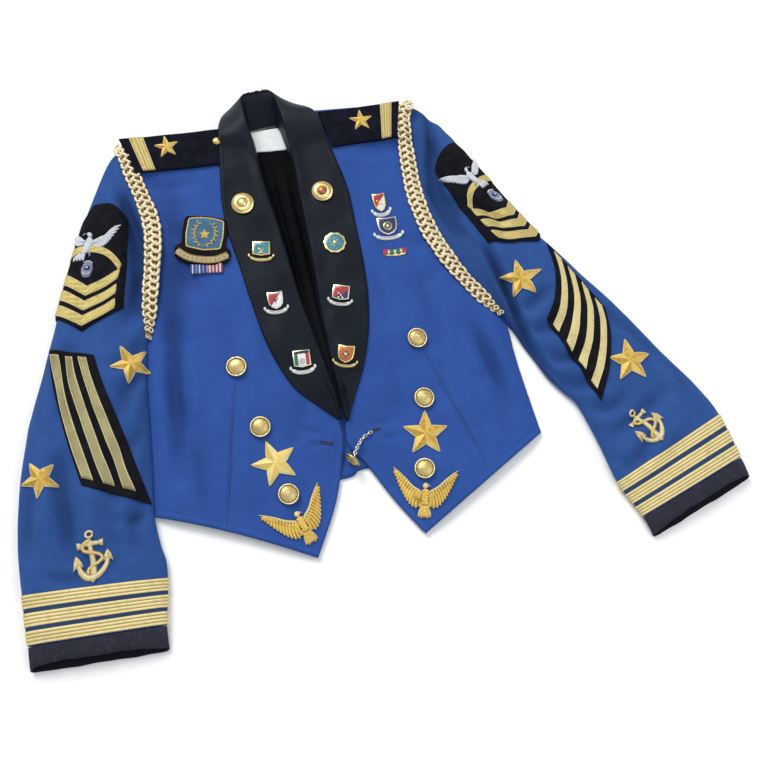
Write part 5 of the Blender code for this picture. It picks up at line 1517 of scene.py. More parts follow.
def closed_weights(count, steps):
    """How much each of the ring's few points counts at each of its many, along a closed smooth curve."""
    weights = np.zeros((steps.size, count))
    first = np.floor(steps).astype(int)
    part = steps - first
    shares = (
        -0.5 * part + part**2 - 0.5 * part**3,
        1 - 2.5 * part**2 + 1.5 * part**3,
        0.5 * part + 2 * part**2 - 1.5 * part**3,
        -0.5 * part**2 + 0.5 * part**3,
    )
    for offset, share in zip((-1, 0, 1, 2), shares):
        np.add.at(weights, (np.arange(steps.size), (first + offset) % count), share)
    return weights


@lru_cache(maxsize=None)
def sleeve_surface(side):
    """A sleeve as fine rings from the armhole to the wrist."""
    count = (SLEEVE_RINGS - 1) * SLEEVE_FINE + 1
    rows = smooth_rows(SLEEVES[side], count)
    across, crown = np.array(RING_TOP + RING_FLOOR).T
    upper = np.arange(len(across)) < len(RING_TOP)
    armhole = armhole_line(FRONTS[side], across)
    outer, inner = rows[0, 0:2], rows[0, 2:4]
    bow = armhole[:, :2] - (outer + (inner - outer) * across[:, None])
    bow[:, 0] += OUTWARD[side] * SEAM
    coarse = np.zeros((count, len(across), 3))
    for i, (outer_x, outer_y, inner_x, inner_y, follow, height, floor) in enumerate(rows):
        start, end = np.array([outer_x, outer_y]), np.array([inner_x, inner_y])
        follow = min(max(follow, 0.0), 1.0)
        coarse[i, :, :2] = start + (end - start) * across[:, None] + bow * follow
        floor = min(max(floor, 0.0), BRAID_BAND_THICK + 0.5)
        rounded = floor + (height - floor) * crown
        seamed = np.where(upper, armhole[:, 2] - 0.2, rounded)
        coarse[i, :, 2] = rounded * (1 - follow) + seamed * follow
    middle = coarse[count // 2]
    dense = np.linspace(0, len(across), 720, endpoint=False)
    outline = closed_weights(len(across), dense) @ middle
    reached = run_lengths(np.vstack([outline, outline[:1]]))
    steps = np.interp(
        np.linspace(0, reached[-1], SLEEVE_COLUMNS, endpoint=False), reached, np.append(dense, len(across))
    )
    grid = np.einsum("ks,rsc->rkc", closed_weights(len(across), steps), coarse)
    grid[..., 2] = np.maximum(grid[..., 2], np.minimum(rows[:, None, 6], BRAID_BAND_THICK + 0.5))
    top = np.clip((grid[..., 2] - 2.0) / 14, 0, 1)
    down = np.linspace(0, 1, count)[:, None]
    calm = eased(0.03, down) * eased(0.16, 1 - down)
    low = SLEEVE_FOLD_DEPTH[side] * folded(grid, SLEEVE_FOLDS[side])
    low = low + wander(grid, 60, 0.7, 21 if side == "right" else 22) + wander(grid, 24, 0.2, 23)
    low += seam_groove(grid, *SLEEVE_SEAMS[side])
    shift = TROUGH_SHARE * pressed(grid, SLEEVE_TROUGHS)
    grid[..., 2] -= (low * (0.25 + 0.75 * calm) + shift) * top
    grid[..., 2] = np.maximum(grid[..., 2], 0.0)
    surface = Surface(grid, ring=True)
    surface.middle = int(np.argmin(np.abs(steps - 5)))
    return surface


def pressed(points, troughs):
    """Lowers the points along each trough, by less the further they lie from it."""
    low = np.zeros(points.shape[:-1])
    for from_x, from_y, to_x, to_y, depth, reach in troughs:
        start = np.array([from_x, from_y])
        _, away = from_run(points, start, np.array([to_x, to_y]) - start)
        low += depth * bump(away, 0, reach)
    return low


@lru_cache(maxsize=None)
def sleeve_skin(side):
    """A sleeve's outer face for the trim that wraps round it."""
    surface = sleeve_surface(side)
    return Skin(surface.grid, surface.middle)


@lru_cache(maxsize=None)
def back_surface():
    """The back panel: flat under the fronts, turned up at the shoulders, seen at the hem."""
    sides, columns = 61, 91
    right_rows, left_rows = (smooth_rows(FRONTS[side], FRONT_ROWS) for side in SIDES)
    right_side = even_line(right_rows[:, :2], sides) + (BACK_INSET, 0)
    left_side = even_line(left_rows[:, :2], sides) - (BACK_INSET, 0)
    across = np.linspace(0, 1, columns)
    hem = smooth_rows(BACK_HEM, columns)
    neck = np.vstack([right_rows[0, :2], smooth_rows(BACK_NECK, 9), left_rows[0, :2]])
    lengths = run_lengths(neck)
    neck = read_off(neck, lengths, across * lengths[-1])
    part = np.linspace(0, 1, sides)[:, None, None]
    straight = right_side[:, None] + (left_side - right_side)[:, None] * across[None, :, None]
    top = neck - (neck[0] + (neck[-1] - neck[0]) * across[:, None])
    bottom = hem - (hem[0] + (hem[-1] - hem[0]) * across[:, None])
    grid = np.zeros((sides, columns, 3))
    grid[..., :2] = straight + top[None] * (1 - part) ** 2 + bottom[None] * part**2
    grid[..., 2] = CLOTH
    hem_away = np.linalg.norm(grid - grid[-1:], axis=-1)
    grid[..., 2] += 1.3 * bump(hem_away, 5, 4.0) * bump(grid[..., 0], -35, 22)
    for j, place in enumerate(across):
        side = right_rows if place < 0.5 else left_rows
        inwards = (grid[0, j, :2] - side[0, :2]) @ (side[0, 3:5] - side[0, :2])
        inwards /= ((side[0, 3:5] - side[0, :2]) ** 2).sum()
        if 0 <= inwards <= 1.0:
            seam = side[0, 2] + (side[0, 5] - side[0, 2]) * inwards
            base = grid[0, j, :2].copy()
            turned = [
                (3.0, seam - 2.0), (5.4, seam - 6.0), (7.0, seam * 0.5), (7.0, CLOTH + 5.0),
                (6.2, CLOTH + 1.6)
            ]
            for row, (up, height) in enumerate([*turned, (4.0, CLOTH + 0.5)]):
                grid[row, j, :2] = base + (0.0, up)
                grid[row, j, 2] = height
    return Surface(grid)


COLLAR_FINE = 132
COLLAR_ACROSS = 42


@lru_cache(maxsize=None)
def collar_surface(side):
    """One half of the shawl collar: the lapel laid on the front, its roll and the stand behind."""
    front = front_surface(side)
    rows = smooth_rows(COLLARS[side], COLLAR_FINE)
    few = np.zeros((COLLAR_FINE, len(ACROSS_COLLAR) + 4, 3))
    last = len(ACROSS_COLLAR)
    for i, row in enumerate(rows):
        outer, fold, seam = row[0:3], row[3:6], row[6:9]
        for j, (across, loft) in enumerate(zip(ACROSS_COLLAR, COLLAR_LOFT)):
            point = outer + (fold - outer) * across
            under = height_under(point[0], point[1], [front])
            least = under + GAP + STIFF_GAP + SATIN + loft if under > 0 else 0.0
            point[2] = max(point[2] if under == 0 or outer[2] > 0 else 0.0, least)
            few[i, j] = point
        crest = max(few[i, last - 1, 2], fold[2] - 1.0)
        few[i, last - 1, 2] = crest - 0.3
        few[i, last] = (fold[0], fold[1], crest - 0.4)
        down = seam - fold
        few[i, last + 1] = (fold[0] + down[0] * 0.25, fold[1] + down[1] * 0.25, crest - 2.6)
        few[i, last + 2] = (fold[0] + down[0] * 0.6, fold[1] + down[1] * 0.6, crest * 0.45 + seam[2] * 0.55)
        few[i, last + 3] = seam
    for _ in range(2):
        few[1:-1, :, 2] = np.maximum(
            few[1:-1, :, 2], (few[:-2, :, 2] + 2 * few[1:-1, :, 2] + few[2:, :, 2]) / 4
        )
    grid = np.array([even_line(smooth_rows(line, 160), COLLAR_ACROSS) for line in few])
    down = np.linspace(0, 1, COLLAR_FINE)[:, None]
    across = np.linspace(0, 1, COLLAR_ACROSS)[None, :]
    outer_edge = bump(across, 0.045, 0.035) * 0.45 - bump(across, 0, 0.015) * 0.5
    ripple = 0.5 * np.sin(down * 31 + across * 4) * bump(across, 0.5, 0.22)
    ripple = ripple + 0.35 * np.sin(down * 74 + across * 7 + 1.0) * bump(across, 0.7, 0.2)
    grid[..., 2] += outer_edge + ripple * eased(0.1, down) * eased(0.05, 1 - down)
    onwards = unit((grid[-1] - grid[-6])[:, :2].mean(axis=0))
    for row, share in enumerate((1.2, 0.9, 0.6, 0.4, 0.2)):
        grid[-1 - row, :, :2] += onwards * share * (1 + across.T**2)
    return Surface(grid)


@lru_cache(maxsize=None)
def lining_surface():
    """The lining between the lapels, with its long folds."""
    rows = smooth_rows(LINING_ROWS, 96)
    across = np.linspace(0, 1, 72)
    grid = np.zeros((96, 72, 3))
    right, left = rows[:, 0:2], rows[:, 2:4]
    grid[..., :2] = right[:, None] + (left - right)[:, None] * across[None, :, None]
    width = np.linalg.norm(left - right, axis=1)[:, None]
    down = np.linspace(0, 1, 96)[:, None]
    deep = np.minimum(1.0, width / 46) * eased(0.3, down - 0.10)
    slant = np.sin(down * 5.0) * 0.03
    folds = sum(rise * bump(across[None, :] + slant, at, 0.055) for at, rise in LINING_FOLDS)
    grid[..., 2] = rows[:, 4:5] + folds * deep * 0.7
    grid[..., 2] = np.maximum(grid[..., 2], CLOTH + GAP + LINING)
    return Surface(grid)


def sleeve_ring(side, from_end, lift):
    """A ring round the sleeve at a distance from its end, moved out from its wall."""
    surface = sleeve_surface(side)
    lengths = run_lengths(surface.grid.mean(axis=1)[:, :2])
    step = float(np.interp(lengths[-1] - from_end, lengths, np.arange(len(lengths))))
    first = min(int(step), len(lengths) - 2)
    ring = surface.grid[first] * (first + 1 - step) + surface.grid[first + 1] * (step - first)
    normal = unit(surface.normals[first] * (first + 1 - step) + surface.normals[first + 1] * (step - first))
    return ring + normal * lift


def sleeve_rings(side, places):
    """Rings round the sleeve, from (distance from its end, lift) pairs, none below the floor."""
    grid = np.array([sleeve_ring(side, from_end, lift) for from_end, lift in places])
    grid[..., 2] = np.maximum(grid[..., 2], 0.0)
    return grid


def area_of(grid, ring):
    """The area of a grid of quads, in square metres."""
    quads = grid_quads(grid.shape[0], grid.shape[1], ring)
    points = grid.reshape(-1, 3) * MM
    a, b, c, d = (points[quads[:, corner]] for corner in range(4))
    first, second = np.cross(b - a, c - a), np.cross(c - a, d - a)
    return float(0.5 * (np.linalg.norm(first, axis=1) + np.linalg.norm(second, axis=1)).sum())


def settle(obj, slot, *nodes):
    """Says which solids a piece stands for and what it rides on; its slot is not used."""
    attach(obj, "root")
    if nodes:
        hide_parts(*nodes)
    return obj


def cloth_piece(name, finishes, grid, thickness, slot, ring=False, node=None, shade=None):
    """A sheet of cloth with its wall and what it stands for; how large it was cut is worked out but not kept.
    """
    piece = Piece(name, *finishes)
    piece.grid(grid, ring)
    obj = piece.make()
    if shade:
        note_shade(obj, *shade)
    walled(obj, thickness, len(finishes) - 1)
    settle(obj, slot, *([node] if node else []))
    if node:
        cloth_sheet(grid, ring)


def cloth_sheet(grid, ring):
    """Works out how large the piece was cut, from the lengths of its own rows and columns, but does not keep
    it.
    """
    wide = np.linalg.norm(np.diff(grid, axis=1), axis=2).sum(axis=1)
    if ring:
        wide = wide + np.linalg.norm(grid[:, 0] - grid[:, -1], axis=1)
    long = np.linalg.norm(np.diff(grid, axis=0), axis=2).sum(axis=0)
    flat = (round(float(wide.max()) * MM, 3), round(float(long.max()) * MM, 3))
    area = min(area_of(grid, ring), flat[0] * flat[1])


class JacketOperator:
    """What every operator of the jacket shares"""

    bl_options = {"REGISTER"}


class JACKET_OT_back(JacketOperator, bpy.types.Operator):
    """Back panel, flat under the fronts and turned up at the shoulders"""

    bl_idname = "jacket.back"
    bl_label = "Back panel"

    def execute(self, context):
        thick = context.scene.jacket_sizes.cloth / MM
        cloth_piece("Back_panel", ["Wool_body"], back_surface().grid, thick, "wool_blue", node="Back")
        return {"FINISHED"}


class JACKET_OT_fronts(JacketOperator, bpy.types.Operator):
    """Both fronts, with their waist darts, folds and turned edges"""

    bl_idname = "jacket.fronts"
    bl_label = "Fronts"

    def execute(self, context):
        thick = context.scene.jacket_sizes.cloth / MM
        for side in SIDES:
            shade = (FRONT_FOLDS + [(DARTS[side], 1.2, 4.0)], f"front_{side}")
            cloth_piece(f"Front_panel_{side}", ["Wool_body", "Lining_black"], front_surface(side).grid, thick,
                        "wool_blue", node=f"Front_{side}", shade=shade)
        return {"FINISHED"}


class JACKET_OT_sleeves(JacketOperator, bpy.types.Operator):
    """Both sleeves, from the armhole to the binding"""

    bl_idname = "jacket.sleeves"
    bl_label = "Sleeves"

    def execute(self, context):
        thick = context.scene.jacket_sizes.cloth / MM
        for side in SIDES:
            finishes, shade = ["Wool_sleeve", "Lining_black"], (SLEEVE_FOLDS[side], f"sleeve_{side}")
            grid = sleeve_surface(side).grid
            name = f"Sleeve_{side}"
            cloth_piece(f"{name}_cloth", finishes, grid, thick, "wool_blue", True, name, shade)
        return {"FINISHED"}


class JACKET_OT_cuffs(JacketOperator, bpy.types.Operator):
    """Ribbed black binding at each wrist, its under layer reaching further out"""

    bl_idname = "jacket.cuffs"
    bl_label = "Cuff bindings"

    def execute(self, context):
        for side in SIDES:
            surface = sleeve_surface(side)
            last = surface.grid[-1]
            along = last.mean(axis=0) - surface.grid[-9].mean(axis=0)
            along[2] = 0.0
            along = unit(along)
            lean = np.clip((last[:, 2].max() - last[:, 2]) / last[:, 2].max(), 0, 1)
            turns = np.linspace(0, 2 * math.pi, len(last), endpoint=False)
            rings = []
            for reach in np.interp(np.linspace(0, 1, CUFF_RINGS), np.linspace(0, 1, 4), CUFF_REACHES):
                share = (reach - CUFF_REACHES[0]) / (CUFF_REACHES[-1] - CUFF_REACHES[0])
                ring = last + along * reach
                ring = ring + along * (lean * reach * CUFF_LEAN)[:, None]
                wave = 0.35 * np.sin(5 * turns + 0.6) + 0.2 * np.sin(11 * turns + 2.0)
                ring = ring + along * (wave * share)[:, None]
                pucker = 0.5 * np.sin(17 * turns + 5 * share) + 0.4 * np.sin(29 * turns - 3 * share)
                height = last[:, 2] * (1 - 0.012 * reach)
                height = height - 0.8 * bump(share, 0.93, 0.05)
                height = height + (0.5 + pucker * 0.8) * math.sin(math.pi * share) - share**6
                ring[:, 2] = np.clip(height, 0.0, last[:, 2].max() + 1.0)
                ring[:, 2] = np.where(last[:, 2] < 2.0, last[:, 2] * (1 - share), ring[:, 2])
                rings.append(ring)
            cloth_piece(f"Cuff_{side}_binding", ["Grosgrain_black", "Lining_black"], np.array(rings), BINDING,
                        "grosgrain_black", True, f"Cuff_{side}")
        return {"FINISHED"}


class JACKET_OT_bands(JacketOperator, bpy.types.Operator):
    """Three ridged gold bands round each wrist"""

    bl_idname = "jacket.bands"
    bl_label = "Wrist bands"

    def execute(self, context):
        sizes = context.scene.jacket_sizes
        width = sizes.band_width / MM
        for side in SIDES:
            for number, middle in enumerate(BAND_MIDDLES, start=1):
                middle = BAND_MIDDLES[-1] + (middle - BAND_MIDDLES[-1]) * BAND_CLOSER[side]
                rings = []
                for share in np.linspace(-0.5, 0.5, 31):
                    ridges = abs(math.sin(math.pi * (share + 0.5) * 4))
                    lift = GAP + 0.45 + 0.36 * ridges**0.7 - 0.2 * (abs(share) > 0.49)
                    rings.append((middle - share * width * BAND_SHOWN, lift))
                cloth_piece(f"Wrist_band_{side}_{number}", ["Band_gold"], sleeve_rings(side, rings), 0.4,
                            "braid_gold", True, f"Sleeve_band_{side}_{number}")
                # A ring of darker wool between each pair of bands: painted shade cast by the bands
                if number > 1:
                    ahead = middle + (BAND_MIDDLES[0] - BAND_MIDDLES[1]) * BETWEEN_BANDS
                    rings = [(ahead - share * 7.0, 0.32) for share in (-0.5, -0.2, 0.2, 0.5)]
                    cloth_piece(f"Band_gap_{side}_{number}", ["Wool_shaded"], sleeve_rings(side, rings), 0.2,
                                "wool_blue", True)
        return {"FINISHED"}


class JACKET_OT_collar(JacketOperator, bpy.types.Operator):
    """Shawl collar in two halves that meet at the centre back"""

    bl_idname = "jacket.collar"
    bl_label = "Shawl collar"

    def execute(self, context):
        for side in SIDES:
            grid = collar_surface(side).grid.copy()
            grid[-1] += unit(grid[-1] - grid[-3]) * 0.8
            cloth_piece(f"Shawl_collar_{side}", ["Facing_silk"], grid, SATIN, "satin_black",
                        node=f"Collar_{side}")
        return {"FINISHED"}


class JACKET_OT_lining(JacketOperator, bpy.types.Operator):
    """Black lining between the lapels and the blank label at the neck"""

    bl_idname = "jacket.lining"
    bl_label = "Lining and label"

    def execute(self, context):
        surface = lining_surface()
        cloth_piece("Body_lining", ["Lining_black"], surface.grid, LINING, "lining_black",
                    node="Lining")
        centre = np.mean(LABEL, axis=0)
        corners = [centre + (np.array(corner) - centre) * (1.3, 1.12) for corner in LABEL]
        rows, columns = np.linspace(0, 1, 22), np.linspace(0, 1, 30)
        first = corners[0] + (corners[3] - corners[0]) * rows[:, None]
        last = corners[1] + (corners[2] - corners[1]) * rows[:, None]
        places = first[:, None] * (1 - columns[:, None]) + last[:, None] * columns[:, None]
        heights = heights_under(places, [surface], centre)
        heights += 1.2 * np.sin(columns * 7.0 + 0.8) * (rows[:, None] ** 1.5)
        for _ in range(6):
            heights[1:-1, 1:-1] = np.maximum(heights[1:-1, 1:-1], mean_beside(heights))
        edge = np.minimum(
            np.minimum(rows, 1 - rows)[:, None], np.minimum(columns * 1.3, (1 - columns) * 1.3)[None]
        )
        heights = heights + GAP + LABEL_THICK + 0.35 * bump(edge, 0.05, 0.04) - 0.3 * bump(edge, 0, 0.02)
        grid = np.concatenate([places, heights[..., None]], axis=2)
        cloth_piece(
            "Blank_label", ["Label_white"], grid, LABEL_THICK, "label_white", node="Label"
        )
        return {"FINISHED"}


SKY_COLOUR = (0.93, 0.96, 1.0, 1.0)
SKY_STRENGTH = 0.5
# Square lights that face the model's origin: name, place and width in metres, power in watts and colour
LIGHTS = (
    ("Window_light", (-1.7, 2.6, 2.6), 1.9, 126.0, (1.0, 0.99, 0.97)),
    ("Fill_light", (1.5, -0.6, 1.6), 1.6, 11.0, (0.95, 0.98, 1.0)),
    ("Top_light", (0.3, 0.1, 2.4), 2.4, 9.0, (1.0, 1.0, 1.0)),
)
# The camera: degrees off the vertical and towards which side, metres away, and its lens and sensor in mm
CAMERA_LEAN = 18
CAMERA_SIDE = 17
CAMERA_AWAY = 1.035
LENS = 42.1875
SENSOR_WIDTH = 36.0


class JACKET_OT_stage(JacketOperator, bpy.types.Operator):
    """Pale floor, soft lights and the camera"""

    bl_idname = "jacket.stage"
    bl_label = "Floor, lights and camera"

    def execute(self, context):
        scene = context.scene
        mesh = bpy.data.meshes.new("Floor_sheet")
        mesh.from_pydata(
            [(-6, -6, -0.0006), (6, -6, -0.0006), (6, 6, -0.0006), (-6, 6, -0.0006)], [], [(0, 1, 2, 3)]
        )
        mesh.materials.append(finish_named("Floor"))
        linked("Floor_sheet", mesh)
        world = bpy.data.worlds.new("Studio")
        scene.world = world
        world.use_nodes = True
        sky = world.node_tree.nodes["Background"].inputs
        sky["Color"].default_value = SKY_COLOUR
        sky["Strength"].default_value = SKY_STRENGTH
        for name, place, size, power, colour in LIGHTS:
            data = bpy.data.lights.new(name, "AREA")
            data.shape = "SQUARE"
            data.size = size
            data.energy = power
            data.color = colour
            aim = Vector(place).to_track_quat("Z", "Y").to_matrix().to_4x4()
            linked(name, data).matrix_world = Matrix.Translation(place) @ aim
        aside, lean, back = (
            Matrix.Rotation(math.radians(angle), 4, axis)
            for angle, axis in ((-CAMERA_SIDE, "Z"), (CAMERA_LEAN, "X"), (CAMERA_SIDE, "Z"))
        )
        turn = aside @ lean @ back
        data = bpy.data.cameras.new("Photo_view")
        data.sensor_width = SENSOR_WIDTH
        data.lens = LENS
        data.clip_start = 0.05
        camera = linked("Photo_view", data)
        camera.matrix_world = Matrix.Translation(
            Vector(SHIFT * MM) + turn @ Vector((0, 0, CAMERA_AWAY))
        ) @ turn
        scene.camera = camera
        scene.view_settings.view_transform = "Standard"
        return {"FINISHED"}


class PatchAt:
    """Sets trim on a stiff four-sided patch. Offsets run from 0 to 1 across it and down it."""

    def __init__(self, rows, surfaces, gap, stiff=10, count=(41, 25)):
        rows = smooth_rows(rows, count[0]) if len(rows) > 2 else even_line(np.array(rows, float), count[0])
        across = np.linspace(0, 1, count[1])
        places = rows[:, None, 0:2] + (rows[:, None, 2:4] - rows[:, None, 0:2]) * across[None, :, None]
        centre = places.reshape(-1, 2).mean(axis=0)
        raw = heights_under(places, surfaces, centre)
        heights = raw
        for _ in range(stiff):
            heights = np.maximum(raw, mean_beside(np.pad(heights, 1, mode="edge")))
        self.grid = np.concatenate([places, (heights + gap)[..., None]], axis=2)
        self.normals = grid_normals(self.grid)
        self.wide = float(np.linalg.norm(self.grid[:, -1] - self.grid[:, 0], axis=1).mean())
        self.long = float(np.linalg.norm(np.diff(self.grid[:, count[1] // 2], axis=0), axis=1).sum())
        self.scale = np.array([self.wide, self.long])

    def put(self, offsets, lifts):
        """Shares of the patch and lifts in mm, on the patch."""
        offsets = np.asarray(offsets, float)
        rows, columns = self.grid.shape[:2]
        down = np.clip(offsets[:, 1], 0, 1) * (rows - 1.001)
        right = np.clip(offsets[:, 0], 0, 1) * (columns - 1.001)
        facing = unit(read_grid(self.normals, down, right))
        return read_grid(self.grid, down, right) + facing * np.broadcast_to(lifts, len(offsets))[:, None]


class Facing:
    """Holds a stiff piece square to a direction of its own."""

    def __init__(self, centre, direction):
        self.centre = np.asarray(centre, float)
        self.up = unit(np.asarray(direction, float))
        side = unit(np.cross((0.0, 0.0, 1.0), self.up))
        self.axes = np.array([side, np.cross(self.up, side)])

    def put(self, offsets, lifts):
        """Places and lifts in mm, square to its direction."""
        offsets = np.asarray(offsets, float)
        return self.centre + offsets @ self.axes + np.outer(np.broadcast_to(lifts, len(offsets)), self.up)


def soft_slab(piece, placer, thick, crown, roll, shape):
    """A patch's own body: rolled edges, a slight crown and a closed underside."""
    rows, columns = shape
    down, right = clustered(rows, 0.7), clustered(columns, 0.7)
    s, t = np.meshgrid(right, down)
    offsets = np.stack([s, t], axis=-1).reshape(-1, 2)
    away = np.minimum.reduce([s * placer.wide, (1 - s) * placer.wide, t * placer.long, (1 - t) * placer.long])
    inner = roll - np.clip(away, 0, roll)
    top = thick - roll + np.sqrt(
        np.maximum(roll**2 - inner**2, 0)
    ) + crown * (1 - (2 * s - 1) ** 2) * (1 - (2 * t - 1) ** 4)
    points = np.vstack([placer.put(offsets, top.reshape(-1)), placer.put(offsets, 0.0)])
    piece.add(points, slab_faces(rows, columns), np.vstack([offsets * placer.scale] * 2))


def strip(
    piece, placer, low_edge, high_edge, rise, slot=0, base=0.0, scale=(1.0, 1.0), shoulder=0.10, sag=0.0
):
    """A flat raised ribbon between two edges of the same number of points."""
    low_edge, high_edge = np.asarray(low_edge, float), np.asarray(high_edge, float)
    shares = np.array([0.0, 0.25 * shoulder, shoulder, 0.3, 0.5, 0.7, 1 - shoulder, 1 - 0.25 * shoulder, 1.0])
    heights = np.array([0.0, 0.7, 1.0, 1.0 - sag, 1.0 - sag, 1.0 - sag, 1.0, 0.7, 0.0]) * rise + base
    heights[[0, -1]] = min(base, 0.0) if base else 0.0
    count = len(low_edge)
    offsets = low_edge[:, None] + (high_edge - low_edge)[:, None] * shares[None, :, None]
    lifts = np.broadcast_to(heights, offsets.shape[:2]).copy()
    points = placer.put(offsets.reshape(-1, 2), lifts.reshape(-1))
    real = offsets * np.asarray(scale, float)
    wide = np.linalg.norm(real[:, -1] - real[:, 0], axis=1).mean()
    uvs = np.stack(np.broadcast_arrays(run_lengths(real[:, 4])[:, None], shares[None, :] * wide), axis=-1)
    piece.add(points, strand_faces(count, len(shares)), uvs.reshape(-1, 2), slot)


def straight_strip(piece, placer, cross, low, high, rise, slot, base, sag=0.0, upright=False):
    """A flat raised ribbon between two constant lines, across its patch or down it."""
    pairs = [(cross, np.full(len(cross), line)) for line in (low, high)]
    edges = [np.column_stack(pair[::-1] if upright else pair) for pair in pairs]
    strip(piece, placer, *edges, rise, slot, base=base, scale=placer.scale, sag=sag)


def repeat_tree():
    """Nodes that set a small shape along paths at an even pitch, facing off the cloth."""
    if "Repeat_along_path" in bpy.data.node_groups:
        return bpy.data.node_groups["Repeat_along_path"]
    tree = bpy.data.node_groups.new("Repeat_along_path", "GeometryNodeTree")
    for name, kind, default in (
        (
            "Path", "NodeSocketGeometry", None
        ), ("Shape", "NodeSocketObject", None), ("Pitch", "NodeSocketFloat", 0.006),
        ("Turn each", "NodeSocketFloat", 0.0), (
            "Unevenness", "NodeSocketFloat", 0.04
        ), ("Seed", "NodeSocketInt", 1),
        ("Finish", "NodeSocketMaterial", None),
    ):
        socket = tree.interface.new_socket(name, in_out="INPUT", socket_type=kind)
        if default is not None:
            socket.default_value = default
    tree.interface.new_socket("Pieces", in_out="OUTPUT", socket_type="NodeSocketGeometry")

    def node(kind, inputs=None, **settings):
        made = tree.nodes.new(kind)
        for name, value in settings.items():
            setattr(made, name, value)
        for key, value in (inputs or {}).items():
            if isinstance(value, bpy.types.NodeSocket):
                tree.links.new(value, made.inputs[key])
            else:
                made.inputs[key].default_value = value
        return made

    given = node("NodeGroupInput").outputs
    curve = node("GeometryNodeMeshToCurve", {"Mesh": given["Path"]}).outputs[0]
    curve = node(
        "GeometryNodeResampleCurve", {"Curve": curve, "Length": given["Pitch"]}, mode="LENGTH"
    ).outputs[0]
    facing = node("GeometryNodeInputNamedAttribute", {"Name": "facing"}, data_type="FLOAT_VECTOR").outputs[0]
    size = node("GeometryNodeInputNamedAttribute", {"Name": "size"}, data_type="FLOAT").outputs[0]
    tangent = node("GeometryNodeInputTangent").outputs[0]
    upright = node("FunctionNodeAlignRotationToVector", {"Vector": facing}, axis="Z").outputs[0]
    along = node(
        "FunctionNodeAlignRotationToVector", {"Rotation": upright, "Vector": tangent}, axis="X",
        pivot_axis="Z"
    ).outputs[0]
    index = node("GeometryNodeInputIndex").outputs[0]
    roll = node("ShaderNodeMath", {0: index, 1: given["Turn each"]}, operation="MULTIPLY").outputs[0]
    rolled = node(
        "FunctionNodeEulerToRotation", {0: node("ShaderNodeCombineXYZ", {"X": roll}).outputs[0]}
    ).outputs[0]
    turned = node(
        "FunctionNodeRotateRotation", {"Rotation": along, "Rotate By": rolled}, rotation_space="LOCAL"
    ).outputs[0]
    least = node("ShaderNodeMath", {0: 1.0, 1: given["Unevenness"]}, operation="SUBTRACT").outputs[0]
    most = node("ShaderNodeMath", {0: 1.0, 1: given["Unevenness"]}, operation="ADD").outputs[0]
    uneven = node(
        "FunctionNodeRandomValue", {2: least, 3: most, "Seed": given["Seed"]}, data_type="FLOAT"
    ).outputs[1]
    scale = node("ShaderNodeMath", {0: size, 1: uneven}, operation="MULTIPLY").outputs[0]
    shape = node(
        "GeometryNodeObjectInfo", {"Object": given["Shape"]}, transform_space="ORIGINAL"
    ).outputs["Geometry"]
    many = node(
        "GeometryNodeInstanceOnPoints",
        {"Points": curve, "Instance": shape, "Rotation": turned, "Scale": scale}
    ).outputs[0]
    real = node("GeometryNodeRealizeInstances", {"Geometry": many}).outputs[0]
    finished = node("GeometryNodeSetMaterial", {"Geometry": real, "Material": given["Finish"]}).outputs[0]
    node("NodeGroupOutput", {0: finished})
    return tree


def repeated(name, paths, shape, pitch, finish, turn=0.0, unevenness=0.04, seed=1):
    """A plain mesh of a small shape set along paths of (points, facings, sizes, closed)."""
    points, edges, facings, sizes = [], [], [], []
    for line, facing, size, closed in paths:
        first = len(points)
        points += ((np.asarray(line) + SHIFT) * MM).tolist()
        facings += np.broadcast_to(facing, (len(line), 3)).tolist()
        sizes += np.broadcast_to(size, len(line)).tolist()
        edges += [(first + i, first + i + 1) for i in range(len(line) - 1)]
        if closed:
            edges.append((len(points) - 1, first))
    mesh = bpy.data.meshes.new(name)
    mesh.from_pydata(points, edges, [])
    mesh.attributes.new("facing", "FLOAT_VECTOR", "POINT").data.foreach_set(
        "vector", np.array(facings, np.float32).ravel()
    )
    mesh.attributes.new("size", "FLOAT", "POINT").data.foreach_set("value", np.array(sizes, np.float32))
    path = linked(name + "_path", mesh)
    tree = repeat_tree()
    modifier = path.modifiers.new("Repeat", "NODES")
    modifier.node_group = tree
    values = {
        "Shape": shape, "Pitch": pitch * MM, "Turn each": turn, "Unevenness": unevenness, "Seed": seed,
        "Finish": finish_named(finish)
    }
    for item in tree.interface.items_tree:
        if item.item_type == "SOCKET" and item.in_out == "INPUT" and item.name in values:
            modifier[item.identifier] = values[item.name]
    bpy.context.view_layer.update()
    graph = bpy.context.evaluated_depsgraph_get()
    made = bpy.data.meshes.new_from_object(
        path.evaluated_get(graph), preserve_all_data_layers=True, depsgraph=graph
    )
    made.name = name
    for leftover in ("facing", "size"):
        if leftover in made.attributes:
            made.attributes.remove(made.attributes[leftover])
    made.materials.clear()
    made.materials.append(finish_named(finish))
    made.polygons.foreach_set("material_index", np.zeros(len(made.polygons), np.int32))
    drop(path)
    made.shade_smooth()
    return linked(name, made)


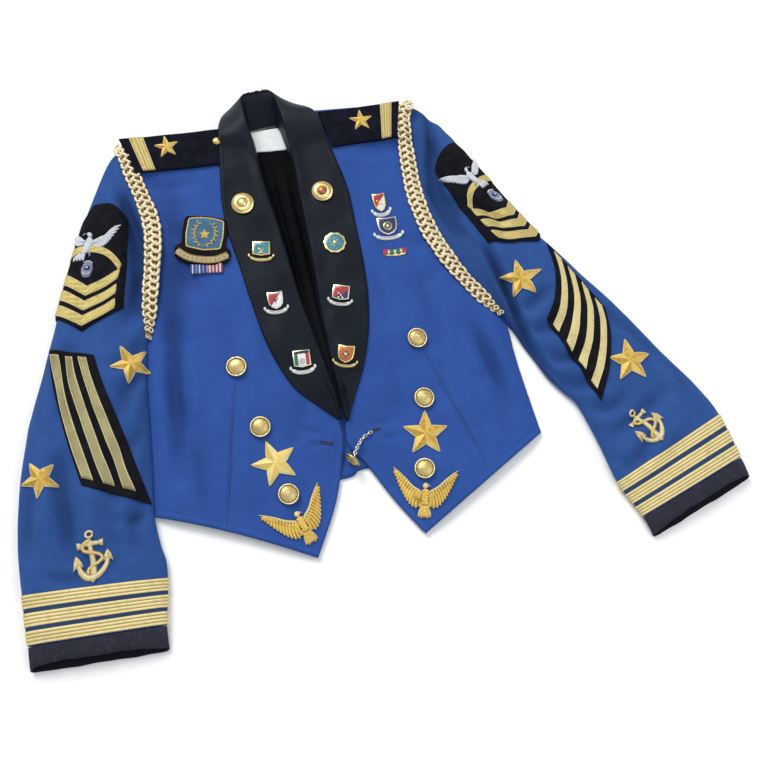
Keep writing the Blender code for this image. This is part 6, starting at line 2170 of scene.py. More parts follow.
def small_shape(name, tubes, sides):
    """A shape of a few round strands, about its own origin, in mm: (path, radius, closed, flatness)."""
    points, faces, uvs = [], [], []
    for path, radius, closed, flat in tubes:
        path = np.asarray(path, float)
        steps = np.roll(path, -1, axis=0) - np.roll(path, 1, axis=0) if closed else np.gradient(path, axis=0)
        along = unit(steps)
        up = np.tile((0.0, 0.0, 1.0), (len(path), 1))
        side = unit(np.cross(up, along))
        above = np.cross(along, side)
        radii = np.broadcast_to(radius, len(path))
        first = len(points)
        reached = run_lengths(path)
        for i in range(len(path)):
            for k in range(sides):
                angle = 2 * math.pi * k / sides
                points.append(
                    path[i] + (side[i] * math.cos(angle) + above[i] * math.sin(angle) * flat) * radii[i]
                )
                uvs.append((reached[i], angle * radii[i]))
        loops = len(path) if closed else len(path) - 1
        for i in range(loops):
            for k in range(sides):
                a, b = first + i * sides, first + (i + 1) % len(path) * sides
                faces.append((a + k, a + (k + 1) % sides, b + (k + 1) % sides, b + k))
        if not closed:
            faces.append(tuple(first + k for k in range(sides)))
            faces.append(tuple(first + (len(path) - 1) * sides + k for k in range(sides)))
    mesh = bpy.data.meshes.new(name)
    mesh.from_pydata((np.array(points) * MM).tolist(), [], faces)
    finish_mesh(mesh, np.array(uvs)[[index for face in faces for index in face]], True)
    return linked(name, mesh)


def drop(obj):
    """Removes an object and its mesh."""
    mesh = obj.data
    bpy.data.objects.remove(obj)
    bpy.data.meshes.remove(mesh)


def star(piece, placer, centre, radius, rise, degrees=0.0, slots=(0, 1, 2), cord=1.0, inner=0.44):
    """An embroidered star: ten thread facets from its tips to its middle, lit and shaded in turn by painted
    light, edged with fine cord.
    """
    centre = np.asarray(centre, float)
    reaches = [radius * (inner if k % 2 else 1.0) for k in range(10)]
    turns = [k * math.pi / 5 for k in range(10)]
    corners = rotated(
        [(math.sin(turn) * reach, math.cos(turn) * reach) for turn, reach in zip(turns, reaches)], degrees
    )
    steps = 9
    for k in range(10):
        near, far = corners[k], corners[(k + 1) % 10]
        tip, notch = (near, far) if k % 2 == 0 else (far, near)
        offsets, lifts, index, uvs = [], [], {}, []
        ridge = unit(tip)
        side = np.array([-ridge[1], ridge[0]])
        for i in range(steps + 1):
            for j in range(steps + 1 - i):
                a, b = i / steps, j / steps
                index[i, j] = len(offsets)
                place = tip * a + notch * b
                offsets.append(place + centre)
                edge = 1.0 if i + j < steps else 0.62
                full = rise * 0.25 * math.sin(math.pi * a) * (1 - b) * (i + j < steps)
                lifts.append(rise * ((1 - a - b) + a * 0.52 + b * 0.30) * edge + full)
                uvs.append(((place @ ridge), (place @ side)))
        count = len(offsets)
        faces = []
        for i in range(steps):
            for j in range(steps - i):
                faces.append([index[i, j], index[i + 1, j], index[i, j + 1]])
                if i + j < steps - 1:
                    faces.append([index[i + 1, j], index[i + 1, j + 1], index[i, j + 1]])
        outer = [index[i, steps - i] for i in range(steps + 1)]
        base = list(range(count, count + steps + 1))
        faces += [[outer[i], outer[i + 1], base[i + 1], base[i]] for i in range(steps)]
        bottom = count + steps + 1
        faces += [[base[i], base[i + 1], bottom] for i in range(steps)]
        all_offsets = np.vstack([offsets, np.array(offsets)[outer], [centre]])
        all_lifts = np.concatenate([lifts, np.zeros(steps + 2)])
        all_uvs = np.vstack([uvs, np.array(uvs)[outer], [(0, 0)]])
        # Painted light and shade: the facets on one side of each ridge take the lit finish and those on the
        # other the shaded one
        light = slots[0] if (k % 2 == 0) else slots[1]
        piece.add(placer.put(all_offsets, all_lifts), faces, all_uvs, light)
    if cord:
        for k in range(10):
            a, b = corners[k] + centre, corners[(k + 1) % 10] + centre
            edge = even_line([a, b], 6)
            stroke(piece, placer, edge, cord, cord * 0.55, slots[2], base=rise * 0.12, taper=0.06, count=7)


# A button's turning: radius and height as shares of its radius
BUTTON_TURNING = [
    (0.94, 0.0), (1.0, 0.06), (1.0, 0.15), (0.96, 0.21), (0.90, 0.21), (0.855, 0.16), (0.84, 0.15),
    (0.82, 0.19), (0.77, 0.26), (0.68, 0.325), (0.55, 0.385), (0.40, 0.425), (0.22, 0.452), (0.10, 0.46),
]


def round_button(piece, placer, radius, relief=True):
    """A domed metal button: flat rim, turned-in groove and a dome struck with a small bird and leaves."""
    dome(piece, placer, (0, 0), BUTTON_TURNING, 0, steps=40, scale=radius)
    if not relief:
        return

    def raised(path, width, rise, base, count, across=5):
        path = np.asarray(path, float) * radius
        stroke(
            piece, placer, path, width * radius, rise * radius, 1, base=base * radius, count=count,
            across=across
        )

    for turn in range(14):
        a = 2 * math.pi * turn / 14
        here = np.array([math.cos(a), math.sin(a)]) * 0.60
        there = np.array([math.cos(a + 0.26), math.sin(a + 0.26)]) * 0.68
        raised([here, (here + there) / 2 * 1.04, there], 0.095, 0.075, 0.33, 5, 4)
    for side in (-1, 1):
        for n in range(4):
            tip = (side * (0.20 + 0.085 * n), 0.28 - 0.11 * n)
            path = [(side * 0.05, 0.02 - 0.03 * n), (tip[0] * 0.6, tip[1] * 0.75), tip]
            raised(path, 0.085, 0.075, 0.425, 5, 4)
    raised([(0, 0.24), (0, 0.02), (0, -0.30)], np.array([0.09, 0.2, 0.13]), 0.10, 0.43, 7)


def feather(piece, placer, path, width, rise, base):
    """A feather in bullion: a pale edging with a brighter body over it."""
    stroke(piece, placer, path, np.array([0.7, 1.0, 0.75]) * (width + 0.8), rise * 0.7, 2, base=base, count=7)
    stroke(piece, placer, path, np.array([0.6, 1.0, 0.6]) * width * 0.86, rise, 0, base=base + 0.12, count=7)


# Half of the eagle's outline, as shares of half its span
EAGLE_EDGE = [
    (0, 0.14), (0.07, 0.03), (0.17, 0.09), (0.39, 0.23), (0.61, 0.45), (0.80, 0.62), (0.97, 0.75),
    (0.95, 0.60), (0.86, 0.42), (0.78, 0.24), (0.68, 0.04), (0.56, -0.16), (0.43, -0.32),
    (0.28, -0.41), (0.15, -0.36), (0.13, -0.5), (0.18, -0.68), (0, -0.70),
]


def eagle(piece, placer, span):
    """A bullion eagle with raised wings, its feathers laid one over the next."""
    half = span / 2
    outline = np.array([*EAGLE_EDGE, *[(-x, y) for x, y in EAGLE_EDGE[-2:0:-1]]]) * half

    def winged(points):
        return np.array(points) * (side * half, half)

    slab_shape(piece, placer, outline, 0.0, 0.9, 1)
    starts = smooth_path([(0.11, 0.02), (0.27, 0.12), (0.45, 0.26), (0.63, 0.44), (0.86, 0.64)], 13)
    ends = smooth_path(
        [
            (0.16, -0.38), (0.29, -0.43), (0.44, -0.34), (0.58, -0.17), (0.70, 0.04), (0.80, 0.24),
            (0.88, 0.42), (0.97, 0.60)
        ],
        13
    )
    for side in (-1, 1):
        for start, end in zip(starts, ends):
            bend = (start + end) / 2 + (0.035, -0.02)
            widths = np.array([0.6, 1.0, 0.85]) * 0.108 * half
            stroke(piece, placer, winged([start, bend, end]), widths, 1.1, 0, base=0.7, count=9)
            tip = winged([end * 0.8 + bend * 0.2, end])
            stroke(piece, placer, tip, 0.05 * half, 0.5, 2, base=1.3, count=4, across=4)
        for n in range(11):
            t = n / 10
            start = np.array([0.13, 0.05]) * (1 - t) + np.array([0.84, 0.64]) * t
            end = start + np.array([0.075, -0.20]) * (1 - 0.45 * t)
            path = winged([start, (start + end) / 2 + (0.02, 0), end])
            stroke(piece, placer, path, 0.086 * half, 0.9, 0, base=1.45, count=7)
        lead = winged([(0.06, 0.0), (0.17, 0.08), (0.39, 0.22), (0.61, 0.44), (0.80, 0.61), (0.99, 0.76)])
        stroke(
            piece, placer, lead, np.array([0.07, 0.075, 0.065, 0.05, 0.03]) * half, 1.2, 2, base=1.2, count=18
        )
        for n, end in enumerate([(0.02, -0.70), (0.10, -0.73), (0.18, -0.69)]):
            path = winged([(0.02 * n, -0.30), (end[0] * 0.7, -0.5), end])
            feather(piece, placer, path, 0.085 * half, 1.1, 0.5 + 0.1 * n)
        leg = winged([(0.07, -0.22), (0.12, -0.32), (0.10, -0.42)])
        stroke(piece, placer, leg, 0.07 * half, 1.3, 0, base=0.9, count=6)
    stroke(
        piece, placer, np.array([(0, 0.16), (0, 0.0), (0, -0.2), (0, -0.36)]) * half,
        np.array([0.15, 0.25, 0.22, 0.12]) * half, 2.3, 0, base=0.6, count=12, across=7
    )
    for n in range(5):
        for side in (-1, 1):
            place = np.array([side * 0.05, 0.06 - 0.085 * n])
            stroke(
                piece, placer,
                np.array([place + (side * 0.05, 0.04), place, place + (-side * 0.02, -0.06)]) * half,
                0.07 * half, 0.45, 0, base=2.3, count=5, across=4
            )
    dome(
        piece, placer, np.array([0.0, 0.235]) * half,
        [(r * 0.085 * half, h) for r, h in ((1.0, 0.5), (1.0, 1.7), (0.8, 2.3), (0.4, 2.7))], 2, steps=14
    )
    stroke(
        piece, placer, np.array([(0.05, 0.25), (0.11, 0.24), (0.13, 0.19)]) * half,
        np.array([0.07, 0.05, 0.02]) * half, 1.0, 0, base=0.9, count=6
    )


def slab_shape(piece, placer, outline, low, high, slot):
    """A closed flat plate of any outline between two heights."""
    outline = np.asarray(outline, float)
    count = len(outline)
    flat = [Vector((x, y, 0.0)) for x, y in outline]
    from_outline = [list(face) for face in tessellate_polygon([flat])]
    upper, lower = placer.put(outline, high), placer.put(outline, low)
    faces = from_outline + [[index + count for index in face] for face in from_outline]
    faces += [[a, (a + 1) % count, (a + 1) % count + count, a + count] for a in range(count)]
    piece.add(np.vstack([upper, lower]), faces, np.vstack([outline, outline]), slot)


def anchor(piece, placer, height):
    """A fouled anchor in pale gold thread."""
    half = height / 2

    def at(points, side=1):
        return np.asarray(points, float) * (half * side, half)

    ring = circle(0.125, 17, (0, 0.84))
    stroke(
        piece, placer, at(np.vstack([ring, ring[:1]])), 0.11 * half, 1.5, 0, base=0.1, count=26, taper=0.01
    )
    stroke(
        piece, placer, at([(0, 0.70), (0.0, 0.2), (0.0, -0.5), (0, -0.92)]),
        np.array([0.19, 0.22, 0.27, 0.32]) * half, 2.0, 0, base=0.1, count=16
    )
    stroke(
        piece, placer, at([(-0.40, 0.45), (0, 0.47), (0.40, 0.45)]), 0.20 * half, 1.8, 0, base=0.1, count=12
    )
    for side in (-1, 1):
        slab_shape(
            piece, placer, at([(0.36, 0.56), (0.52, 0.60), (0.50, 0.30), (0.36, 0.35)], side), 0.0, 1.6, 0
        )
        stroke(
            piece, placer, at([(0.02, -0.92), (0.28, -0.78), (0.48, -0.54), (0.58, -0.22)], side),
            np.array([0.27, 0.26, 0.22, 0.15]) * half, 1.8, 0, base=0.1, count=14
        )
        slab_shape(
            piece, placer,
            at(
                [
                    (0.63, 0.12), (0.74, -0.12), (0.78, -0.44), (0.66, -0.34), (0.52, -0.34), (0.38, -0.36),
                    (0.45, -0.14), (0.53, 0.0)
                ],
                side
            ),
            0.0, 1.3, 0
        )
        stroke(
            piece, placer, at([(0.62, 0.06), (0.60, -0.16), (0.58, -0.32)], side), 0.10 * half, 1.0, 1,
            base=1.1, count=6
        )
    slab_shape(
        piece, placer, at([(-0.20, -0.80), (0.20, -0.80), (0.10, -0.98), (0.0, -1.10), (-0.10, -0.98)]), 0.0,
        1.7, 0
    )
    rope = [
        (0.02, 0.62), (-0.15, 0.53), (-0.27, 0.40), (-0.25, 0.24), (-0.06, 0.14), (0.15, 0.06), (0.32, -0.06),
        (0.36, -0.22), (0.22, -0.34), (0.0, -0.42), (-0.20, -0.54), (-0.16, -0.72)
    ]
    stroke(piece, placer, at(rope), 0.15 * half, 1.0, 1, base=1.6, count=40, taper=0.03)
    for n, place in enumerate(even_line(smooth_path(at(rope), 60), 26)[1:-1]):
        twist = rotated([(-0.07 * half, 0), (0, 0), (0.07 * half, 0)], 40 + 8 * n) + place
        stroke(piece, placer, twist, 0.05 * half, 0.35, 0, base=2.45, count=4, across=3)


def white_bird(piece, placer, size, side):
    """A white thread bird with one long wing raised and its head turned."""

    def at(points):
        return np.asarray(points, float) * (size * side, size)

    for wing in (1, -1):
        reach = 1.0 if wing == 1 else 0.6
        for n in range(9):
            t = n / 8
            start = np.array([0.10 + 0.20 * t, 0.02 + 0.14 * t])
            angle = math.radians(-8 + 62 * t)
            length = (0.34 + 0.44 * t) * reach
            end = start + np.array([math.cos(angle), math.sin(angle)]) * length * 0.92
            bend = (start + end) / 2 + np.array([0.02, -0.04])
            quill, base = np.array([start, bend, end]), 0.1 + 0.12 * n
            widths = np.array([0.085, 0.10, 0.06]) * size
            stroke(piece, placer, at(quill * (wing, 1)), widths, 0.9 + 0.25 * t, 0, base=base, count=8)
            under = at((quill - (0.0, 0.035)) * (wing, 1))
            stroke(piece, placer, under, 0.03 * size, 0.5, 1, base=base, count=6, across=3)
        for n in range(5):
            t = n / 4
            start = np.array([0.07 + 0.19 * t, 0.06 + 0.15 * t])
            end = start + np.array([0.20, 0.03 + 0.08 * t])
            covert = at(np.array([start, (start + end) / 2, end]) * (wing, 1))
            stroke(piece, placer, covert, 0.09 * size, 1.2, 0, base=0.9, count=6)
    stroke(
        piece, placer, at([(0.0, 0.22), (0.02, 0.06), (-0.01, -0.16), (-0.08, -0.36)]),
        np.array([0.14, 0.26, 0.22, 0.12]) * size, 2.0, 0, base=0.2, count=12, across=7
    )
    for n, x in enumerate((-0.26, -0.18, -0.10, -0.02)):
        stroke(
            piece, placer, at([(-0.04, -0.28), (x * 0.8 - 0.02, -0.42), (x, -0.56)]), 0.085 * size, 1.1, 0,
            base=0.2 + 0.1 * n, count=7
        )
    stroke(
        piece, placer, at([(0.03, 0.20), (-0.02, 0.30), (-0.09, 0.31)]), np.array([0.13, 0.13, 0.09]) * size,
        1.7, 0, base=0.5, count=7
    )
    stroke(
        piece, placer, at([(-0.10, 0.32), (-0.16, 0.29), (-0.16, 0.24)]), 0.05 * size, 0.9, 1, base=0.8,
        count=5
    )
    for side_leg in (-1, 1):
        stroke(
            piece, placer, at([(side_leg * 0.05, -0.24), (side_leg * 0.12, -0.34), (side_leg * 0.10, -0.42)]),
            0.06 * size, 0.9, 1, base=0.5, count=5
        )


# How much deeper and longer each board is than its corners, how far its outer end lifts, and its gold
# stripes and the thin rails beside them as shares of its length
BOARD_DEEPER = 3.0
BOARD_LONGER = 4.0
BOARD_END_LIFT = 2.4
BOARD_SHAPE = (45, 19)
BOARD_STRIPES = ((0.105, 0.165), (0.178, 0.232))
BOARD_RAILS = (0.102, 0.136, 0.169, 0.176, 0.206, 0.235)


class JACKET_OT_boards(JacketOperator, bpy.types.Operator):
    """Black shoulder boards with their gold stripe, star and small button"""

    bl_idname = "jacket.boards"
    bl_label = "Shoulder boards"

    def execute(self, context):
        for side, corners in BOARDS.items():
            far, near, near_neck, far_neck = (np.array(corner, float) for corner in corners)
            near[1] -= BOARD_DEEPER
            near_neck[1] -= BOARD_DEEPER
            if side == "right":
                near_neck[0] += BOARD_LONGER
                far_neck[0] += BOARD_LONGER
            edges = [(*far, *near), (*far_neck, *near_neck)]
            surfaces = [front_surface(side), sleeve_surface(side)]
            placer = PatchAt(edges, surfaces, GAP + STIFF_GAP, stiff=40, count=BOARD_SHAPE)
            placer.grid[..., 2] += BOARD_END_LIFT * (
                1 - eased(0.3, np.linspace(0, 1, BOARD_SHAPE[0]))
            )[:, None]
            board = Piece(f"Board_{side}", "Melton_board", "Lace_board", "Bullion_pale", "Cord_shadow")
            soft_slab(board, placer, BOARD_THICK - 0.3, 0.8, 1.5, (70, 34))
            cross = np.linspace(0.02, 0.98, 20)
            for low, high in BOARD_STRIPES:
                straight_strip(board, placer, cross, low, high, 0.9, 1, BOARD_THICK - 0.1)
            for line in BOARD_RAILS:
                straight_strip(board, placer, cross, line - 0.004, line + 0.004, 1.15, 2, BOARD_THICK - 0.1)
            settle(board.make(solid=True), "felt_black", f"Shoulder_board_{side}")
            ground = Surface(placer.grid + placer.normals * (BOARD_THICK + 0.35))
            x, y, degrees = BOARD_STARS[side]
            star_piece = Piece(f"Board_star_{side}", "Bullion_gold", "Bullion_dark", "Bullion_pale")
            placer = LaidAt((x, y), degrees, [ground], 0.0)
            star(star_piece, placer, (0, 0), BOARD_STAR_RADIUS, 2.0, cord=0.8, inner=0.38)
            settle(star_piece.make(solid=True), "bullion_gold", f"Star_board_{side}")
            if side == "right":
                button = Piece("Board_button", "Brass_old", "Gilt")
                radius = BOARD_BUTTON_ACROSS / 2
                placer = OnPlane(BOARD_BUTTON, 10, [ground], radius, 0.2)
                round_button(button, placer, radius, relief=False)
                settle(button.make(solid=True), "brass", "Shoulder_board_button")
        return {"FINISHED"}


# The braid: places along it, how much wider it is than its line, its least width, the share of it that the
# bed under the cords has, and one cord of a linked pair with its radius and pitch
BRAID_ROWS = 90
BRAID_WIDER = 1.12
BRAID_LEAST = 19.5
BED_SHARE = 0.74
BRAID_PITCH = 8.8
BRAID_CORD_RADIUS = 1.75
BRAID_CORD = [
    (-5, 1.2, 0.6), (-5.2, 4.4, 0.8), (-3.2, 7.2, 1), (0.4, 7.9, 1.4), (3.6, 6.6, 1.9), (4.4, 4.2, 2.4),
    (2.8, 2, 2.9), (0.4, 0, 3.1), (-1.8, -2.4, 2.6), (-3.4, -4, 1.7),
]


class JACKET_OT_armhole_braid(JacketOperator, bpy.types.Operator):
    """Plaited metal braid over each armhole seam"""

    bl_idname = "jacket.armhole_braid"
    bl_label = "Armhole braid"

    def execute(self, context):
        for side, table in ARMHOLE_BRAIDS.items():
            surfaces = [front_surface(side), sleeve_surface(side)]
            rows = smooth_rows(table, BRAID_ROWS)
            ends = run_lengths(rows[:, :2])
            own = rows[:, 2] * BRAID_WIDER
            wide = np.maximum(own, BRAID_LEAST * np.clip(0.34 + (ends[-1] - ends) / 44, 0.34, 1.0))
            rows[:, 0] -= OUTWARD[side] * (wide - own) * 0.5 * (ends < 90)
            rows[:, 2] = wide
            if side == "right":
                rows[:, 0] += 4.5 * np.clip(1 - ends / 60, 0, 1)
            else:
                swing = np.sin(math.pi * np.clip((ends / ends[-1] - 0.3) / 0.7, 0, 1))
                rows[:, :2] += swing[:, None] * (-3.6, -3.2)
                rows[:, 1] -= 4.5 * np.clip(1 - ends / 30, 0, 1)
            along = unit(np.gradient(rows[:, :2], axis=0))
            across = np.column_stack([-along[:, 1], along[:, 0]])
            looked = (-0.45, -0.2, 0.0, 0.2, 0.45)
            heights = np.array([
                [height_under(*(row[:2] + beside * share * row[2]), surfaces, row[:2]) for share in looked]
                for row, beside in zip(rows, across)
            ])
            tilt = np.clip((heights[:, 4] - heights[:, 0]) / (0.9 * rows[:, 2]), -0.45, 0.45)
            middle = heights[:, 1:4].max(axis=1)
            for _ in range(4):
                middle[1:-1] = np.maximum(middle[1:-1], (middle[:-2] + middle[2:]) / 2)
                tilt[1:-1] = (tilt[:-2] + 2 * tilt[1:-1] + tilt[2:]) / 4
            facing = unit(np.column_stack([-across * tilt[:, None], np.ones(BRAID_ROWS)]))
            shares = np.array([-0.5, -0.42, -0.2, 0.0, 0.2, 0.42, 0.5])
            base_heights = np.array([0.2, 0.9, 1.2, 1.25, 1.2, 0.9, 0.2])
            under = np.zeros((BRAID_ROWS, len(shares), 3))
            under[..., :2] = rows[:, None, :2] + across[:, None] * (
                shares[None, :, None] * rows[:, None, 2:3] * BED_SHARE
            )
            under[..., 2] = middle[:, None] + shares * rows[:, 2:3] * tilt[:, None] * BED_SHARE + GAP
            over = under + base_heights[:, None] * (0.0, 0.0, 1.0)
            # The bed's darker gold paints the shade between and under the cords
            bed = Piece(f"Armhole_bed_{side}", "Cord_shadow")
            uvs = np.stack(
                np.broadcast_arrays(shares * 18, np.linspace(0, 260, BRAID_ROWS)[:, None]), axis=-1
            )
            points = np.vstack([over.reshape(-1, 3), under.reshape(-1, 3)])
            bed.add(points, slab_faces(BRAID_ROWS, len(shares)), np.vstack([uvs.reshape(-1, 2)] * 2))
            settle(bed.make(solid=True), "braid_silver_gold", f"Armhole_braid_{side}")
            cord = smooth_path(BRAID_CORD, 15)
            paths = [cord * (1.0, hand, 1.0) + (2.1 * hand, 0, 0.15 * hand) for hand in (-1, 1)]
            link = small_shape("Braid_link", [(path, BRAID_CORD_RADIUS, False, 0.86) for path in paths], 6)
            line = np.column_stack([rows[:, :2], middle]) + facing * (GAP + 1.5)
            paths = [(line, facing, rows[:, 2] / 20.0, False)]
            made = repeated(f"Armhole_braid_{side}_cords", paths, link, BRAID_PITCH, "Cord_silver_gold",
                            unevenness=0.05, seed=3)
            drop(link)
            settle(made, "braid_silver_gold", f"Armhole_braid_{side}")
        return {"FINISHED"}


RIM_PITCH = 1.55


class JACKET_OT_buttons(JacketOperator, bpy.types.Operator):
    """Three domed buttons on each front, each with its beaded rim"""

    bl_idname = "jacket.buttons"
    bl_label = "Front buttons"

    def execute(self, context):
        radius = context.scene.jacket_sizes.button / MM / 2
        twist = [(-0.95, -0.28, 0), (-0.4, -0.1, 0.25), (0.4, 0.1, 0.25), (0.95, 0.28, 0)]
        bead = small_shape("Rim_bead", [(twist, 0.85, False, 1.0)], 6)
        for side, places in BUTTONS.items():
            for number, place in enumerate(places, start=1):
                placer = OnPlane(place, -8 + 9 * number, [front_surface(side)], radius, GAP)
                button = Piece(f"Domed_button_{side}_{number}", "Brass_old", "Brass_rim")
                round_button(button, placer, radius)
                settle(button.make(solid=True, sharp=50), "brass", f"Button_{side}_{number}")
                line = placer.put(circle(radius * 0.925, 40), radius * 0.215)
                paths = [(line, placer.up, 1.0, True)]
                rim = repeated(f"Button_rim_{side}_{number}", paths, bead, RIM_PITCH, "Brass_rim",
                               unevenness=0.06, seed=number)
                settle(rim, "brass", f"Button_{side}_{number}")
        drop(bead)
        return {"FINISHED"}


# How much further each sleeve star is turned in degrees and moved across in mm, and its size
STAR_TURNS = {
    "Star_sleeve_right_upper": (20.4, 0.0, 0.95), "Star_sleeve_right_lower": (24.8, -3.0, 0.88),
    "Star_sleeve_left_upper": (-8.5, -2.8, 1.04), "Star_sleeve_left_lower": (0, 0, 1.12),
}


class JACKET_OT_stars(JacketOperator, bpy.types.Operator):
    """Embroidered gold stars on the fronts and sleeves"""

    bl_idname = "jacket.stars"
    bl_label = "Gold stars"

    def execute(self, context):
        radius = context.scene.jacket_sizes.star / MM
        for side, (x, y, degrees) in FRONT_STARS.items():
            piece = Piece(f"Gold_star_front_{side}", *FRONT_STAR_FINISHES[side], "Bullion_pale")
            placer = LaidAt((x, y), degrees, [front_surface(side)], GAP + 0.1)
            star(piece, placer, (0, 0), radius * 1.05, STAR_HEIGHT, cord=STAR_CORD)
            settle(piece.make(solid=True, sharp=38), "bullion_gold", f"Star_front_{side}")
        for node, (side, x, y, degrees, lift) in SLEEVE_STARS.items():
            piece = Piece("Gold_" + node.lower(), "Bullion_gold", "Bullion_dark", "Bullion_pale")
            turn, shift, size = STAR_TURNS[node]
            if side == "right":
                place = (x + shift, y + (3.0 if x > -300 else 0.0))
                placer = LaidAt(place, degrees + turn, [sleeve_surface(side), front_surface(side)], GAP + 0.1)
            else:
                placer = WrappedAt(sleeve_skin(side), (x + shift, y), degrees + turn, lift)
            star(piece, placer, (0, 0), SLEEVE_STAR_RADIUS * size, STAR_HEIGHT, cord=STAR_CORD)
            settle(piece.make(solid=True, sharp=38), "bullion_gold", node)
        return {"FINISHED"}


class JACKET_OT_eagles(JacketOperator, bpy.types.Operator):
    """Bullion eagles on the points of the fronts"""

    bl_idname = "jacket.eagles"
    bl_label = "Bullion eagles"

    def execute(self, context):
        span = context.scene.jacket_sizes.eagle / MM
        for side, (x, y, degrees) in EAGLES.items():
            piece = Piece(f"Bullion_eagle_{side}", "Bullion_yellow", "Bullion_dark", "Bullion_pale")
            eagle(piece, LaidAt((x, y), degrees, [front_surface(side)], GAP + STIFF_GAP), span)
            settle(piece.make(solid=True), "bullion_gold", f"Eagle_front_{side}")
        return {"FINISHED"}


# How much further each anchor is turned in degrees, and its share of the common height
ANCHOR_FIT = {"right": (5, 0.98), "left": (12, 0.96)}


class JACKET_OT_anchors(JacketOperator, bpy.types.Operator):
    """Roped anchors on the sleeves above the bands"""

    bl_idname = "jacket.anchors"
    bl_label = "Sleeve anchors"

    def execute(self, context):
        height = context.scene.jacket_sizes.anchor / MM
        for node, (side, x, y, degrees) in ANCHORS.items():
            piece = Piece(f"Roped_anchor_{side}", "Bullion_pale", "Bullion_gold")
            turn, share = ANCHOR_FIT[side]
            anchor(piece, WrappedAt(sleeve_skin(side), (x, y), degrees + turn, GAP + 0.3), height * share)
            settle(piece.make(solid=True), "bullion_gold", node)
        return {"FINISHED"}


class Offset:
    """A placer's own frame, moved and turned on it."""

    def __init__(self, placer, centre, degrees, size=1.0):
        self.placer, self.centre, self.degrees, self.size = placer, np.asarray(centre, float), degrees, size

    def put(self, offsets, lifts):
        """Places and lifts in mm, moved across first."""
        return self.placer.put(rotated(offsets, self.degrees) * self.size + self.centre, lifts)


class Raised:
    """A placer that starts higher up."""

    def __init__(self, placer, height):
        self.placer, self.height = placer, height

    def put(self, offsets, lifts):
        """Places and lifts in mm, raised first."""
        return self.placer.put(offsets, np.asarray(lifts, float) + self.height)


class Shifted:
    """A piece whose finishes are counted from a later one."""

    def __init__(self, piece, first):
        self.piece, self.first = piece, first

    def add(self, points, faces, uvs, slot=0):
        """Adds points to the piece with their finishes moved on."""
        self.piece.add(points, faces, uvs, slot + self.first)


# The outline and the lines of the pointed badges, in mm from a place on their middle line
BADGE_HALF_WIDTH = [20.0, 27.0, 33.5, 40.5, 45.0, 47.0, 48.0]
BADGE_PLACES = {"right": ((-2.0, -1.0), 2.5, 1.05), "left": ((5.0, -2.0), 4, 1.08)}
BADGE_APEXES = (-29.7, -47.3, -64.9)
# The side near the underarm is cut off by the sleeve's curve, at this share of the half width
BADGE_CUT = 0.74
CHEVRON_RUN = 35.0
CHEVRON_SLOPE = 0.78
BIRDS = {"right": ((-8.0, 25.0), 36.0), "left": ((-1.0, 30.0), 35.0)}


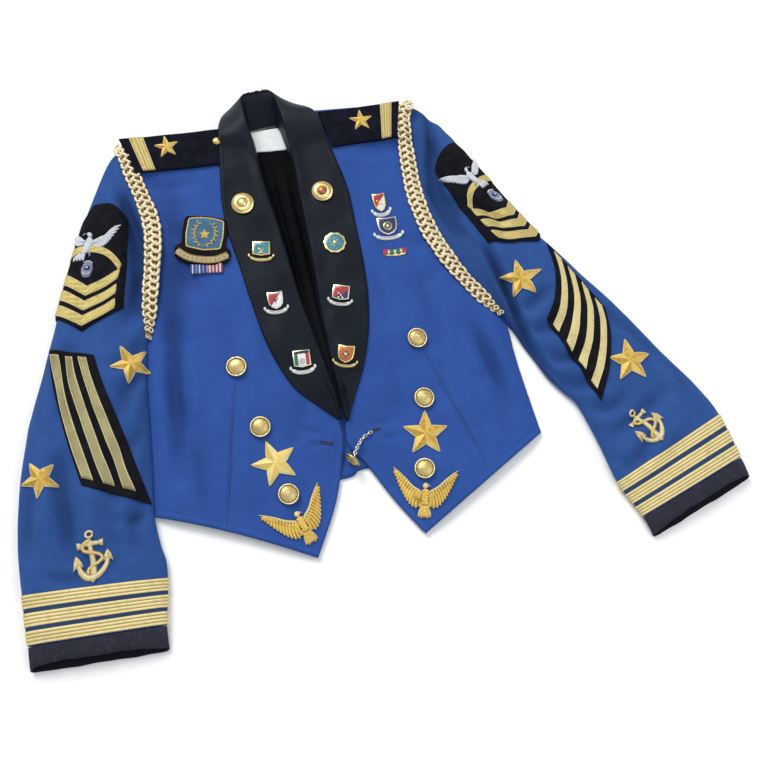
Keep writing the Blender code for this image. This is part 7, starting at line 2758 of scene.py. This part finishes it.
class JACKET_OT_rating_badges(JacketOperator, bpy.types.Operator):
    """Pointed black badges with gold arc, chevrons and a white bird"""

    bl_idname = "jacket.rating_badges"
    bl_label = "Chevron badges"

    def execute(self, context):
        for node, (side, x, y, degrees, lift) in RATING_BADGES.items():
            hand = -OUTWARD[side]
            shift, turn, size = BADGE_PLACES[side]
            wrapped = WrappedAt(sleeve_skin(side), (x, y), degrees, lift, CLEAR_OF_FLOOR)
            placer = Offset(wrapped, shift, turn, size)
            finishes = (
                "Melton_black", "Lace_gold", "Bullion_pale", "Thread_white", "Thread_grey", "Thread_blue"
            )
            piece = Piece(f"Chevron_badge_{side}", *finishes)
            rows, columns = 84, 52
            across = np.linspace(-BADGE_CUT, 1.0, columns)[None, :]
            down = np.linspace(0, 1, rows)[:, None]
            half = np.interp(down, np.linspace(0, 1, 7), BADGE_HALF_WIDTH)
            top_edge = 75.5 - 6.0 * np.abs(across) ** 3
            bottom_edge = -77.0 + 38.5 * np.abs(across)
            offsets = np.stack([hand * across * half, top_edge + (bottom_edge - top_edge) * down], axis=-1)
            away = np.minimum(
                np.minimum(down, 1 - down) * 140, np.minimum(1 - across, across + BADGE_CUT) * half
            )
            roll = 1.0
            top = TRIM - roll + np.sqrt(roll**2 - (roll - np.clip(away, 0, roll)) ** 2)
            top = top + 0.4 * eased(8.0, away) - 0.35 * bump(away, 3.6, 1.1)
            offsets = offsets.reshape(-1, 2)
            points = np.vstack([placer.put(offsets, top.reshape(-1)), placer.put(offsets, 0.0)])
            piece.add(points, slab_faces(rows, columns), np.vstack([offsets] * 2))
            ground = TRIM + 0.2

            def chevron(low, high, base):
                strip(piece, placer, low, high, 1.0, 1, base=base, shoulder=0.12, sag=0.1)
                for line in (low, high):
                    stroke(piece, placer, line, 1.2, 0.9, 2, base=base + 0.3, count=44, taper=0.01, across=4)

            run = np.linspace(-30.0, CHEVRON_RUN, 40)
            for apex in BADGE_APEXES:
                bow = 1.6 * np.sin(np.pi * np.clip(np.abs(run) / CHEVRON_RUN, 0, 1))
                middle = apex + CHEVRON_SLOPE * np.abs(run) - bow
                low, high = (np.column_stack([hand * run, middle + edge]) for edge in (-5.6, 5.2))
                chevron(low, high, ground)
                stroke(
                    piece, placer, np.vstack([low[-1:], high[-1:]]), 1.2, 0.9, 2, base=ground + 0.3, count=5,
                    across=4
                )
            middle = 4.5 + 15.0 * (1 - (np.abs(run) / CHEVRON_RUN) ** 2.3)
            chevron(*(np.column_stack([hand * run, middle + edge]) for edge in (-3.6, 3.6)), ground + 0.1)
            place, long = BIRDS[side]
            white_bird(Shifted(piece, 3), Raised(Offset(placer, place, 0), ground + 0.3), long, hand)
            mark = Raised(Offset(placer, (-3.0 * hand, -4.0), 0), ground)
            stroke(
                piece, mark, [(0, 9.5), (0, 0), (0, -10.5)], np.array([7.0, 12.5, 8.0]), 1.3, 4, count=14,
                across=9
            )
            stroke(piece, mark, [(-4.6, 6.5), (0, 8.4), (4.6, 6.5)], 1.5, 1.0, 3, base=1.0, count=8)
            stroke(piece, mark, [(-4.4, -4.5), (0, -7.0), (4.4, -4.5)], 1.5, 1.0, 3, base=1.1, count=8)
            dome(piece, mark, (0, 0.6), [(3.1, 1.0), (3.0, 1.8), (2.0, 2.4), (0.8, 2.6)], 5, steps=16)
            dome(piece, mark, (0, 0.6), [(1.2, 2.3), (1.1, 2.9), (0.5, 3.2)], 3, steps=10)
            settle(piece.make(solid=True), "felt_black", node)
        return {"FINISHED"}


# The lace of each patch, where its first stripe starts, the stripe's share of the pitch and its reach
STRIPE_LOOKS = {"right": ("Lace_pale", 0.05, 0.54, 0.765), "left": ("Lace_bright", 0.10, 0.46, 0.81)}


class JACKET_OT_service_stripes(JacketOperator, bpy.types.Operator):
    """Slanting black patches with gold lace stripes"""

    bl_idname = "jacket.service_stripes"
    bl_label = "Slanting stripes"

    def execute(self, context):
        for node, (side, stripes) in SERVICE_PATCHES.items():
            placer = PatchAt(
                SERVICE_EDGES[side], [sleeve_surface(side)], GAP + STIFF_GAP, stiff=6, count=(61, 31)
            )
            lace, first, share, reach = STRIPE_LOOKS[side]
            piece = Piece(f"Slanting_stripes_{side}", "Melton_black", lace, "Bullion_pale")
            soft_slab(piece, placer, TRIM + 0.1, 0.3, 1.0, (80, 44))
            pitch = reach / (stripes - 1 + share)
            for stripe in range(stripes):
                near = first + stripe * pitch
                far = near + share * pitch
                down = np.linspace(0.045, 0.955, 46)
                straight_strip(piece, placer, down, near, far, 1.15, 1, TRIM + 0.15, 0.12, upright=True)
                for line in (near + 0.004, (near + far) / 2, far - 0.004)[::2 if side == "right" else 1]:
                    straight_strip(
                        piece, placer, down, line - 0.007, line + 0.007, 1.3, 2, TRIM + 0.2, upright=True
                    )
            settle(piece.make(solid=True), "felt_black", node)
        return {"FINISHED"}


def scroll(piece, placer, wide, depth, thick, y):
    """A blank ribbon scroll under a badge: a bowed band with turned ends."""
    bow = [
        (-0.5 * wide, y + 0.30 * depth), (-0.28 * wide, y - 0.12 * depth), (0, y - 0.25 * depth),
        (0.28 * wide, y - 0.12 * depth), (0.5 * wide, y + 0.30 * depth)
    ]
    stroke(piece, placer, bow, depth * 0.62, thick, 1, base=0.1, flat=0.7, count=20, taper=0.02)
    for side in (-1, 1):
        end = [
            (side * 0.48 * wide, y + 0.25 * depth), (side * 0.56 * wide, y + 0.60 * depth),
            (side * 0.50 * wide, y + 0.85 * depth)
        ]
        stroke(piece, placer, end, depth * 0.42, thick * 1.15, 1, base=0.1, flat=0.6, count=8, taper=0.05)
    inner = [(-0.38 * wide, y + 0.02 * depth), (0, y - 0.24 * depth), (0.38 * wide, y + 0.02 * depth)]
    stroke(piece, placer, inner, depth * 0.10, thick * 0.25, 2, base=0.1 + thick * 0.95, count=14, across=4)


SHIELD = [
    (-0.80, 0.98), (0.0, 0.90), (0.80, 0.98), (0.80, 0.1), (0.70, -0.42), (0.42, -0.76), (0.0, -0.96),
    (-0.42, -0.76), (-0.70, -0.42), (-0.80, 0.1)
]
SQUARE = [
    (-0.84, 0.98), (0.84, 0.98), (0.84, -0.62), (0.42, -0.72), (0.0, -0.80), (-0.42, -0.72), (-0.84, -0.62)
]


def halves(outline, through, degrees):
    """An outline cut in two along a line through a place."""
    normal = np.array([-math.sin(math.radians(degrees)), math.cos(math.radians(degrees))])
    outline = np.asarray(outline, float)
    sides = [[], []]
    for i in range(len(outline)):
        a, b = outline[i], outline[(i + 1) % len(outline)]
        da, db = (a - through) @ normal, (b - through) @ normal
        sides[0 if da >= 0 else 1].append(a)
        if da * db < 0:
            cut = a + (b - a) * (da / (da - db))
            sides[0].append(cut)
            sides[1].append(cut)
    return [np.array(side) for side in sides if len(side) > 2]


def shield_pin(name, placing, surfaces, metal, fields, outline, motif, scroll_finish):
    """A small shield of fired enamel on a metal back, with a blank scroll below it."""
    _, x, y, degrees, wide, high, _ = placing
    piece = Piece(name, metal, scroll_finish, "Enamel_black", *fields)
    placer = OnPlane((x, y), degrees, surfaces, math.hypot(wide, high) / 2.6, GAP)
    shape = np.array(outline) * (wide / 2 * 0.86, high / 2 * 0.84) + (0, high * 0.08)
    slab(piece, placer, shape, 0.0, 1.5, 0, bevel=0.35)
    inner = shape * 0.86 + (0, high * 0.012)
    middle = inner.mean(axis=0)
    if len(fields) == 1:
        slab(piece, placer, inner, 1.3, 1.75, 3, bevel=0.2)
    elif len(fields) == 2:
        for part, half in enumerate(halves(inner, middle + (0, 0.5), 52 if motif != "quarter" else 30)):
            slab(piece, placer, half, 1.3, 1.72, 3 + part, bevel=0.15)
    else:
        low, run = inner[:, 0].min(), np.ptp(inner[:, 0])
        parts = [inner]
        for share in (0.24, 0.76):
            cut = halves(parts.pop(), np.array([low + run * share, middle[1]]), 90)
            parts += sorted(cut, key=lambda part: part[:, 0].mean())
        for slot, part in enumerate(parts, start=3):
            slab(piece, placer, part, 1.3, 1.72, slot, bevel=0.12)


    def raised(path, width, rise, slot, count, **more):
        stroke(
            piece, placer, np.array(path) + middle, width, rise, slot, base=1.6, count=count, across=4, **more
        )

    if motif == "sprig":
        for turn in (-1, 0, 1):
            raised([(0, -3.0), (turn * 1.6, 0.2), (turn * 3.6, 3.2)], 1.2, 0.6, 0, 7)
        raised([(-4.4, -3.2), (0, -2.6), (4.4, -3.2)], 1.1, 0.6, 0, 7)
    elif motif == "tree":
        raised([(0, -4.0), (0, 0), (0, 2.5)], 1.2, 0.6, 2, 6)
        for turn in (-1, 1):
            raised([(0, -1.0), (turn * 2.2, 1.2), (turn * 3.0, 3.4)], 1.3, 0.6, 2, 6)
    elif motif == "wheel":
        ring = circle(3.0, 15)
        raised(np.vstack([ring, ring[:1]]), 0.7, 0.5, 2, 22, taper=0.01)
        for turn in range(3):
            raised(rotated([(-2.8, 0), (0, 0), (2.8, 0)], turn * 60), 0.55, 0.45, 2, 5)
        bar = np.array(
            [(-0.72 * wide / 2, 0.80 * high / 2), (0, 0.78 * high / 2), (0.72 * wide / 2, 0.80 * high / 2)]
        )
        stroke(piece, placer, bar, 4.2, 0.9, 2, base=1.2, flat=0.8, count=8, taper=0.02)
    elif motif == "quarter":
        for dx, dy in ((-2.4, 1.6), (0.4, -0.6), (-2.0, -3.4), (2.6, -3.6)):
            dome(piece, placer, middle + (dx, dy), [(1.0, 1.6), (0.9, 2.1), (0.4, 2.3)], 0, steps=10)
    elif motif == "dots":
        for turn in range(4):
            spot = rotated([(2.7, 0)], 90 * turn)[0] + middle
            dome(piece, placer, spot, [(1.15, 1.6), (1.0, 2.1), (0.4, 2.3)], 2, steps=10)
        dome(piece, placer, middle, [(1.5, 1.6), (1.4, 2.2), (0.6, 2.5)], 1, steps=12)
    elif motif == "disc":
        turning = [(5.4, 1.6), (5.2, 2.4), (4.6, 2.7), (4.2, 2.4), (2.2, 2.5), (1.8, 3.0), (0.8, 3.2)]
        dome(piece, placer, middle, turning, 0, steps=22)
    scroll(piece, placer, wide * 0.92, high * 0.26, 1.5, -high * 0.40)
    return piece.make(solid=True, sharp=35)


def knob_pin(name, placing, surfaces, metal, middle):
    """A small turned metal knob with a ring of short rays."""
    _, x, y, degrees, wide, _, _ = placing
    radius = wide / 2
    placer = OnPlane((x, y), degrees, surfaces, radius, GAP)
    piece = Piece(name, metal, middle, "Gilt")
    profile = [
        (0.90, 0.0), (1.0, 0.05), (1.0, 0.12), (0.93, 0.17), (0.86, 0.13), (0.82, 0.135), (0.74, 0.185),
        (0.62, 0.215), (0.50, 0.225), (0.46, 0.19), (0.42, 0.19)
    ]
    dome(piece, placer, (0, 0), profile, 0, steps=36, scale=radius)
    dome(
        piece, placer, (0, 0), [(0.42, 0.17), (0.36, 0.27), (0.24, 0.33), (0.10, 0.36)], 1, steps=24,
        scale=radius
    )
    for out in spokes(10):
        ray = np.array([out * 0.50, out * 0.60, out * 0.72]) * radius
        stroke(piece, placer, ray, 0.12 * radius, 0.05 * radius, 2, base=0.19 * radius, count=5, across=4)
    return piece.make(solid=True, sharp=50)


def rosette_pin(name, placing, surfaces):
    """A round pin with a waved rim and eight petals."""
    _, x, y, degrees, wide, _, _ = placing
    radius = wide / 2
    placer = OnPlane((x, y), degrees, surfaces, radius, GAP)
    piece = Piece(name, "Gilt", "Enamel_teal", "Brass_rim")
    ring = circle(1.0, 60)
    waves = 1 + 0.035 * np.cos(np.linspace(0, 2 * math.pi, 60, endpoint=False) * 10)
    slab(piece, placer, ring * waves[:, None] * radius * 0.97, 0.0, 1.5, 0, bevel=0.4, rings=2)
    slab(piece, placer, ring * radius * 0.80, 1.4, 1.85, 1, bevel=0.25, rings=2, crown=0.3)
    for out in spokes(8):
        petal, vein = np.array(
            [out * 0.12, out * 0.34, out * 0.52]
        ), np.array([out * 0.14, out * 0.32, out * 0.48])
        stroke(
            piece, placer, petal * radius, np.array([0.10, 0.26, 0.16]) * radius, 0.5, 1, base=2.05, count=6
        )
        stroke(piece, placer, vein * radius, 0.05 * radius, 0.35, 2, base=2.5, count=5, across=3)
    dome(
        piece, placer, (0, 0), [(0.14 * radius, 2.0), (0.12 * radius, 2.8), (0.05 * radius, 3.0)], 0, steps=12
    )
    return piece.make(solid=True, sharp=40)


TOP_PIN_LARGER = 1.15
BAR_PIN_LARGER = 1.2


class JACKET_OT_pins(JacketOperator, bpy.types.Operator):
    """Small enamelled pins on the lapels and the chest"""

    bl_idname = "jacket.pins"
    bl_label = "Pins"

    def execute(self, context):
        lapel = {side: [collar_surface(side)] for side in SIDES}
        chest = {side: [front_surface(side)] for side in SIDES}
        pins = {
            "Pin_lapel_right_2": ("Gilt", ["Enamel_teal"], SQUARE, "sprig", "Gilt"),
            "Pin_lapel_right_3": (
                "Steel_link", ["Enamel_red", "Enamel_white"], SHIELD, "tree", "Enamel_white"
            ),
            "Pin_lapel_right_4": (
                "Steel_link", ["Enamel_green", "Enamel_white", "Enamel_red"], SQUARE, "wheel", "Enamel_white"
            ),
            "Pin_lapel_left_3": (
                "Steel_link", ["Enamel_red", "Enamel_navy"], SQUARE, "quarter", "Enamel_white"
            ),
            "Pin_lapel_left_4": ("Gilt", ["Copper"], SHIELD, "dots", "Gilt"),
            "Pin_chest_left_top": ("Gilt", ["Enamel_red", "Enamel_white"], SHIELD, "sprig", "Enamel_white"),
            "Pin_chest_left_middle": ("Steel_link", ["Enamel_navy"], SHIELD, "disc", "Enamel_white"),
        }
        placings = {**LAPEL_PINS, **CHEST_PINS}
        for node, (metal, fields, outline, motif, ribbon_finish) in pins.items():
            placing = list(placings[node])
            if node == "Pin_chest_left_top":
                placing[4:6] = placing[4] * TOP_PIN_LARGER, placing[5] * TOP_PIN_LARGER
            surfaces = (lapel if node in LAPEL_PINS else chest)[placing[0]]
            made = shield_pin(
                "Enamel_" + node.lower(), placing, surfaces, metal, fields, outline, motif, ribbon_finish
            )
            settle(made, placing[6], node)
        for node, metal, middle in (
            ("Pin_lapel_right_1", "Gilt", "Gilt"), ("Pin_lapel_left_1", "Gilt", "Copper")
        ):
            placing = LAPEL_PINS[node]
            settle(knob_pin("Knob_" + node.lower(), placing, lapel[placing[0]], metal, middle), "brass", node)
        rosette = rosette_pin("Rosette_pin_lapel_left_2", LAPEL_PINS["Pin_lapel_left_2"], lapel["left"])
        settle(rosette, "enamel_teal", "Pin_lapel_left_2")
        _, x, y, degrees, wide, high, _ = CHEST_PINS["Pin_chest_left_bottom"]
        wide, high = wide * BAR_PIN_LARGER, high * BAR_PIN_LARGER
        piece = Piece("Bar_pin_chest_left_bottom", "Gilt", "Enamel_green", "Enamel_red", "Enamel_white")
        placer = OnPlane((x, y), degrees, chest["left"], wide / 2.6, GAP)
        stroke(
            piece, placer, [(-wide * 0.44, 0.4), (0, -1.2), (wide * 0.44, 0.4)], high * 0.62, 1.3, 0,
            flat=0.6, count=16
        )
        for n, (slot, place) in enumerate(((2, -0.34), (1, -0.13), (1, 0.13), (2, 0.34))):
            dome(
                piece, placer, (place * wide, 0.2 if n in (0, 3) else -0.7),
                [(high * 0.27, 1.0), (high * 0.25, 1.8), (high * 0.12, 2.1)], slot, steps=14
            )
        for place in (-0.24, 0.0, 0.24):
            dome(
                piece, placer, (place * wide, -0.4),
                [(high * 0.12, 1.2), (high * 0.10, 2.2), (high * 0.04, 2.5)], 3, steps=10
            )
        settle(piece.make(solid=True, sharp=40), "brass", "Pin_chest_left_bottom")
        return {"FINISHED"}


class JACKET_OT_chest_patch(JacketOperator, bpy.types.Operator):
    """Chest patch with its blank scroll, and the ribbon bar below it"""

    bl_idname = "jacket.chest_patch"
    bl_label = "Chest patch and ribbons"

    def execute(self, context):
        side, x, y, degrees, wide, high = CHEST_PATCH
        surfaces = [front_surface(side)]
        placer = Offset(
            OnPlane((x, y), degrees, surfaces, math.hypot(wide, high) / 2.6, GAP), (0, 0), 0, 1.14
        )
        piece = Piece(
            "Crest_patch", "Melton_black", "Enamel_slate", "Bullion_gold", "Thread_beige", "Bullion_dark",
            "Thread_dark"
        )
        outline = even_closed(np.array(CREST_OUTLINE) * (wide / 2, high / 2), 96, 2)
        slab(piece, placer, outline, 0.0, PATCH_THICK, 0, bevel=0.9, rings=3, crown=0.3)
        field = even_closed(
            np.array(
                [
                    (-17.5, 22.5), (-6, 24.5), (6, 24.5), (17.5, 22.5), (18.5, 6), (17.0, -8), (0, -10.5),
                    (-17.0, -8), (-18.5, 6)
                ]
            ),
            64, 1
        )
        slab(piece, placer, field, PATCH_THICK - 0.2, PATCH_THICK + 0.75, 1, bevel=0.4, rings=2, crown=0.3)
        stroke(
            piece, placer, np.vstack([field, field[:2]]), 1.6, 1.0, 2, base=PATCH_THICK + 0.1, count=110,
            taper=0.002, across=5
        )
        high_base = PATCH_THICK + 0.9
        for turn in (-1, 1):
            stem = np.array(
                [(0, -6.5), (turn * 6.0, -3.0), (turn * 10.0, 3.5), (turn * 10.5, 11.0), (turn * 7.5, 17.0)]
            )
            stroke(piece, placer, stem, 0.9, 0.8, 4, base=high_base, count=20, across=4)
            for place in even_line(smooth_path(stem, 40), 8)[1:]:
                out = unit(place - np.array([0, 4.5]))
                for hand in (-1, 1):
                    degrees_out = math.degrees(math.atan2(out[1], out[0])) + 52 * turn + hand * 26
                    leaf = rotated([(0, 0), (1.6, 0.7 * hand), (3.6, 1.2 * hand)], degrees_out) + place
                    stroke(
                        piece, placer, leaf, np.array([0.7, 1.6, 0.5]), 0.8, 2, base=high_base + 0.2, count=6,
                        across=4
                    )
        star(piece, Raised(placer, high_base), (0, 6.0), 6.2, 1.3, 10, slots=(2, 4, 2), cord=0)
        ribbon_low = np.array([(-26.0, -13.5), (-14.0, -19.6), (0, -21.2), (14.0, -19.6), (26.0, -13.5)])
        band = smooth_path(ribbon_low, 30)
        stroke(
            piece, placer, band, 7.4, 1.0, 3, base=PATCH_THICK + 0.1, flat=0.75, count=36, taper=0.015,
            across=7
        )
        heading = unit(np.gradient(band, axis=0))
        side_of = np.column_stack([-heading[:, 1], heading[:, 0]])
        for rail in (-3.3, 3.3):
            stroke(
                piece, placer, band + side_of * rail, 0.8, 0.7, 4, base=PATCH_THICK + 0.9, count=36, across=4,
                taper=0.01
            )
        for n, place in enumerate(even_line(band, 13)[1:-1]):
            mark = np.array([(-0.9, -1.1), (0.0, 0.0), (0.9, 1.1)]) * (1 if n % 2 else -1, 1) + place
            stroke(piece, placer, mark, 0.8, 0.5, 5, base=PATCH_THICK + 1.05, count=4, across=3)
        settle(piece.make(solid=True), "felt_black", "Chest_patch")
        side, x, y, degrees, wide, high = RIBBON_BAR
        placer = OnPlane((x, y), degrees, surfaces, wide / 2.6, GAP)
        bar = Piece("Striped_ribbon_bar", "Ribbon_striped", "Steel_link")
        half = 0.244
        for centre in (-0.252, 0.252):
            outline = np.array(
                [(-half, 0.5), (half, 0.5), (half, -0.5), (-half, -0.5)]
            ) * (wide, high) + (centre * wide, 0)
            outline = even_line(np.vstack([outline, outline[:1]]), 41)[:-1]
            slab(bar, placer, outline, 0.0, RIBBON_THICK, 0, bevel=0.5, rings=2)
        settle(bar.make(solid=True, sharp=40), "ribbon_weave", "Ribbon_bar")
        return {"FINISHED"}


def even_closed(outline, count, rounds):
    """A closed outline with even places along it and its corners softened."""
    outline = np.asarray(outline, float)
    line = even_line(np.vstack([outline, outline[:1]]), count + 1)[:-1]
    for _ in range(rounds):
        line = (np.roll(line, 1, axis=0) + 2 * line + np.roll(line, -1, axis=0)) / 4
    return line


# The chain's pitch in mm, and how far each link is turned from the last in degrees
CHAIN_PITCH = 3.3
LINK_TURN = 82


class JACKET_OT_closure(JacketOperator, bpy.types.Operator):
    """Waist closure: a button on its rim and the chain that runs to the buttonhole"""

    bl_idname = "jacket.closure"
    bl_label = "Waist closure"

    def execute(self, context):
        radius = CLOSURE_BUTTON_ACROSS / 2
        button = Piece("Closure_button_brass", "Brass_old", "Gilt")
        round_button(button, Facing(CLOSURE_BUTTON, CLOSURE_BUTTON_FACES), radius)
        settle(button.make(solid=True, sharp=50), "brass", "Closure_button")
        shank = circle(1.0, 12)
        oval = np.column_stack([shank * (2.5, 1.55), np.zeros(len(shank))])
        link = small_shape("Chain_link", [(oval, 0.62, True, 1.0)], 6)
        line = smooth_rows(CLOSURE_CHAIN, 40)
        supports = [front_surface("left"), back_surface()]
        line[:, 2] = [max(z, height_under(x, y, supports) + 2.0) for x, y, z in line]
        paths = [(line, (0.3, 0.2, 1.0), 1.0, False)]
        chain = repeated(
            "Closure_chain_links", paths, link, CHAIN_PITCH, "Steel_link", math.radians(LINK_TURN), 0.03, 5
        )
        drop(link)
        settle(chain, "steel_link", "Closure_chain")
        return {"FINISHED"}


# The two ends of each buttonhole
BUTTONHOLES = {"right": ((-72.5, -71.4), (-57.2, -73.6)), "left": ((-17.0, -58.6), (-4.6, -54.0))}


class JACKET_OT_buttonholes(JacketOperator, bpy.types.Operator):
    """Worked buttonholes at the waist and the stitches of the darts"""

    bl_idname = "jacket.buttonholes"
    bl_label = "Buttonholes and stitches"

    def execute(self, context):
        for side, ends in BUTTONHOLES.items():
            middle = (np.array(ends[0]) + ends[1]) / 2
            run = np.array(ends[1]) - ends[0]
            degrees = math.degrees(math.atan2(run[1], run[0]))
            long = np.linalg.norm(run)
            placer = LaidAt(middle, degrees, [front_surface(side)], 0.05)
            hole = Piece(f"Buttonhole_{side}", "Thread_blue", "Thread_dark")
            for edge in (-1, 1):
                stroke(
                    hole, placer, [(-long / 2, edge * 1.15), (0, edge * 1.35), (long / 2, edge * 1.15)], 1.7,
                    0.8, 0, count=24, taper=0.05
                )
            stroke(
                hole, placer, [(-long / 2 - 0.6, 2.0), (-long / 2 - 0.8, 0), (-long / 2 - 0.6, -2.0)], 1.6,
                0.8, 0, count=8
            )
            stroke(hole, placer, [(-long / 2 + 1, 0), (0, 0), (long / 2, 0)], 1.1, 0.25, 1, count=12)
            settle(hole.make(solid=True), "wool_blue")
        bow = [(-0.85, 0, 0), (-0.3, 0, 0.12), (0.3, 0, 0.12), (0.85, 0, 0)]
        stitch = small_shape("Dart_stitch", [(bow, 0.24, False, 1.0)], 5)
        for side, dart in DARTS.items():
            line = smooth_path(dart, 80)
            heights = [height_under(x, y, [front_surface(side)]) for x, y in line]
            paths = [(np.column_stack([line, heights]) + (0, 0, 0.05), (0, 0, 1), 1.0, False)]
            made = repeated(
                f"Dart_stitches_{side}", paths, stitch, 2.1, "Thread_dark", unevenness=0.05, seed=7
            )
            settle(made, "wool_blue")
        drop(stitch)
        return {"FINISHED"}


def size_of(name, description, value, least, most):
    """A length in metres that the panel shows."""
    return bpy.props.FloatProperty(
        name=name, description=description, default=value * MM, min=least, max=most, unit="LENGTH"
    )


def colour_of(name, description, *screen):
    """A colour that the panel shows, from its screen values."""
    return bpy.props.FloatVectorProperty(
        name=name, description=description, subtype="COLOR", size=3, min=0, max=1, default=tone(*screen)[:3]
    )


class JacketSizes(bpy.types.PropertyGroup):
    """Sizes of the cloth and the trim"""

    cloth: size_of("Cloth", "Thickness of the wool", CLOTH, 0.0005, 0.003)
    button: size_of("Button", "Width of a front button", BUTTON_ACROSS, 0.015, 0.03)
    star: size_of("Front star", "Radius of a star on the fronts", STAR_RADIUS, 0.01, 0.04)
    eagle: size_of("Eagle", "Span of an eagle on the fronts", EAGLE_SPAN, 0.03, 0.1)
    anchor: size_of("Anchor", "Height of an anchor on the sleeves", ANCHOR_HEIGHT, 0.03, 0.08)
    band_width: size_of("Wrist band", "Width of a gold band at the wrist", BRAID_BAND, 0.005, 0.02)


class JacketColours(bpy.types.PropertyGroup):
    """Colours of the wool and of the gold thread"""

    wool: colour_of("Wool", "Lit colour of the body cloth", 48, 84, 158)
    wool_shadow: colour_of("Wool shade", "Deep colour of the body cloth", 39, 71, 141)
    sleeve: colour_of("Sleeve", "Lit colour of the sleeve cloth", 48, 85, 149)
    sleeve_shadow: colour_of("Sleeve shade", "Deep colour of the sleeve cloth", 37, 69, 129)
    gold: colour_of("Gold", "Bright colour of the gold thread", 250, 222, 132)
    gold_shadow: colour_of("Gold shade", "Deep colour of the gold thread", 198, 158, 76)


# In the order in which they are written above
OPERATORS = JacketOperator.__subclasses__()


class JACKET_PT_panel(bpy.types.Panel):
    """The jacket's sizes, colours and pieces"""

    bl_idname = "JACKET_PT_panel"
    bl_label = "Cropped military jacket"
    bl_space_type = "VIEW_3D"
    bl_region_type = "UI"
    bl_category = "Jacket"

    def draw(self, context):
        for group in (context.scene.jacket_sizes, context.scene.jacket_colours):
            column = self.layout.column(align=True)
            for name in group.bl_rna.properties.keys():
                if name not in ("rna_type", "name"):
                    column.prop(group, name)
        column = self.layout.column(align=True)
        for operator in OPERATORS:
            column.operator(operator.bl_idname)


CLASSES = [JacketSizes, JacketColours, *OPERATORS, JACKET_PT_panel]


def register():
    """Adds the classes and the two groups of properties."""
    for cls in CLASSES:
        bpy.utils.register_class(cls)
    bpy.types.Scene.jacket_sizes = bpy.props.PointerProperty(type=JacketSizes)
    bpy.types.Scene.jacket_colours = bpy.props.PointerProperty(type=JacketColours)


def unregister():
    """Takes them away again."""
    del bpy.types.Scene.jacket_colours
    del bpy.types.Scene.jacket_sizes
    for cls in reversed(CLASSES):
        bpy.utils.unregister_class(cls)


def main():
    """Builds every piece and the stage."""
    register()
    for operator in OPERATORS:
        name = operator.bl_idname.split(".")[1]
        getattr(bpy.ops.jacket, name)()


if __name__ == "__main__":
    main()
